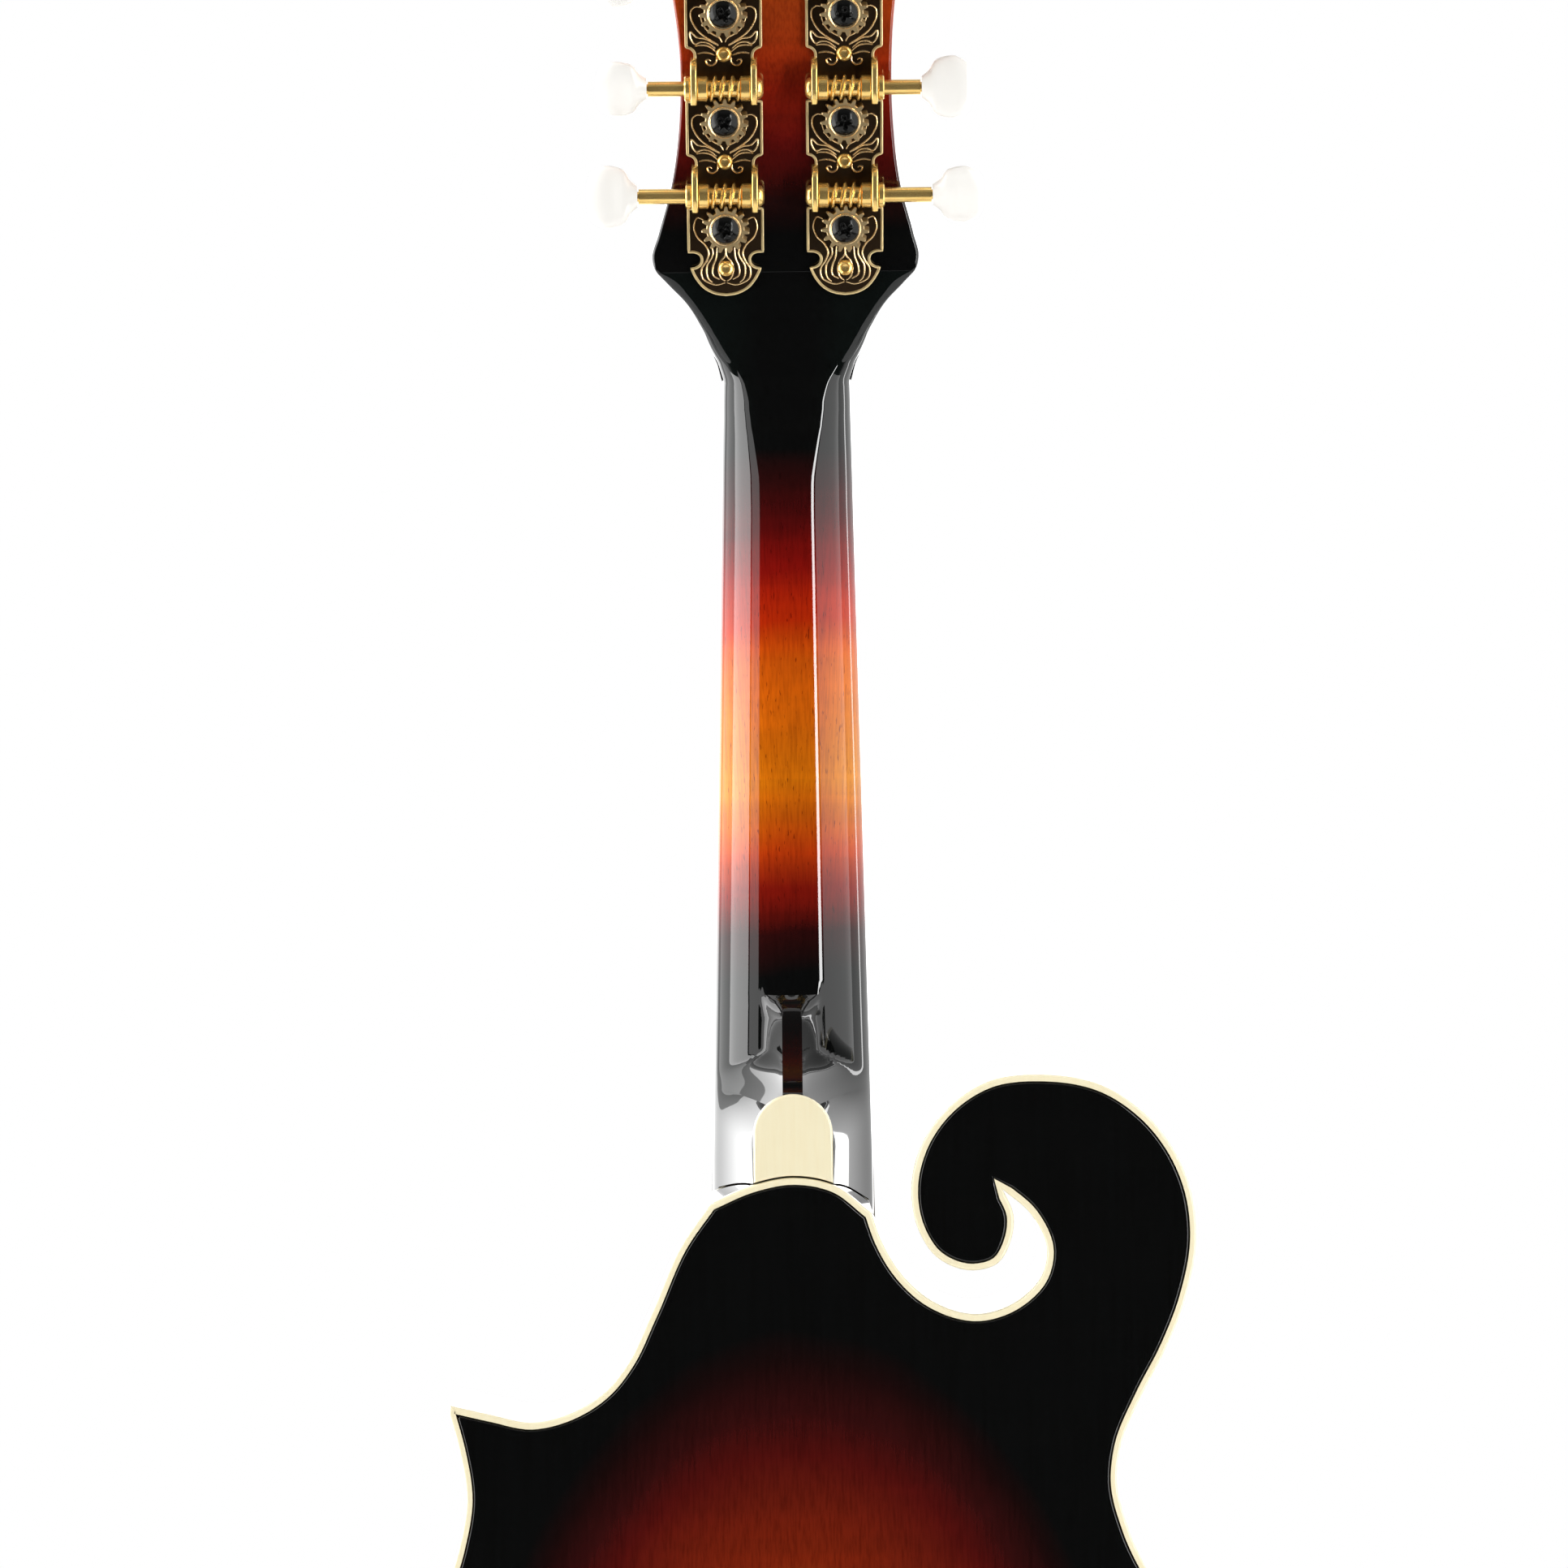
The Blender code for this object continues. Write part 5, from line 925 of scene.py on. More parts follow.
@dataclass
class Body:
    """Plates, bindings, ribs and blocks, in the body's own place."""

    mesh_size: float = 0.0032
    eye: float = 0.0034
    f_hole_half_width: float = 0.0010
    f_hole_swell: float = 0.0014
    edge_rounding: float = 0.0004
    binding_rounding: float = 0.0007
    block_past_joint: float = 0.012
    outline: np.ndarray = field(default_factory=lambda: smooth_loop(
        [JOINT_RUN, CUTAWAY_RUN, WAIST_RUN, LOWER_RUN, SLOT_RUN], OUTLINE_STEP))

    def arch(self, points: np.ndarray) -> np.ndarray:
        """Rise of a plate: squared cosine over an ellipse, eased in from the edge over the recurve."""
        reach = np.minimum(1, np.hypot(points[:, 0] / ARCH_HALF_WIDTH,
                                       (points[:, 1] - ARCH_CENTRE) / ARCH_HALF_LENGTH))
        near_edge = smoothstep(edge_distance(points, self.outline), 0, RECURVE)
        return ARCH_HEIGHT * np.cos(math.pi / 2 * reach) ** 2 * near_edge

    def sound_hole(self, side: int) -> np.ndarray:
        """F-shaped loop: a ribbon along its path, widest in the middle, with a round eye at each end."""
        path = evenly(smooth_run(F_HOLE_PATH, 0.0005), 140)
        travel = travelled(path)
        tangent = unit(np.gradient(path, axis=0))
        from_end = np.minimum(travel, travel[-1] - travel)
        eye = np.sqrt(np.maximum(0, self.eye**2 - (from_end - self.eye) ** 2))
        stem = self.f_hole_half_width + self.f_hole_swell * np.sin(math.pi * travel / travel[-1])
        width = np.maximum(eye, stem)
        width[[0, -1]] = 0
        normal = np.column_stack([-tangent[:, 1], tangent[:, 0]]) * width[:, None]
        return np.vstack([path + normal, (path - normal)[-2:0:-1]]) * (side, 1)

    def plates(self) -> None:
        """Carved top with its sound holes, and carved back."""
        bound = offset_loop(self.outline, BINDING_WIDTH + GAP)
        holes = [self.sound_hole(side) for side in (-1, 1)]
        grid = staggered_grid(bound, self.mesh_size, self.mesh_size * 0.6)
        clear = np.ones(len(grid), bool)
        for hole in holes:
            clear &= (edge_distance(grid, hole) > 0.0012) & ~inside(grid, hole)
        rims = [offset_loop(hole, -0.0016)[::2] for hole in holes]
        top_grid = np.vstack([grid[clear], *rims])
        top = plate(bound, lambda points: TOP_EDGE - self.arch(points),
                    lambda points: TOP_EDGE - self.arch(points) + PLATE_THICKNESS,
                    rounded(self.edge_rounding, 0, 2), holes, top_grid)
        back = plate(bound, lambda points: BACK_EDGE + self.arch(points) - PLATE_THICKNESS,
                     lambda points: BACK_EDGE + self.arch(points),
                     rounded(0, self.edge_rounding, 2), [], grid)
        dressed("top_plate", [(top, TOP_LACQUER)], BODY_PLACE, smooth=50)
        dressed("back_plate", [(back, BACK_LACQUER)], BODY_PLACE, smooth=50)

    def bindings(self) -> None:
        """Ivory strips round both edges, rounded on their outer corner."""
        rounding, turn = self.binding_rounding, quarter_turn(5)
        for name, outer, inner in (("top_binding", TOP_EDGE, TOP_EDGE + PLATE_THICKNESS),
                                   ("back_binding", BACK_EDGE, BACK_EDGE - PLATE_THICKNESS)):
            way = np.sign(inner - outer)
            arc = [(rounding * (1 - math.sin(a)), outer + way * rounding * (1 - math.cos(a))) for a in turn]
            section = [(BINDING_WIDTH, outer), *arc, (0.0, inner), (BINDING_WIDTH, inner)]
            dressed(name, [(edging(self.outline, section), IVORY)], BODY_PLACE)

    def stretch(self, start: tuple, end: tuple) -> tuple[np.ndarray, np.ndarray]:
        """Outline points from the one nearest start to the one nearest end, with their inward normals."""
        count = len(self.outline)
        first = np.linalg.norm(self.outline - start, axis=1).argmin()
        last = np.linalg.norm(self.outline - end, axis=1).argmin()
        picks = (first + np.arange((last - first) % count + 1)) % count
        return self.outline[picks], inward_normals(self.outline)[picks]

    def walls(self) -> None:
        """Ribs round the sides, and the head block whose edge is the scroll."""
        near = TOP_EDGE + PLATE_THICKNESS + GAP
        far = BACK_EDGE - PLATE_THICKNESS - GAP
        spans = {"rib_cutaway": (CUTAWAY_RUN[2], CUTAWAY_RUN[6]), "rib_waist": (CUTAWAY_RUN[6], LOWER_RUN[2]),
                 "rib_treble": (LOWER_RUN[2], LOWER_RUN[8]), "rib_bass": (LOWER_RUN[8], LOWER_RUN[23])}
        for name, (start, end) in spans.items():
            run, normals = self.stretch(start, end)
            inner = run + normals * RIB_THICKNESS
            wall = np.stack([np.insert(edge, 1, y, axis=1) for edge, y in
                             ((run, near), (run, far), (inner, far), (inner, near))], axis=1)
            dressed(name, [(grid_shell(wall), SIDE_LACQUER)], BODY_PLACE)
        run, normals = self.stretch(LOWER_RUN[23], CUTAWAY_RUN[2])
        ends = run[[-1, 0]] + normals[[-1, 0]] * (RIB_THICKNESS + GAP)
        past = self.block_past_joint
        inner_z = SLOT_RUN[5][1] - past
        corners = [(ends[0][0] - past, inner_z), (ends[1][0] + past, inner_z)]
        block = plate(np.vstack([run, ends[:1], corners, ends[1:]]), near, far)
        dressed("head_block", [(block, SIDE_LACQUER)], BODY_PLACE)

    def build(self) -> None:
        """Every piece of the body."""
        self.plates()
        self.bindings()
        self.walls()


NUT_HALF_WIDTH = 0.0155
JOINT_HALF_WIDTH = 0.0198
SCALE_LENGTH = 0.350
FRETS = 22
HEAD_THICKNESS = 0.014
OVERLAY_THICKNESS = 0.002
HEAD_TREBLE_SIDE = [(0.0157, 0.0000), (0.0167, 0.0050), (0.0196, 0.0129), (0.0240, 0.0211), (0.0285, 0.0262),
                    (0.0315, 0.0300), (0.0320, 0.0325), (0.0305, 0.0380), (0.0272, 0.0500), (0.0252, 0.0640),
                    (0.0247, 0.0800), (0.0262, 0.0950), (0.0292, 0.1120), (0.0330, 0.1280), (0.0368, 0.1420),
                    (0.0410, 0.1560)]
HEAD_DIP = [(0.0410, 0.1560), (0.0330, 0.1515), (0.0240, 0.1480), (0.0140, 0.1455), (0.0040, 0.1430),
            (-0.0080, 0.1420), (-0.0180, 0.1445), (-0.0235, 0.1520), (-0.0215, 0.1610)]
HEAD_CURL = [(-0.0215, 0.1610), (-0.0175, 0.1560), (-0.0100, 0.1525), (-0.0020, 0.1535), (0.0045, 0.1590),
             (0.0060, 0.1680), (0.0020, 0.1765), (-0.0070, 0.1825), (-0.0180, 0.1840), (-0.0290, 0.1795),
             (-0.0365, 0.1700), (-0.0385, 0.1580), (-0.0365, 0.1420), (-0.0325, 0.1270), (-0.0290, 0.1110),
             (-0.0265, 0.0950), (-0.0256, 0.0800), (-0.0260, 0.0640), (-0.0277, 0.0500), (-0.0308, 0.0380),
             *[(-x, z) for x, z in HEAD_TREBLE_SIDE[6::-1]]]
POST_ROW_X = 0.0143
POST_RADIUS = 0.0030
POST_PLAY = 0.0007
STRING_HEIGHT = 0.009
WORM_DISTANCE = 0.0079
WORM_HEIGHT = 0.0045
LUG_MIDDLE = 0.00715
UNIT_PITCH = 0.0260
FIRST_GEAR_Z = 0.0409
SIDES = (("bass", -1), ("treble", 1))
GEAR_PLACES = [(name, side, unit, FIRST_GEAR_Z + unit * UNIT_PITCH)
               for name, side in SIDES for unit in range(4)]


def fret_place(number: int) -> float:
    """Distance from the nut to a fret: each fret leaves 2^(-1/12) of the string before it."""
    return SCALE_LENGTH * (1 - 2 ** (-number / 12))


@dataclass
class Neck:
    """Neck with heel and headstock, heel cap, overlay, rod cover, fingerboard and nut."""

    body: Body
    heel_start: float = JOINT_DISTANCE - 0.0441
    heel_end: float = JOINT_DISTANCE - 0.0196
    depth_at_nut: float = 0.0155
    depth_gain: float = 0.002
    tongue_length: float = 0.040
    tongue_gap: float = 0.0008
    bend_start: float = 0.006
    head_start: float = 0.0135
    loft_end: float = 0.0292
    plate_start: float = 0.028
    heel_cap_half_width: float = 0.00945
    heel_cap_length: float = 0.0199
    ridge: float = 0.0024
    fin_foot: float = 0.0070
    heel_cap_thickness: float = 0.002
    board_thickness: float = 0.005
    overlay_start: float = 0.007
    overlay_binding: float = 0.0013
    nut_length: float = 0.005
    nut_rise: float = 0.0014
    nut_rounding: float = 0.0009
    round_steps: int = 49

    @property
    def head_loop(self) -> np.ndarray:
        """Outline of the headstock in its own frame."""
        return smooth_loop([HEAD_TREBLE_SIDE, HEAD_DIP, HEAD_CURL], 0.001)

    @property
    def post_holes(self) -> list[np.ndarray]:
        """The bores for the eight string posts."""
        return [disc(POST_RADIUS + POST_PLAY, 28, (side * POST_ROW_X, z)) for _, side, _, z in GEAR_PLACES]

    def half_width(self, below: np.ndarray) -> np.ndarray:
        """Half width of the neck at distances below the nut."""
        return NUT_HALF_WIDTH + (JOINT_HALF_WIDTH - NUT_HALF_WIDTH) * np.maximum(below, 0) / JOINT_DISTANCE

    def section(self, half: float, depth: float, flat: float, rise: float) -> np.ndarray:
        """(x, y) of one section: straight wall, quarter ellipse, flat to the centre, then mirrored."""
        wall = (depth - rise) * np.linspace(0, 1, 6)[:-1]
        turn = quarter_turn(self.round_steps)
        side = np.column_stack([np.concatenate([np.full(5, half), flat + (half - flat) * np.cos(turn)]),
                                np.concatenate([wall, depth - rise + rise * np.sin(turn)])])
        level = np.column_stack([flat * np.linspace(1, 0, 6)[1:], np.full(5, depth)])
        return self.mirrored(np.vstack([side, level]), half)

    def mirrored(self, quarter: np.ndarray, half: float) -> np.ndarray:
        """A whole section from its treble half, with the points of its flat front."""
        return np.vstack([quarter, quarter[-2::-1] * (-1, 1), [(-half / 2, 0), (0, 0), (half / 2, 0)]])

    def crest(self, above: float) -> float:
        """Half width of the heel's crest, above the joint: the cap's outline, then a thin ridge."""
        cap = self.heel_cap_half_width + 0.0002
        up = (above - (self.heel_cap_length - self.heel_cap_half_width)) / cap
        return max(self.ridge, cap * math.sqrt(max(0.0, 1 - max(up, 0.0) ** 2)))

    def heel_section(self, half: float, depth: float, share: float, cap: float) -> np.ndarray:
        """Section of the heel: a fin on the neck's half ellipse, its foot widened towards the cap.

        Args:
            half: half width of the neck.
            depth: depth of the ellipse.
            share: 0 where the heel starts, 1 at its full depth.
            cap: half width of the fin's crest.

        Returns:
            np.ndarray: the (x, y) points, y = e + (d - e) (1 - s^a)^b, with s from the crest to the foot.
        """
        rounding = half * np.cos(quarter_turn(self.round_steps))
        edged = np.concatenate([cap + (half - cap) * np.cos(quarter_turn(self.round_steps - 9)),
                                cap * np.linspace(1, 0, 10)[1:]])
        x = np.interp(share, [0, 0.1], [0, 1]) * (edged - rounding) + rounding
        x = np.concatenate([np.full(5, half), x, np.zeros(5)])
        wide, young = float(smoothstep(share, 0.62, 1.0)), max(0.0, 1 - share / 0.2)
        foot = max(self.fin_foot + (half - self.fin_foot) * wide, min(half, cap + 0.004))
        away = np.clip((x - cap) / (foot - cap), 0, 1)
        ellipse = depth * np.sqrt(np.maximum(0, 1 - (x / half) ** 2))
        crest = (1 - share) * depth + share * (BACK_EDGE - self.heel_cap_thickness + 0.0004)
        fin = (1 - away ** (1 + young)) ** (2.1 - 1.5 * young)
        return self.mirrored(np.column_stack([x, ellipse + (crest - ellipse) * fin]), half)

    def joint_line(self, x: np.ndarray) -> np.ndarray:
        """Height of the body's edge under the heel, in the body's place."""
        line = smooth_run(JOINT_RUN, 0.0005)
        return np.interp(x, line[:, 0], line[:, 1]) + GAP

    def below_nut(self) -> list[np.ndarray]:
        """World sections from the tongue under the fingerboard up to the nut."""
        straight = JOINT_DISTANCE - 0.010
        stops = np.concatenate([np.linspace(JOINT_DISTANCE, straight, 6)[:-1],
                                straight - 0.0102 * np.sin(quarter_turn(14))[:-1],
                                np.linspace(self.heel_end - 0.0006, self.heel_start, 36)[:-1],
                                np.linspace(self.heel_start, 0.028, 36),
                                np.linspace(0.026, self.bend_start, 11)])
        cap_plane = BACK_EDGE - self.heel_cap_thickness - GAP
        tongue_plane = TOP_EDGE - self.tongue_gap
        sections = []
        for below in stops:
            half = float(self.half_width(below))
            depth = self.depth_at_nut + self.depth_gain * min(1.0, below / self.heel_start)
            down = float(np.interp(below, [self.heel_start, self.heel_end], [0, 1]))
            share = 0.6 * down * (1 - down) ** 2 + (3 - 2 * down) * down**2
            if share > 0:
                shape = self.heel_section(half, depth, share, self.crest(JOINT_DISTANCE - below))
            else:
                flat = float(np.interp(below, [0, 0.008, 0.012, 0.025], [0.0066, 0.0058, 0.0050, 0.0]))
                rise = float(np.interp(below, [0, 0.010, 0.030], [0.0105, 0.0130, depth]))
                shape = self.section(half, depth, flat, rise)
            points = np.column_stack([shape[:, 0], shape[:, 1], np.full(len(shape), -below)])
            points = Shell(points).placed(BODY_PLACE.inverted() @ NECK_PLACE).vertices
            if below > 0.08:
                points[:, 1] = np.minimum(points[:, 1], cap_plane)
            points[:, 2] = np.maximum(points[:, 2], self.joint_line(points[:, 0]))
            if below == stops[0]:
                points[:, 2] = self.joint_line(points[:, 0])
                tongue = points.copy()
                tongue[:, 1] = np.minimum(tongue[:, 1], tongue_plane)
                end = tongue - (0, self.tongue_length * math.tan(NECK_TILT), self.tongue_length)
                end[:, 1] = np.minimum(end[:, 1], tongue_plane)
                sections += [end, tongue]
            sections.append(points)
        return [Shell(points).placed(BODY_PLACE).vertices for points in sections]

    def above_nut(self) -> list[np.ndarray]:
        """World sections from the nut up to where the headstock becomes a plain plate."""
        loop = self.head_loop
        treble = loop[(loop[:, 0] > 0.01) & (loop[:, 1] < 0.04)]
        sections = []
        for up in np.linspace(self.head_start, self.loft_end, 20):
            half = float(np.interp(up, treble[:, 1], treble[:, 0]))
            flat = float(np.interp(up, [0.0, 0.0057, 0.0150, 0.0243, 0.0292],
                                   [0.0095, 0.0125, 0.0170, 0.0227, half - 0.0008]))
            rise = float(np.interp(up, [0.0, 0.006, 0.016, 0.0292], [0.0090, 0.0060, 0.0025, 0.0008]))
            shape = self.section(half - 1e-5, HEAD_THICKNESS - 1e-5, min(flat, half - 0.0008), rise)
            points = np.column_stack([shape[:, 0], shape[:, 1], np.full(len(shape), up)])
            sections.append(Shell(points).placed(HEAD_PLACE).vertices)
        return sections

    def bend(self, first: np.ndarray, last: np.ndarray) -> list[np.ndarray]:
        """World sections between the neck and the head.

        The back follows cubic curves that leave along the neck and arrive along the head. The front follows
        the two flat faces, which meet at the nut.
        """
        span = self.bend_start + self.head_start
        along_neck = np.array(NECK_PLACE)[:3, 2]
        along_head = np.array(HEAD_PLACE)[:3, 2]
        length = np.linalg.norm(last - first, axis=1)[:, None] * 1.1
        depth = Shell(first).placed(NECK_PLACE.inverted()).vertices[:, 1, None]
        weight = smoothstep(depth, 0.0, 0.006)
        sections = []
        outline = np.array(HEAD_TREBLE_SIDE)
        for share in np.linspace(0, 1, 17)[1:-1]:
            curve = hermite(share, first, last, length * along_neck, length * along_head)
            run = span * share
            flat = first + along_neck * run if run < self.bend_start else last - along_head * (span - run)
            row = weight * curve + (1 - weight) * flat
            above = run - self.bend_start
            half = np.interp(above, outline[:, 1], outline[:, 0]) if above > 0 else self.half_width(-above)
            width = first[:, 0] * (1 - share) + last[:, 0] * share
            row[:, 0] = width * half / width.max()
            sections.append(row)
        return sections

    def neck(self) -> None:
        """One smooth skin from the heel to the head, and the headstock's plate with its post holes."""
        below, above = self.below_nut(), self.above_nut()
        sections = below + self.bend(below[-1], above[0]) + above
        skin = grid_shell(np.array(sections))
        head = self.head_loop
        upper = head[head[:, 1] > self.plate_start]
        board = plate(upper, 0.0, HEAD_THICKNESS, rounded(0.0003, 0.0008), self.post_holes).placed(HEAD_PLACE)
        dressed("neck", [(skin, NECK_LACQUER), (board, HEAD_LACQUER)], WORLD, smooth=30)

    def heel_cap(self) -> None:
        """Ivory cap on the heel, its free edge rounded."""
        half, length = self.heel_cap_half_width, self.heel_cap_length
        turn = np.linspace(0, math.pi, 49)
        arc = np.column_stack([half * np.cos(turn), length - half + half * np.sin(turn)])
        foot_x = np.linspace(-half, half, 13)
        loop = np.vstack([arc, np.column_stack([foot_x, self.joint_line(foot_x) + GAP / 2])])
        cap = plate(loop, BACK_EDGE - self.heel_cap_thickness, BACK_EDGE, rounded(0, 0.0007))
        dressed("heel_cap", [(cap, IVORY)], BODY_PLACE)

    def overlay(self) -> None:
        """Bound ebony face of the headstock, and the cover of the truss rod's nut."""
        loop = self.head_loop
        start = self.overlay_start
        above = loop[loop[:, 1] > start + GAP]
        half = float(np.interp(start, [z for _, z in HEAD_TREBLE_SIDE], [x for x, _ in HEAD_TREBLE_SIDE]))
        outline = np.vstack([[(half, start)], above, [(-half, start)]])
        near, far, width = -GAP - OVERLAY_THICKNESS, -GAP, self.overlay_binding
        face = plate(offset_loop(outline, width), near, far, rounded(0.0001, 0), self.post_holes)
        section = [(width, near), (0.0004, near), (0.0, near + 0.0004), (0.0, far), (width, far)]
        parts = [(face, EBONY), (edging(outline, section), IVORY)]
        dressed("headstock_overlay", parts, HEAD_PLACE, smooth=30)
        rise = np.linspace(0, 1, 30)
        edge = 0.0075 - 0.0056 * rise**1.6
        z = start + 0.0008 + rise * 0.030
        cover = np.vstack([np.column_stack([edge, z]), np.column_stack([-edge, z])[::-1]])
        back = near - GAP
        screw = revolved([(0.0, 0.0), (0.0013, 0.0), (0.0010, -0.0005), (0.0, -0.0007)], 20)
        dressed("truss_rod_cover", [(plate(cover, back - 0.0015, back, rounded(0.0005, 0)), EBONY),
                                    *[(on_axis(screw, "Y", (0, back - 0.0014, level)), GOLD)
                                      for level in (0.0115, 0.0355)]], HEAD_PLACE, smooth=30)

    def fingerboard(self) -> None:
        """Board with ivory edges, crowned frets and shell dots."""
        length = fret_place(FRETS) + 0.0142
        surface = -GAP - self.board_thickness
        ends = np.array([GAP, length])
        half = self.half_width(ends)
        wide = 0.0014
        core = np.array([(half[0] - wide, -ends[0]), (half[1] - wide, -ends[1]),
                         (wide - half[1], -ends[1]), (wide - half[0], -ends[0])])
        parts = [(plate(core, surface, -GAP), BOARD)]
        for side in (-1, 1):
            strip = np.array([(half[0], -ends[0]), (half[1], -ends[1]),
                              (half[1] - wide, -ends[1]), (half[0] - wide, -ends[0])]) * (side, 1)
            parts.append((plate(strip, surface, -GAP, rounded(0.0004, 0, 3)), IVORY))
        turn = np.linspace(0, math.pi, 9)
        lift = np.array([0.2, 1.0, 1.0, 0.2])[:, None]
        for number in range(1, FRETS + 1):
            below = fret_place(number)
            reach = float(self.half_width(below)) - 0.0003
            x = np.array([-reach, 0.0004 - reach, reach - 0.0004, reach])[:, None]
            points = np.stack(np.broadcast_arrays(x, surface - 0.0009 * np.sin(turn) * lift,
                                                  -below + 0.0005 * np.cos(turn)), -1)
            parts.append((grid_shell(points), FRET_STEEL))
        for fret, x in ((5, 0), (7, 0), (10, 0), (12, -0.006), (12, 0.006), (15, 0)):
            middle = (fret_place(fret - 1) + fret_place(fret)) / 2
            dot = plate(disc(0.0028, 32, (x, -middle)), surface - 0.00003, surface + 0.0005)
            parts.append((dot, SHELL))
        dressed("fingerboard", parts, NECK_PLACE, smooth=30)

    def nut(self) -> None:
        """Bone nut with a rounded crown."""
        half = NUT_HALF_WIDTH - GAP
        top = -GAP - self.board_thickness - self.nut_rise
        turn = quarter_turn(7)
        low, high = 2 * GAP, self.nut_length
        inset, drop = self.nut_rounding * (1 - np.sin(turn)), self.nut_rounding * (1 - np.cos(turn))
        profile = np.vstack([[(high, -GAP)], np.column_stack([high - inset, top + drop])[::-1],
                             np.column_stack([low + inset, top + drop]), [(low, -GAP)]])
        points = np.stack([np.column_stack([np.full(len(profile), x), profile[:, 1], profile[:, 0]])
                           for x in np.linspace(-half, half, 5)])
        dressed("nut", [(grid_shell(points), BONE)], NECK_PLACE)

    def build(self) -> None:
        """Every piece of the neck."""
        self.neck()
        self.heel_cap()
        self.overlay()
        self.fingerboard()
        self.nut()


# Engraved ribbons in millimetres from the gear's centre, one half of each mirrored pair
LAND_RIBBONS = [
    [(1.18, -8.24), (3.40, -6.87), (5.63, -5.22), (7.07, -3.30), (7.72, -1.38), (7.46, 0.27), (6.41, 0.97),
     (5.50, 0.83)],
    [(0.39, -7.56), (0.92, -6.59), (2.49, -5.64), (4.06, -4.40), (5.10, -2.48), (5.37, -1.38)],
    [(1.18, -8.38), (2.49, -7.70), (4.32, -6.73), (6.41, -6.32), (7.85, -4.95), (7.72, -6.87), (6.68, -7.97),
     (5.63, -7.56), (3.80, -7.70), (1.96, -9.07)],
    [(6.81, -8.44), (5.10, -8.24), (3.53, -8.53), (2.36, -9.35), (1.70, -10.03)],
    [(6.15, -10.31), (4.58, -10.03), (3.01, -10.31), (2.09, -10.72)],
    [(1.70, -10.99), (1.83, -12.37), (2.88, -13.14), (3.93, -12.78), (4.19, -11.96), (3.53, -11.69),
     (3.14, -12.10)]]
FAN_RIBBONS = [
    [(5.33, 1.47), (6.58, 1.99), (7.57, -0.10), (6.83, -2.72), (4.83, -4.82), (4.09, -6.92), (4.58, -8.49),
     (5.83, -10.58), (5.58, -12.94), (4.09, -13.99), (2.34, -14.51), (0.20, -14.00)],
    [(3.34, -4.82), (3.09, -6.92), (4.58, -10.06), (4.09, -13.20), (3.30, -13.90)],
    [(2.09, -5.34), (2.34, -7.96), (3.09, -10.06), (3.09, -12.15), (1.59, -13.20)],
    [(0.10, -5.60), (0.10, -7.18), (1.35, -9.01), (1.74, -11.11), (1.10, -12.94), (0.20, -13.60)]]
BUTTON_SECTIONS = [(0.00, 0.34, 0.82), (0.12, 0.50, 0.88), (0.32, 0.90, 0.97), (0.62, 1.00, 1.00),
                   (0.88, 0.82, 0.86), (1.00, 0.44, 0.46)]


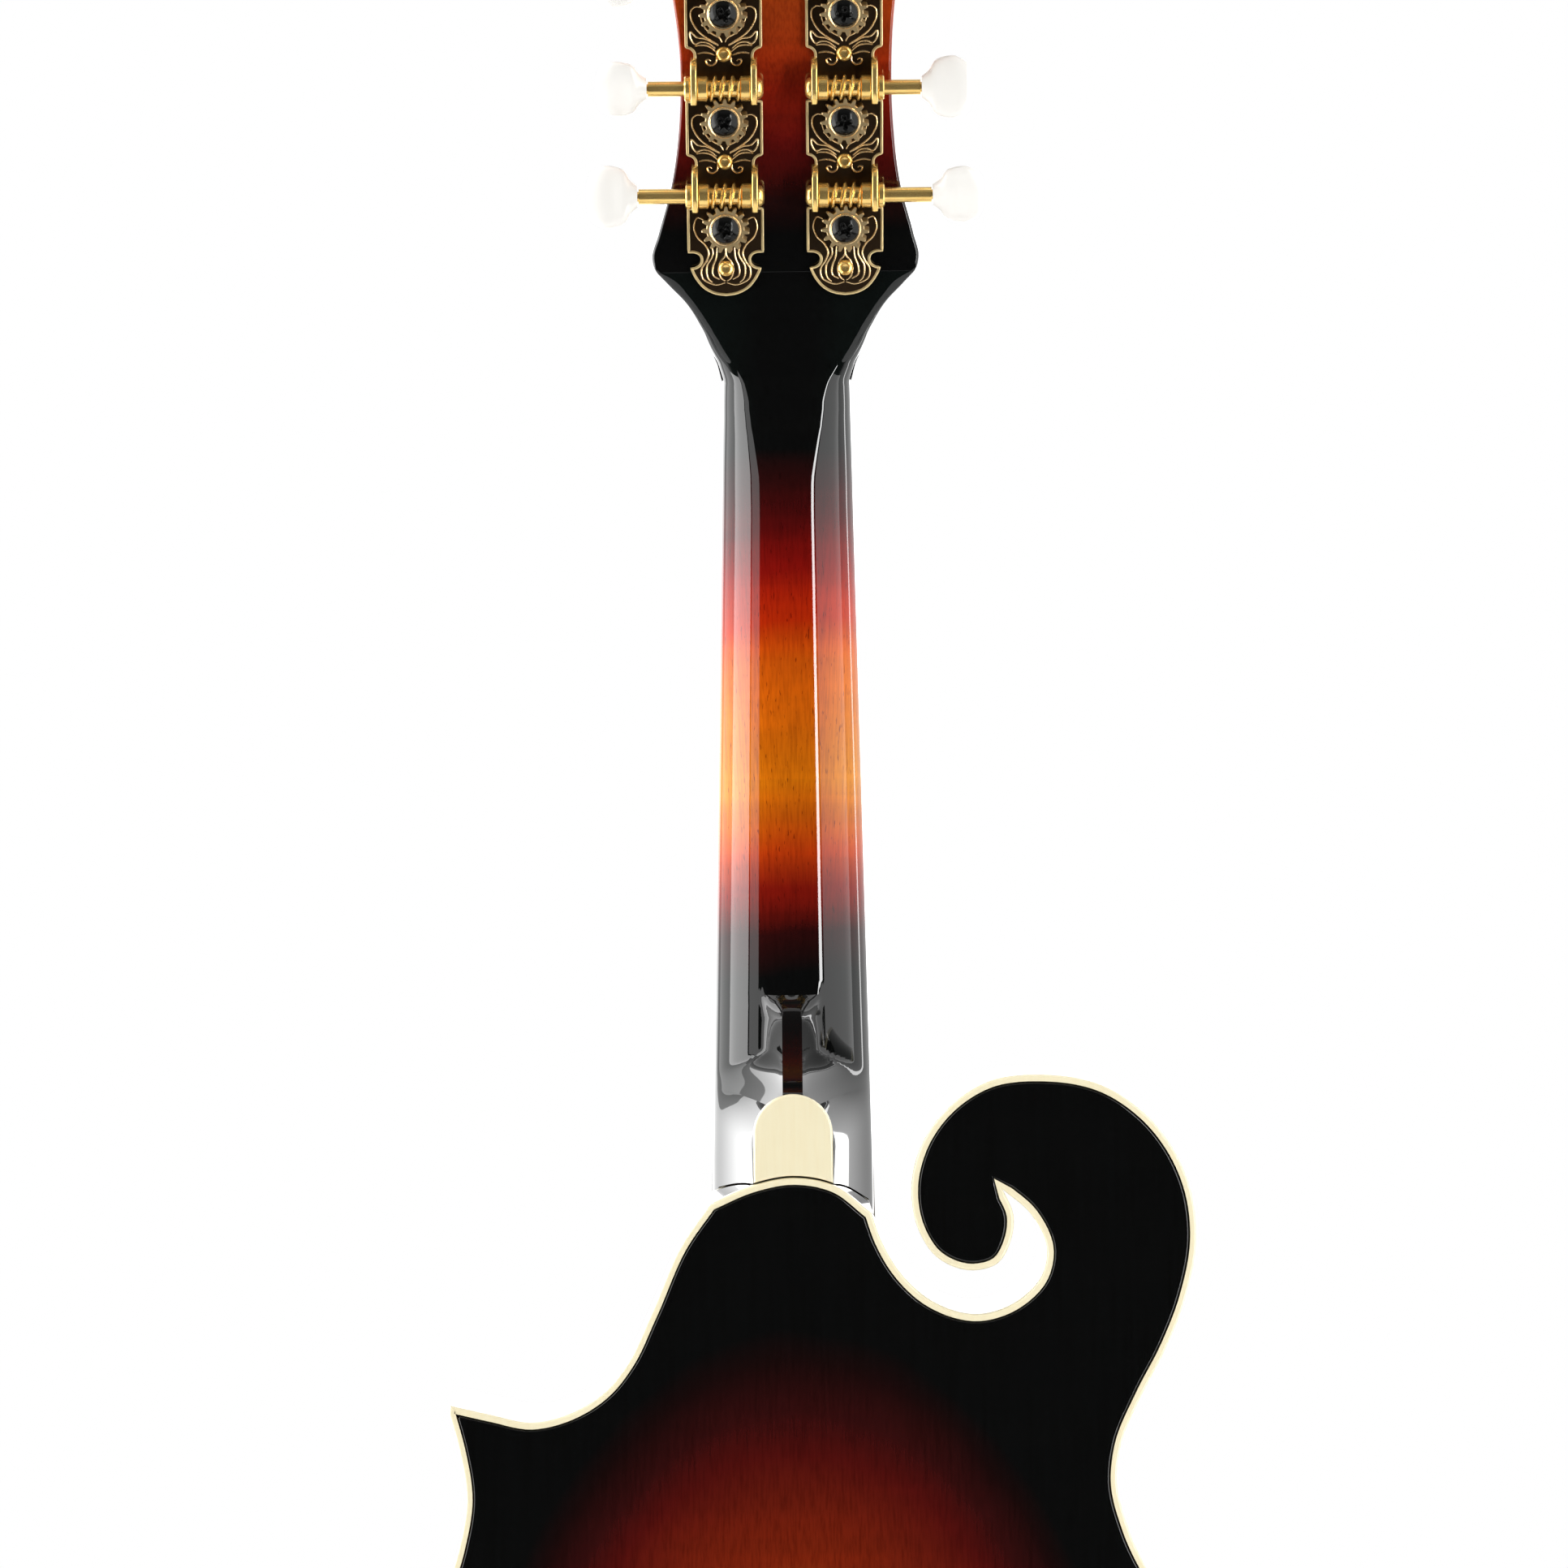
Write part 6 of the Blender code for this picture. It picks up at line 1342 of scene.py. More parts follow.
@dataclass
class Tuner:
    """One tuner unit, built round its gear's centre on the back of the headstock.

    Args:
        name: side and number, as in the CAD.
        side: -1 for bass, 1 for treble.
        height: the gear's place up the headstock.
        button_start: distance of the button from the centreline.
        button_turn: how far the button is turned at rest.
        string: finish and radius of the string that is wound on the post.
    """

    name: str
    side: int
    height: float
    button_start: float
    button_turn: float
    string: tuple[Finish, float]
    teeth: int = 15
    tooth_slant: float = math.radians(4.8)
    tip_radius: float = 0.00575
    tooth_depth: float = 0.0012
    worm_half: float = 0.0038
    worm_root: float = 0.0021
    thread_rise: float = 0.0010
    lug_half: float = 0.00085
    lead: float = 0.002094
    waist_radius: float = 0.0028
    coils: float = 3.25
    button_size: tuple = (0.012, 0.0028, 0.0075)
    dimple: float = 0.10

    @property
    def place(self) -> Matrix:
        """From the gear's centre to the world."""
        return HEAD_PLACE @ Matrix.Translation((self.side * POST_ROW_X, HEAD_THICKNESS, self.height))

    def gear(self) -> Shell:
        """Gear with slanted teeth: the rim's radius falls from tip to root across each flank."""
        angle, pitch = full_turn(240), 2 * np.pi / self.teeth
        height, inset = np.array([(0.0030, 0.0002), (0.0032, 0.0), (0.0045, 0.0), (0.0058, 0.0),
                                  (0.0060, 0.0002)]).T[:, :, None]
        twist = self.tooth_slant * (height - WORM_HEIGHT) / 0.003
        away = np.abs((angle - np.pi / 2 - twist + pitch / 2) % pitch - pitch / 2)
        radius = self.tip_radius - self.tooth_depth * np.clip((away - 0.048) / 0.073, 0, 1) - inset
        return grid_shell(np.stack(np.broadcast_arrays(radius * np.cos(angle), height,
                                                       radius * np.sin(angle)), -1))

    def screw(self, turn: float) -> Shell:
        """Domed head with a crossed recess: dome height less a smooth mask of the two arms."""
        radius, angle = np.meshgrid(np.linspace(0.0032, 0.00008, 30), full_turn(96), indexing="ij")
        u, v = radius * np.cos(angle + turn), radius * np.sin(angle + turn)
        arms = [(1 - smoothstep(np.abs(p), 0.00028, 0.00062)) * (1 - smoothstep(np.abs(q), 0.0013, 0.0020))
                for p, q in ((u, v), (v, u))]
        depth = 0.0011 * np.maximum(arms[0], arms[1]) * (1 - radius / 0.0045)
        y = 0.0061 + 0.0016 * (1 - (radius / 0.0034) ** 2.2) - depth
        top = np.stack([radius * np.cos(angle), y, radius * np.sin(angle)], -1)
        skirt = top[:1] * (1, 0, 1) + (0, 0.0050, 0)
        return grid_shell(np.concatenate([skirt, top]))

    def gear_post(self, turn: float) -> None:
        """Gear, its screw in a bright ring, and the post with a few turns of string."""
        ring = on_axis(revolved([(0.0, 0.0058), (0.0038, 0.0058), (0.0038, 0.0062), (0.0036, 0.0064),
                                 (0.0033, 0.0062), (0.0, 0.0060)], 48), "Y")
        reach = HEAD_THICKNESS + OVERLAY_THICKNESS + GAP + 0.017
        post = on_axis(revolved([(0.0, -reach), (0.0012, -reach), (0.0013, 0.0006 - reach), (0.0016, -reach),
                                 (0.0024, -reach), (0.0028, 0.0002 - reach), (0.0030, 0.0007 - reach),
                                 (0.0030, 0.0055 - reach), (0.0028, 0.0062 - reach), (0.0028, 0.0110 - reach),
                                 (0.0030, 0.0117 - reach), (0.0030, 0.0045), (0.0, 0.0045)], 32), "Y")
        finish, radius = self.string
        angle = np.linspace(0, 2 * np.pi * self.coils, 120)
        start = HEAD_THICKNESS + GAP + OVERLAY_THICKNESS + STRING_HEIGHT - 2.6 * radius
        away = self.waist_radius + radius
        coil = np.column_stack([away * np.cos(angle), angle / (2 * np.pi) * 2.1 * radius - start,
                                away * np.sin(angle)])
        dressed("gear_post_" + self.name,
                [(self.gear(), GEAR_BRASS), (ring, LINE_GOLD), (self.screw(turn), BLACK_STEEL), (post, GOLD),
                 (swept(coil, round_section(radius, 8)), finish)], self.place, "post_" + self.name)

    def worm(self) -> None:
        """Shaft with its collars, cap and left-hand thread; the thread's crest follows x = lead x turn."""
        x, angle = np.linspace(-self.worm_half, self.worm_half, 122)[:, None], full_turn(36)
        phase = x / self.lead - 0.5 + (angle + np.pi / 2) / (2 * np.pi)
        away = np.abs(phase - np.round(phase)) * self.lead
        radius = self.worm_root + self.thread_rise * (1 - smoothstep(away, 0.00016, 0.00054))
        thread = np.stack(np.broadcast_arrays(x, radius * np.cos(angle), radius * np.sin(angle)), -1)
        lug_in, lug_out = LUG_MIDDLE - self.lug_half, LUG_MIDDLE + self.lug_half
        button = self.button_start - POST_ROW_X
        runs = [[(0.0, -lug_out - 0.0014), (0.0017, -lug_out - 0.0013), (0.0024, -lug_out - 0.0007),
                 (0.00255, -lug_out), (0.0014, -lug_out), (0.0014, -lug_in), (0.0028, -lug_in),
                 (0.0030, -lug_in + 0.0002), (0.0030, -0.0041), (0.0028, -0.0039), (0.0020, -0.0037),
                 (0.0, -0.0036)],
                [(0.0, 0.0036), (0.0020, 0.0037), (0.0028, 0.0039), (0.0030, 0.0041),
                 (0.0030, lug_in - 0.0002), (0.0028, lug_in), (0.0014, lug_in), (0.0014, lug_out),
                 (0.0028, lug_out), (0.0030, lug_out + 0.0002), (0.0030, lug_out + 0.0011), (0.0027, lug_out + 0.0014),
                 (0.0018, lug_out + 0.0014), (0.0018, button - GAP), (0.0012, button - GAP),
                 (0.0012, button + 0.0066), (0.0, button + 0.0066)]]
        flip = Matrix.Scale(self.side, 4, (1, 0, 0))
        dressed("worm_shaft_" + self.name,
                [(grid_shell(thread), GOLD),
                 *[(on_axis(revolved(run, 36), "X").placed(flip), GOLD) for run in runs]],
                self.place @ Matrix.Translation((0, WORM_HEIGHT, WORM_DISTANCE)), "worm_" + self.name)

    def button(self) -> None:
        """Oval button: smooth sections from the narrow neck at the shaft to the rounded end."""
        angle = full_turn(48)
        along, wide, thick = smooth_run(BUTTON_SECTIONS, 0.02).T[:, :, None]
        middle = smoothstep(along, 0.25, 0.5) * (1 - smoothstep(along, 0.5, 0.8))
        dimple = 1 - self.dimple * middle * np.abs(np.sin(angle))
        length, half_thickness, half_width = self.button_size
        points = np.stack(np.broadcast_arrays(self.side * along * length,
                                              half_thickness * thick * np.sin(angle) * dimple,
                                              half_width * wide * np.cos(angle)), -1)
        place = (self.side * self.button_start, HEAD_THICKNESS + WORM_HEIGHT, self.height + WORM_DISTANCE)
        turn = Matrix.Rotation(self.button_turn * self.side, 4, "X")
        dressed("button_" + self.name, [(grid_shell(points), PEARLOID)],
                HEAD_PLACE @ Matrix.Translation(place) @ turn, "worm_" + self.name, 60)


@dataclass
class TunerPlate:
    """Engraved plate of four units with its lugs and screws."""

    name: str
    side: int
    thickness: float = 0.0012
    lug_half: float = 0.00075
    plate_screw: float = -0.0105

    def arc(self, centre: tuple[float, float], radius: float, start: float, end: float) -> list:
        """Points of an arc between two angles in degrees."""
        return [(centre[0] + radius * math.cos(a), centre[1] + radius * math.sin(a))
                for a in np.radians(np.linspace(start, end, 9))]

    def loop(self) -> np.ndarray:
        """Outline in millimetres from the lowest gear: pointed fan, round bites, then a land at each gear."""
        tail = smooth_run([(0, -17.2), (2.6, -16.8), (5.3, -15.4), (7.3, -13.0), (8.6, -10.3)], 0.4)
        edge = 9.07
        bite = smooth_run([(8.6, -10.3), (7.4, -10.2), (6.3, -9.5), (5.9, -8.4), (6.3, -7.3), (7.4, -6.7),
                           (edge, -6.65)], 0.3)[1:]
        right = [*map(tuple, tail), *map(tuple, bite)]
        for unit in range(4):
            z = unit * UNIT_PITCH * 1000
            if unit:
                right += [*self.arc((8.85, z - 10.85), 1.85, 180, 90), (edge, z - 9.0)]
            right += [(edge, z + 4.35), *self.arc((8.4, z + 5.75), 1.4, 270, 180)]
        top = 4 * UNIT_PITCH * 1000 - 9.0
        right += [(7.0 * math.cos(a), top + 4.4 * math.sin(a)) for a in quarter_turn(12)]
        right = np.array(right)
        return np.vstack([right, right[-2:0:-1] * (-1, 1)]) / 1000

    def lug(self) -> Shell:
        """Folded lug standing from the plate, bored for the worm shaft; its edges are rounded."""
        outline = np.array([(-0.0006, 0.0068), (-0.0044, 0.0068), (-0.0062, 0.0061), (-0.0073, 0.0046),
                            (-0.0077, 0.0026), (-0.0077, -0.0020), (-0.0071, -0.0034), (-0.0060, -0.0038),
                            (-0.0006, -0.0038)])
        shell = plate(outline, -self.lug_half, self.lug_half, rounded(0.0004, 0.0004),
                      [disc(0.0017, 24, (-WORM_HEIGHT, 0.0))])
        return shell.placed(Matrix.Rotation(-math.pi / 2, 4, "Z"))

    def ribbons(self, lines: list, height: float) -> list[Shell]:
        """Half-round ribbons laid along the lines and mirrored; each one thins towards its ends."""
        shells = []
        for line in lines:
            run = evenly(smooth_run([(x / 1000, z / 1000) for x, z in line], 0.0002), 8 * len(line))
            taper = 0.55 + 0.45 * np.sin(np.pi * np.linspace(0, 1, len(run))) ** 0.7
            for mirror in (1, -1):
                path = np.column_stack([run[:, 0] * mirror, np.full(len(run), self.thickness),
                                        run[:, 1] + height])
                shells.append(swept(path, round_section(0.00026, 8), scale=taper))
        return shells

    def build(self) -> None:
        """Plate, raised border, ribbons, lugs and screws as one piece."""
        loop = self.loop()
        gears = [unit * UNIT_PITCH for unit in range(4)]
        holes = [disc(POST_RADIUS + POST_PLAY, 24, (0.0, z)) for z in gears]
        border = np.insert(offset_loop(loop, 0.00022), 1, self.thickness, axis=1)
        around = evenly(np.vstack([border, border[:1]]), 620)[:-1]
        parts = [(plate(loop, GAP, self.thickness, rounded(0, 0.0002, 2), holes), GROUND),
                 (swept(around, round_section(0.00034, 8, 0.8), closed=True), EDGE_GOLD)]
        for unit, z in enumerate(gears):
            lines = LAND_RIBBONS if unit else FAN_RIBBONS
            parts += [(ribbon, LINE_GOLD) for ribbon in self.ribbons(lines, z)]
            parts += [(self.lug().placed(Matrix.Translation((x, 0, z + WORM_DISTANCE))), GOLD)
                      for x in (-LUG_MIDDLE, LUG_MIDDLE)]
        head = [(0.0, 0.0), (0.0019, 0.0), (0.0019, 0.0005), (0.0017, 0.0010), (0.0014, 0.0012),
                (0.0011, 0.0010), (0.0009, 0.0007), (0.0004, 0.0006), (0.0, 0.0006)]
        parts += [(on_axis(revolved(head, 28), "Y", (0.0, self.thickness - 0.0002, z)), GOLD)
                  for z in self.plate_screw + UNIT_PITCH * np.arange(5)]
        place = HEAD_PLACE @ Matrix.Translation((self.side * POST_ROW_X, HEAD_THICKNESS, FIRST_GEAR_Z))
        dressed("tuner_plate_" + self.name, parts, place)


class Headgear:
    """Both tuner plates and the eight units on them."""

    starts = (0.0352, 0.0326, 0.0326, 0.0352)
    turns = (0.28, -0.35, 0.85, -0.60)
    screw_turns = (0.80, 0.45, 0.20, 1.10)
    def string_of(self, side: int, unit: int) -> tuple[Finish, float]:
        """Finish and radius of the string on one post: the outer strings reach the nearest posts."""
        return STRINGS[COURSES[unit // 2] if side < 0 else COURSES[3 - unit // 2]]

    def build(self) -> None:
        """Every piece of the tuners."""
        for name, side in SIDES:
            TunerPlate(name, side).build()
        for name, side, unit, z in GEAR_PLACES:
            tuner = Tuner(f"{name}_{unit + 1}", side, z, self.starts[unit], self.turns[unit],
                          self.string_of(side, unit))
            tuner.gear_post(self.screw_turns[unit] + 0.3 * side)
            tuner.worm()
            tuner.button()


COURSES = "gdae"
STRINGS = {"g": (WOUND_STRING, 0.00050), "d": (WOUND_STRING, 0.00034), "a": (PLAIN_STRING, 0.00025),
           "e": (PLAIN_STRING, 0.00020)}
BEYOND_JOINT = SCALE_LENGTH - JOINT_DISTANCE
BRIDGE_Z = -BEYOND_JOINT * math.cos(NECK_TILT)
BRIDGE_STRINGS = -0.010
TAIL_Z = -0.305
TAIL_LEAF = TOP_EDGE - 0.0062
TAIL_SHEET = 0.0012
HOOK_Z = TAIL_Z + 0.026
NUT_SPREAD = 0.0235
BRIDGE_SPREAD = 0.0400
TAIL_SHARE = 0.90
PAIR_AT_NUT = 0.0024
PAIR_AT_BRIDGE = 0.0032
SWAP_YZ = Matrix(((1, 0, 0, 0), (0, 0, 1, 0), (0, 1, 0, 0), (0, 0, 0, 1)))


@dataclass
class Bridge:
    """Bridge base with studs, thumbwheels and saddle, in the body's place."""

    body: Body
    half: float = 0.054
    depth: float = 0.011
    spacing: float = 0.060
    travel: float = 0.0025
    stud_radius: float = 0.0016
    wheel_radius: float = 0.0052
    wheel_thickness: float = 0.0018
    base_rise: float = 0.0052
    end_thickness: float = 0.0025
    foot_start: float = 0.036
    saddle_half: float = 0.039
    saddle_depth: float = 0.0045
    saddle_relief: float = 0.0025

    def seat(self, x: np.ndarray) -> np.ndarray:
        """Height of the top plate under the base, the highest over its depth."""
        edges = [np.column_stack([x, np.full(len(x), BRIDGE_Z + shift)])
                 for shift in (-self.depth / 2, 0, self.depth / 2)]
        return TOP_EDGE - np.max([self.body.arch(edge) for edge in edges], axis=0) - GAP

    def solid(self, profile: np.ndarray, depth: float, rounding: float) -> Shell:
        """Solid of an (x, y) end profile carried along Z, its end edges rounded."""
        shell = plate(profile, -depth / 2, depth / 2, rounded(rounding, rounding, 3))
        return shell.placed(Matrix.Translation((0, 0, BRIDGE_Z)) @ SWAP_YZ)

    def stud(self, x: float, near: float, far: float, radius: float) -> Shell:
        """Threaded rod across the body's depth: the radius ripples at half a millimetre."""
        y = np.linspace(near, far, max(4, int((far - near) / 0.00012)))
        profile = [(0.0, near), *[(radius - 0.00012 * (1 + math.cos(level / 0.0005 * 2 * math.pi)), level)
                                  for level in y], (0.0, far)]
        return on_axis(revolved(profile, 24), "Y", (x, 0, BRIDGE_Z))

    def build(self) -> None:
        """Base, wheels and saddle."""
        x = np.linspace(-self.half, self.half, 97)
        seat = self.seat(x)
        base_top = self.seat(np.linspace(-self.half, self.half, 17)).min() - self.base_rise
        share = smoothstep(np.abs(x), self.foot_start, self.half)
        crest = base_top * (1 - share) + (seat - self.end_thickness) * share
        profile = np.vstack([np.column_stack([x, seat]), np.column_stack([x, crest])[::-1]])
        wheel_back = base_top - self.travel - 2 * GAP
        saddle_back = wheel_back - self.wheel_thickness - GAP
        strings_y = -BEYOND_JOINT * math.sin(NECK_TILT) + BRIDGE_STRINGS * math.cos(NECK_TILT)
        front = strings_y + 0.0005 + GAP + 0.0005
        stud_end = front + 0.0006 + 0.0014 + self.travel + GAP
        studs = [(self.stud(side * self.spacing / 2, stud_end, base_top + 0.002, self.stud_radius), GOLD)
                 for _, side in SIDES]
        dressed("bridge_base", [(self.solid(profile, self.depth, 0.0008), EBONY), *studs], BODY_PLACE)
        relief, half, corner = saddle_back - self.saddle_relief, self.saddle_half, 0.0006
        crown = np.array([(half, saddle_back), (half, relief + corner), (half - corner, relief),
                          (0.0330, front + corner), (0.0232, front)])
        arch_x = np.linspace(0.0180, -0.0180, 25)
        under = saddle_back - (saddle_back - relief) * (1 - smoothstep(np.abs(arch_x), 0.012, 0.018))
        outline = np.vstack([crown * (-1, 1), crown[::-1], [(0.0248, saddle_back)],
                             np.column_stack([arch_x, under]), [(-0.0248, saddle_back)]])
        dressed("bridge_saddle", [(self.solid(outline, self.saddle_depth, 0.0005), EBONY)], BODY_PLACE,
                "bridge_saddle")
        angle, notches = full_turn(144), 0.00018 * (np.arange(144) % 3 == 0)
        loop = np.column_stack([np.cos(angle), np.sin(angle)]) * (self.wheel_radius - notches)[:, None]
        wheel = plate(loop, -self.wheel_thickness, 0.0, rounded(0.0002, 0.0002, 2), [disc(0.0019, 24)])
        for name, side in SIDES:
            place = BODY_PLACE @ Matrix.Translation((side * self.spacing / 2, wheel_back, BRIDGE_Z))
            dressed("bridge_wheel_" + name, [(wheel, GOLD)], place, "bridge_wheel_" + name)


# Raised lines of the tailpiece cover in millimetres from the tail, one half of each mirrored pair
COVER_SCROLLS = [[(0, 6), (5, 8), (9, 13), (7, 18), (3, 17), (3.5, 14)],
                 [(0, 22), (6, 21), (12, 16), (16, 18), (15, 23), (11, 23)],
                 [(0, 32), (7, 30), (13, 26), (19, 28), (18, 34), (14, 33)]]


def strings_at(spread: float, pair: float) -> list[tuple[str, int, int, float]]:
    """Course, its number, member and x of each string, where the outer courses are a spread apart."""
    return [(course, index, member, (index / 3 - 0.5) * spread + (member - 0.5) * pair)
            for index, course in enumerate(COURSES) for member in (0, 1)]


@dataclass
class Tail:
    """Tailpiece bracket, its sliding cover and the end pin, in the body's place."""

    half_width: float = 0.024
    length: float = 0.040
    bend: float = 0.0012
    cover_rise: float = 0.0095
    cover_sheet: float = 0.0008
    cover_rounding: float = 0.00665
    cheek: float = 0.0256
    seat: float = TAIL_Z - 2 * GAP - TAIL_SHEET
    pin_y: float = (TOP_EDGE + BACK_EDGE) / 2

    def across(self, profile: np.ndarray, half: float, rounding: float, holes: list | None = None) -> Shell:
        """Solid of a (z, y) side profile carried across the centreline, its side edges rounded."""
        shell = plate(profile, -half, half, rounded(rounding, rounding, 3), holes)
        swap = Matrix(((0, 1, 0, 0), (0, 0, 1, 0), (1, 0, 0, 0), (0, 0, 0, 1)))
        return shell.placed(swap)

    def bracket(self) -> None:
        """Bent plate with a bore for the end pin, and a hook for each string."""
        inner, outer = TAIL_Z - GAP, TAIL_Z - GAP - TAIL_SHEET
        over, front = TAIL_LEAF - TAIL_SHEET, TAIL_Z + self.length
        leaf = [(front, over), (front, TAIL_LEAF), (inner, TAIL_LEAF), (outer, TAIL_LEAF)]
        bend = [(outer + self.bend * (1 - math.sin(a)), over + self.bend * (1 - math.cos(a)))
                for a in quarter_turn(6)]
        half = np.array([(self.half_width, TAIL_LEAF), (self.half_width, 0.018), (0.021, 0.027),
                         (0.013, 0.036), (0.006, TOP_EDGE + 0.034)])
        drop = np.vstack([half[:1] * (-1, 1), half, half[:0:-1] * (-1, 1)])
        wall = plate(drop, outer, inner, rounded(0.0003, 0, 3), [disc(0.0038, 28, (0.0, self.pin_y))])
        parts = [(self.across(np.array([*leaf, *bend[::-1]]), self.half_width, 0.0003), GOLD),
                 (wall.placed(SWAP_YZ), GOLD)]
        for _, _, _, x in strings_at(BRIDGE_SPREAD, PAIR_AT_BRIDGE):
            low, high = np.array([(-0.0009, -0.004, -0.004), (0.0009, 0, 0)]) + (x * TAIL_SHARE, over, HOOK_Z)
            parts.append((bar(low, high, 0.0005), GOLD))
        dressed("tailpiece_base", parts, BODY_PLACE)

    def cover(self) -> None:
        """Bent sheet with closed cheeks and raised scrolls, slid over the bracket."""
        over, front = TAIL_LEAF - TAIL_SHEET, TAIL_Z + self.length
        low, crown = over - GAP, over - self.cover_rise
        tail = TAIL_Z - GAP - TAIL_SHEET - self.bend - self.cover_sheet
        turn = quarter_turn(14)
        lines = []
        for inset in (0.0, self.cover_sheet):
            rounding = self.cover_rounding - inset
            corner = np.column_stack([tail + inset + rounding * (1 - np.cos(turn)),
                                      crown + inset + rounding * (1 - np.sin(turn))])
            lines.append(np.vstack([[(tail + inset, low)], corner, [(front, crown + inset)]]))
        sheet = self.across(np.vstack([lines[0], lines[1][::-1]]), self.half_width + 0.002, 0.0004)
        cheek = self.across(np.vstack([lines[0], [(front, low)]]), 0.0004, 0.0001)
        parts = [(sheet, GOLD)]
        parts += [(cheek.placed(Matrix.Translation((x, 0, 0))), GOLD) for x in (-self.cheek, self.cheek)]
        for line in COVER_SCROLLS:
            run = evenly(smooth_run([(a / 1000, b / 1000) for a, b in line], 0.0003), 40)
            for mirror in (1, -1):
                path = np.column_stack([run[:, 0] * mirror, np.full(40, crown + 0.00012), run[:, 1] + TAIL_Z])
                parts.append((swept(path, round_section(0.0003, 8)), LINE_GOLD))
        dressed("tailpiece_cover", parts, BODY_PLACE, "tailpiece_cover")

    def end_pin(self) -> None:
        """Turned pin with a shell dot, its profile measured out from its seat."""
        inner_end = TAIL_Z + 0.018 - self.seat
        head = [(0.0, -0.0129), (0.0024, -0.0128), (0.0037, -0.0124), (0.0045, -0.0116), (0.0048, -0.0108),
                (0.0044, -0.0094), (0.0034, -0.0074), (0.0030, -0.0052), (0.0035, -0.0024), (0.0052, -0.0004),
                (0.0052, 0.0), (0.0035, 0.0), (0.0030, inner_end), (0.0, inner_end)]
        dot = [(0.0, -0.0130), (0.0017, -0.01296), (0.0017, -0.0125), (0.0, -0.0125)]
        dressed("end_pin", [(revolved(head, 40), EBONY), (revolved(dot, 28), SHELL)],
                BODY_PLACE @ Matrix.Translation((0, self.pin_y, self.seat)))

    def build(self) -> None:
        """Every piece of the tail."""
        self.bracket()
        self.cover()
        self.end_pin()


@dataclass
class Strings:
    """Eight strings in four pairs, from post over nut and saddle to the tailpiece hooks."""

    neck: Neck

    def build(self) -> None:
        """Each string is a fine tube with small bends at the nut and the saddle."""
        nut_y = -(2 * GAP + self.neck.board_thickness + self.neck.nut_rise)
        hook_y = TAIL_LEAF - TAIL_SHEET - 0.0024
        at_nut = strings_at(NUT_SPREAD, PAIR_AT_NUT)
        at_bridge = strings_at(BRIDGE_SPREAD, PAIR_AT_BRIDGE)
        for (course, index, member, x_nut), (_, _, _, x_bridge) in zip(at_nut, at_bridge):
            finish, radius = STRINGS[course]
            side, from_edge = (-1, 2 * index + member) if index < 2 else (1, 2 * (3 - index) + 1 - member)
            post_x = side * (POST_ROW_X - POST_RADIUS - radius - 0.0006)
            route = [BODY_PLACE @ Vector((x_bridge * TAIL_SHARE, hook_y, HOOK_Z + radius + GAP)),
                     NECK_PLACE @ Vector((x_bridge, BRIDGE_STRINGS, -SCALE_LENGTH)),
                     NECK_PLACE @ Vector((x_nut, nut_y - radius, 0.0041)),
                     HEAD_PLACE @ Vector((post_x, -(GAP + OVERLAY_THICKNESS + STRING_HEIGHT),
                                          FIRST_GEAR_Z + from_edge * UNIT_PITCH))]
            stops = [start.lerp(end, part) for start, end in zip(route[:-1], route[1:])
                     for part in (0.0, 0.01, 0.25, 0.5, 0.75, 0.99)]
            path = np.array([list(stop) for stop in [*stops, route[-1]]])
            tube = swept(path, round_section(radius * 0.88, 12), with_uv=True)
            dressed(f"string_{course}{member + 1}", [(tube, finish)], WORLD, smooth=60)


def inner_pieces() -> None:
    """Finishes for the CAD solids that stay as they are inside the body and the neck."""
    for name, finish in (("tail_block", INNER_WOOD), ("tone_bar_bass", INNER_WOOD),
                         ("tone_bar_treble", INNER_WOOD), ("truss_rod", STEEL)):
        node = frame["nodes"][name]
        node.data.materials.clear()
        node.data.materials.append(finish.material())


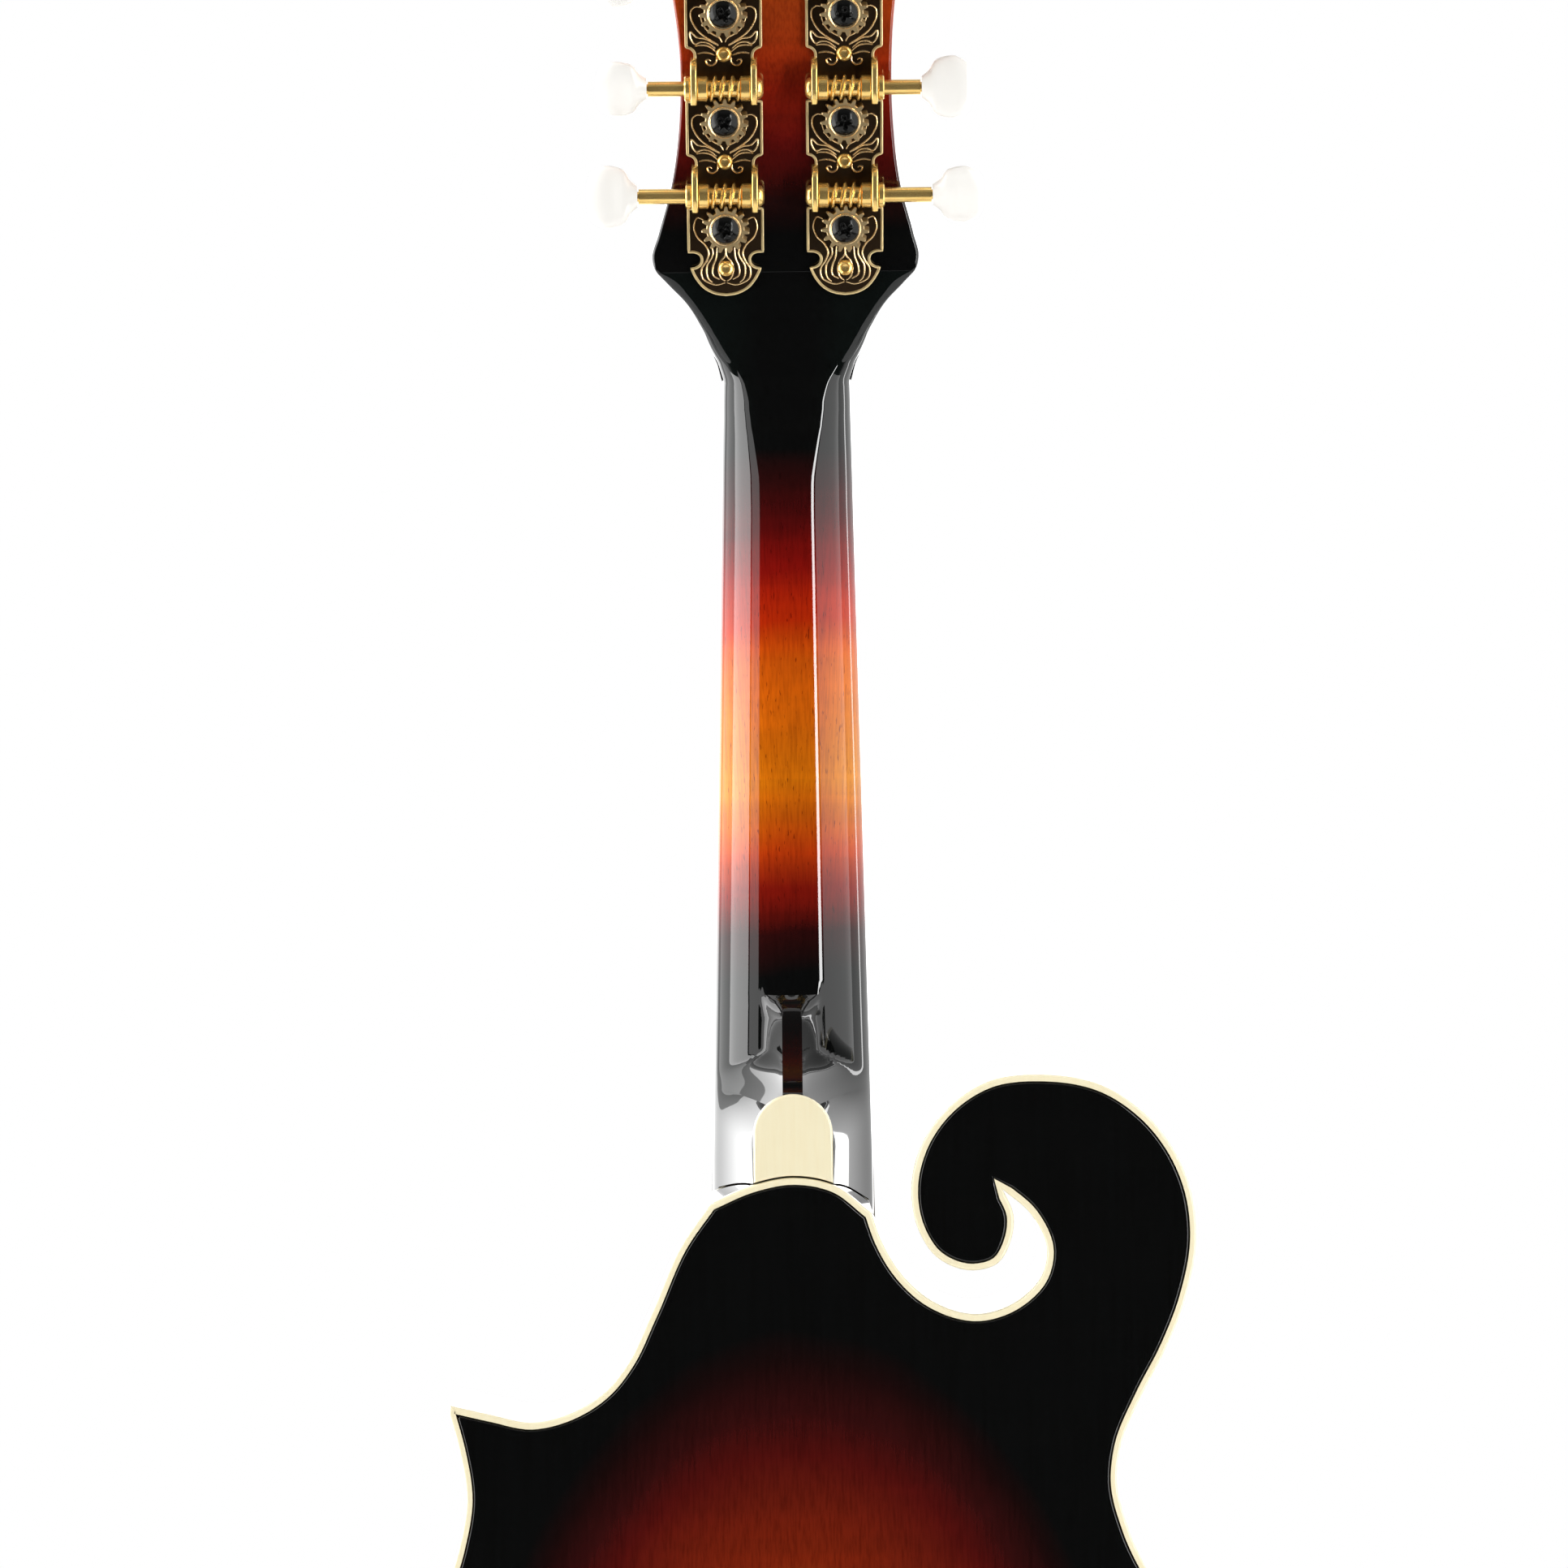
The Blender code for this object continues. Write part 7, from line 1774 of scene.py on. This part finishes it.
@dataclass
class Studio:
    """Camera, pale floor, white surround and soft lamps."""

    eye: tuple = (0.00144, 1.493, -0.0996)
    lens: float = 140.6
    floor_z: float = CAD_BOX[0][2] - 0.001
    floor_radius: float = 0.6

    def camera(self) -> None:
        """Long lens square on to the back, turned a hair so that the neck leans as in the picture."""
        data = bpy.data.cameras.new("camera")
        data.lens = self.lens
        data.sensor_width = 36.0
        camera = bpy.data.objects.new("camera", data)
        right, up, back = Vector((-1, 0, -0.00851)), Vector((-0.00851, 0, 1)), Vector((0, 1, 0))
        turn = Matrix((right.normalized(), up.normalized(), back)).transposed().to_4x4()
        camera.matrix_world = Matrix.Translation(self.eye) @ turn
        bpy.context.scene.collection.objects.link(camera)
        bpy.context.scene.camera = camera

    def floor(self) -> None:
        """Plain pale disc under the object."""
        mesh = bpy.data.meshes.new("floor")
        ring = disc(self.floor_radius, 96)
        vertices = np.column_stack([ring, np.full(len(ring), self.floor_z)])
        mesh.from_pydata(vertices.tolist(), [], [list(range(len(ring)))])
        material, graph = material_graph("floor_white")
        cloud = graph.noise(3.0, 2.0)
        graph.surface(Base_Color=graph.mix(cloud, (0.86, 0.86, 0.86), (0.90, 0.90, 0.90)), Roughness=0.8)
        mesh.materials.append(material)
        floor = bpy.data.objects.new("floor", mesh)
        bpy.context.scene.collection.objects.link(floor)

    def world(self) -> None:
        """White to the camera; mirrors see dark round the lens and overhead, white behind and far below."""
        world = bpy.data.worlds.new("surround")
        world.use_nodes = True
        bpy.context.scene.world = world
        graph = Graph(world.node_tree, world.node_tree.nodes["Background"])
        path = graph.node("ShaderNodeLightPath")
        ray = {name: Value(graph, path.outputs["Is " + name + " Ray"])
               for name in ("Camera", "Glossy", "Transmission")}
        where = graph.node("ShaderNodeTexCoord").outputs["Generated"]
        _, y, z = graph.axes(where)
        behind = y.ease(0.10, -0.25) * (1 - z.ease(0.60, 0.88) * 0.85)
        above = z.ease(0.50, 0.70) * 0.22
        below = z.ease(-0.69, -0.80) * 0.8
        seen = behind + below + above + 0.03
        mirror = ray["Glossy"].math("MAXIMUM", ray["Transmission"])
        plain = (1 - mirror) * 0.16
        strength = (ray["Camera"] + (1 - ray["Camera"]) * (mirror * seen + plain)).math("MINIMUM", 1.0)
        graph.set(graph.shader.inputs["Color"], (1.0, 1.0, 1.0))
        graph.set(graph.shader.inputs["Strength"], strength)

    def lamp(self, name: str, place: tuple, target: tuple, size: tuple, power: float) -> None:
        """One soft rectangular lamp that the camera doesn't see."""
        data = bpy.data.lights.new(name, "AREA")
        data.shape = "RECTANGLE"
        data.size, data.size_y = size
        data.energy = power
        lamp = bpy.data.objects.new(name, data)
        away = Vector(place) - Vector(target)
        lamp.matrix_world = Matrix.Translation(place) @ away.to_track_quat("Z", "Y").to_matrix().to_4x4()
        lamp.visible_camera = False
        bpy.context.scene.collection.objects.link(lamp)

    def build(self) -> None:
        """Everything round the object."""
        bpy.context.scene.view_settings.view_transform = "Standard"
        self.camera()
        self.floor()
        self.world()
        for name, angle, distance, size, radiance in (
                ("soft_box", 84, 1.35, (0.90, 2.6), 6.0), ("soft_box_edge", 56, 1.38, (0.36, 2.6), 2.0),
                ("soft_box_side", 118, 1.35, (0.76, 1.6), 1.1), ("wall_left", 156, 1.35, (0.60, 1.6), 1.7),
                ("strip", -43, 1.30, (0.10, 1.6), 18.8), ("side_box", -74, 1.35, (1.32, 2.4), 2.0),
                ("side_strip", -124, 1.35, (0.09, 1.6), 5.0), ("wall_right", -163, 1.35, (0.20, 1.6), 2.0),
                ("wall_middle", 180, 1.40, (1.10, 1.1), 1.35)):
            turn = math.radians(angle)
            middle = size[1] / 2 - 0.85
            place = (distance * math.sin(turn), distance * math.cos(turn), middle)
            self.lamp(name, place, (0.0, 0.0, middle), size, radiance * math.pi * size[0] * size[1])
        self.lamp("overhead", (0.0, 0.15, 1.30), (0.0, 0.0, -0.1), (1.2, 0.5), 3.0)


def main() -> None:
    """Dress the whole object."""
    logging.basicConfig(level=logging.INFO, format="%(message)s")
    body = Body()
    neck = Neck(body)
    for assembly in (body, neck, Headgear(), Bridge(body), Tail(), Strings(neck)):
        assembly.build()
    inner_pieces()
    Studio().build()


if __name__ == "__main__":
    main()
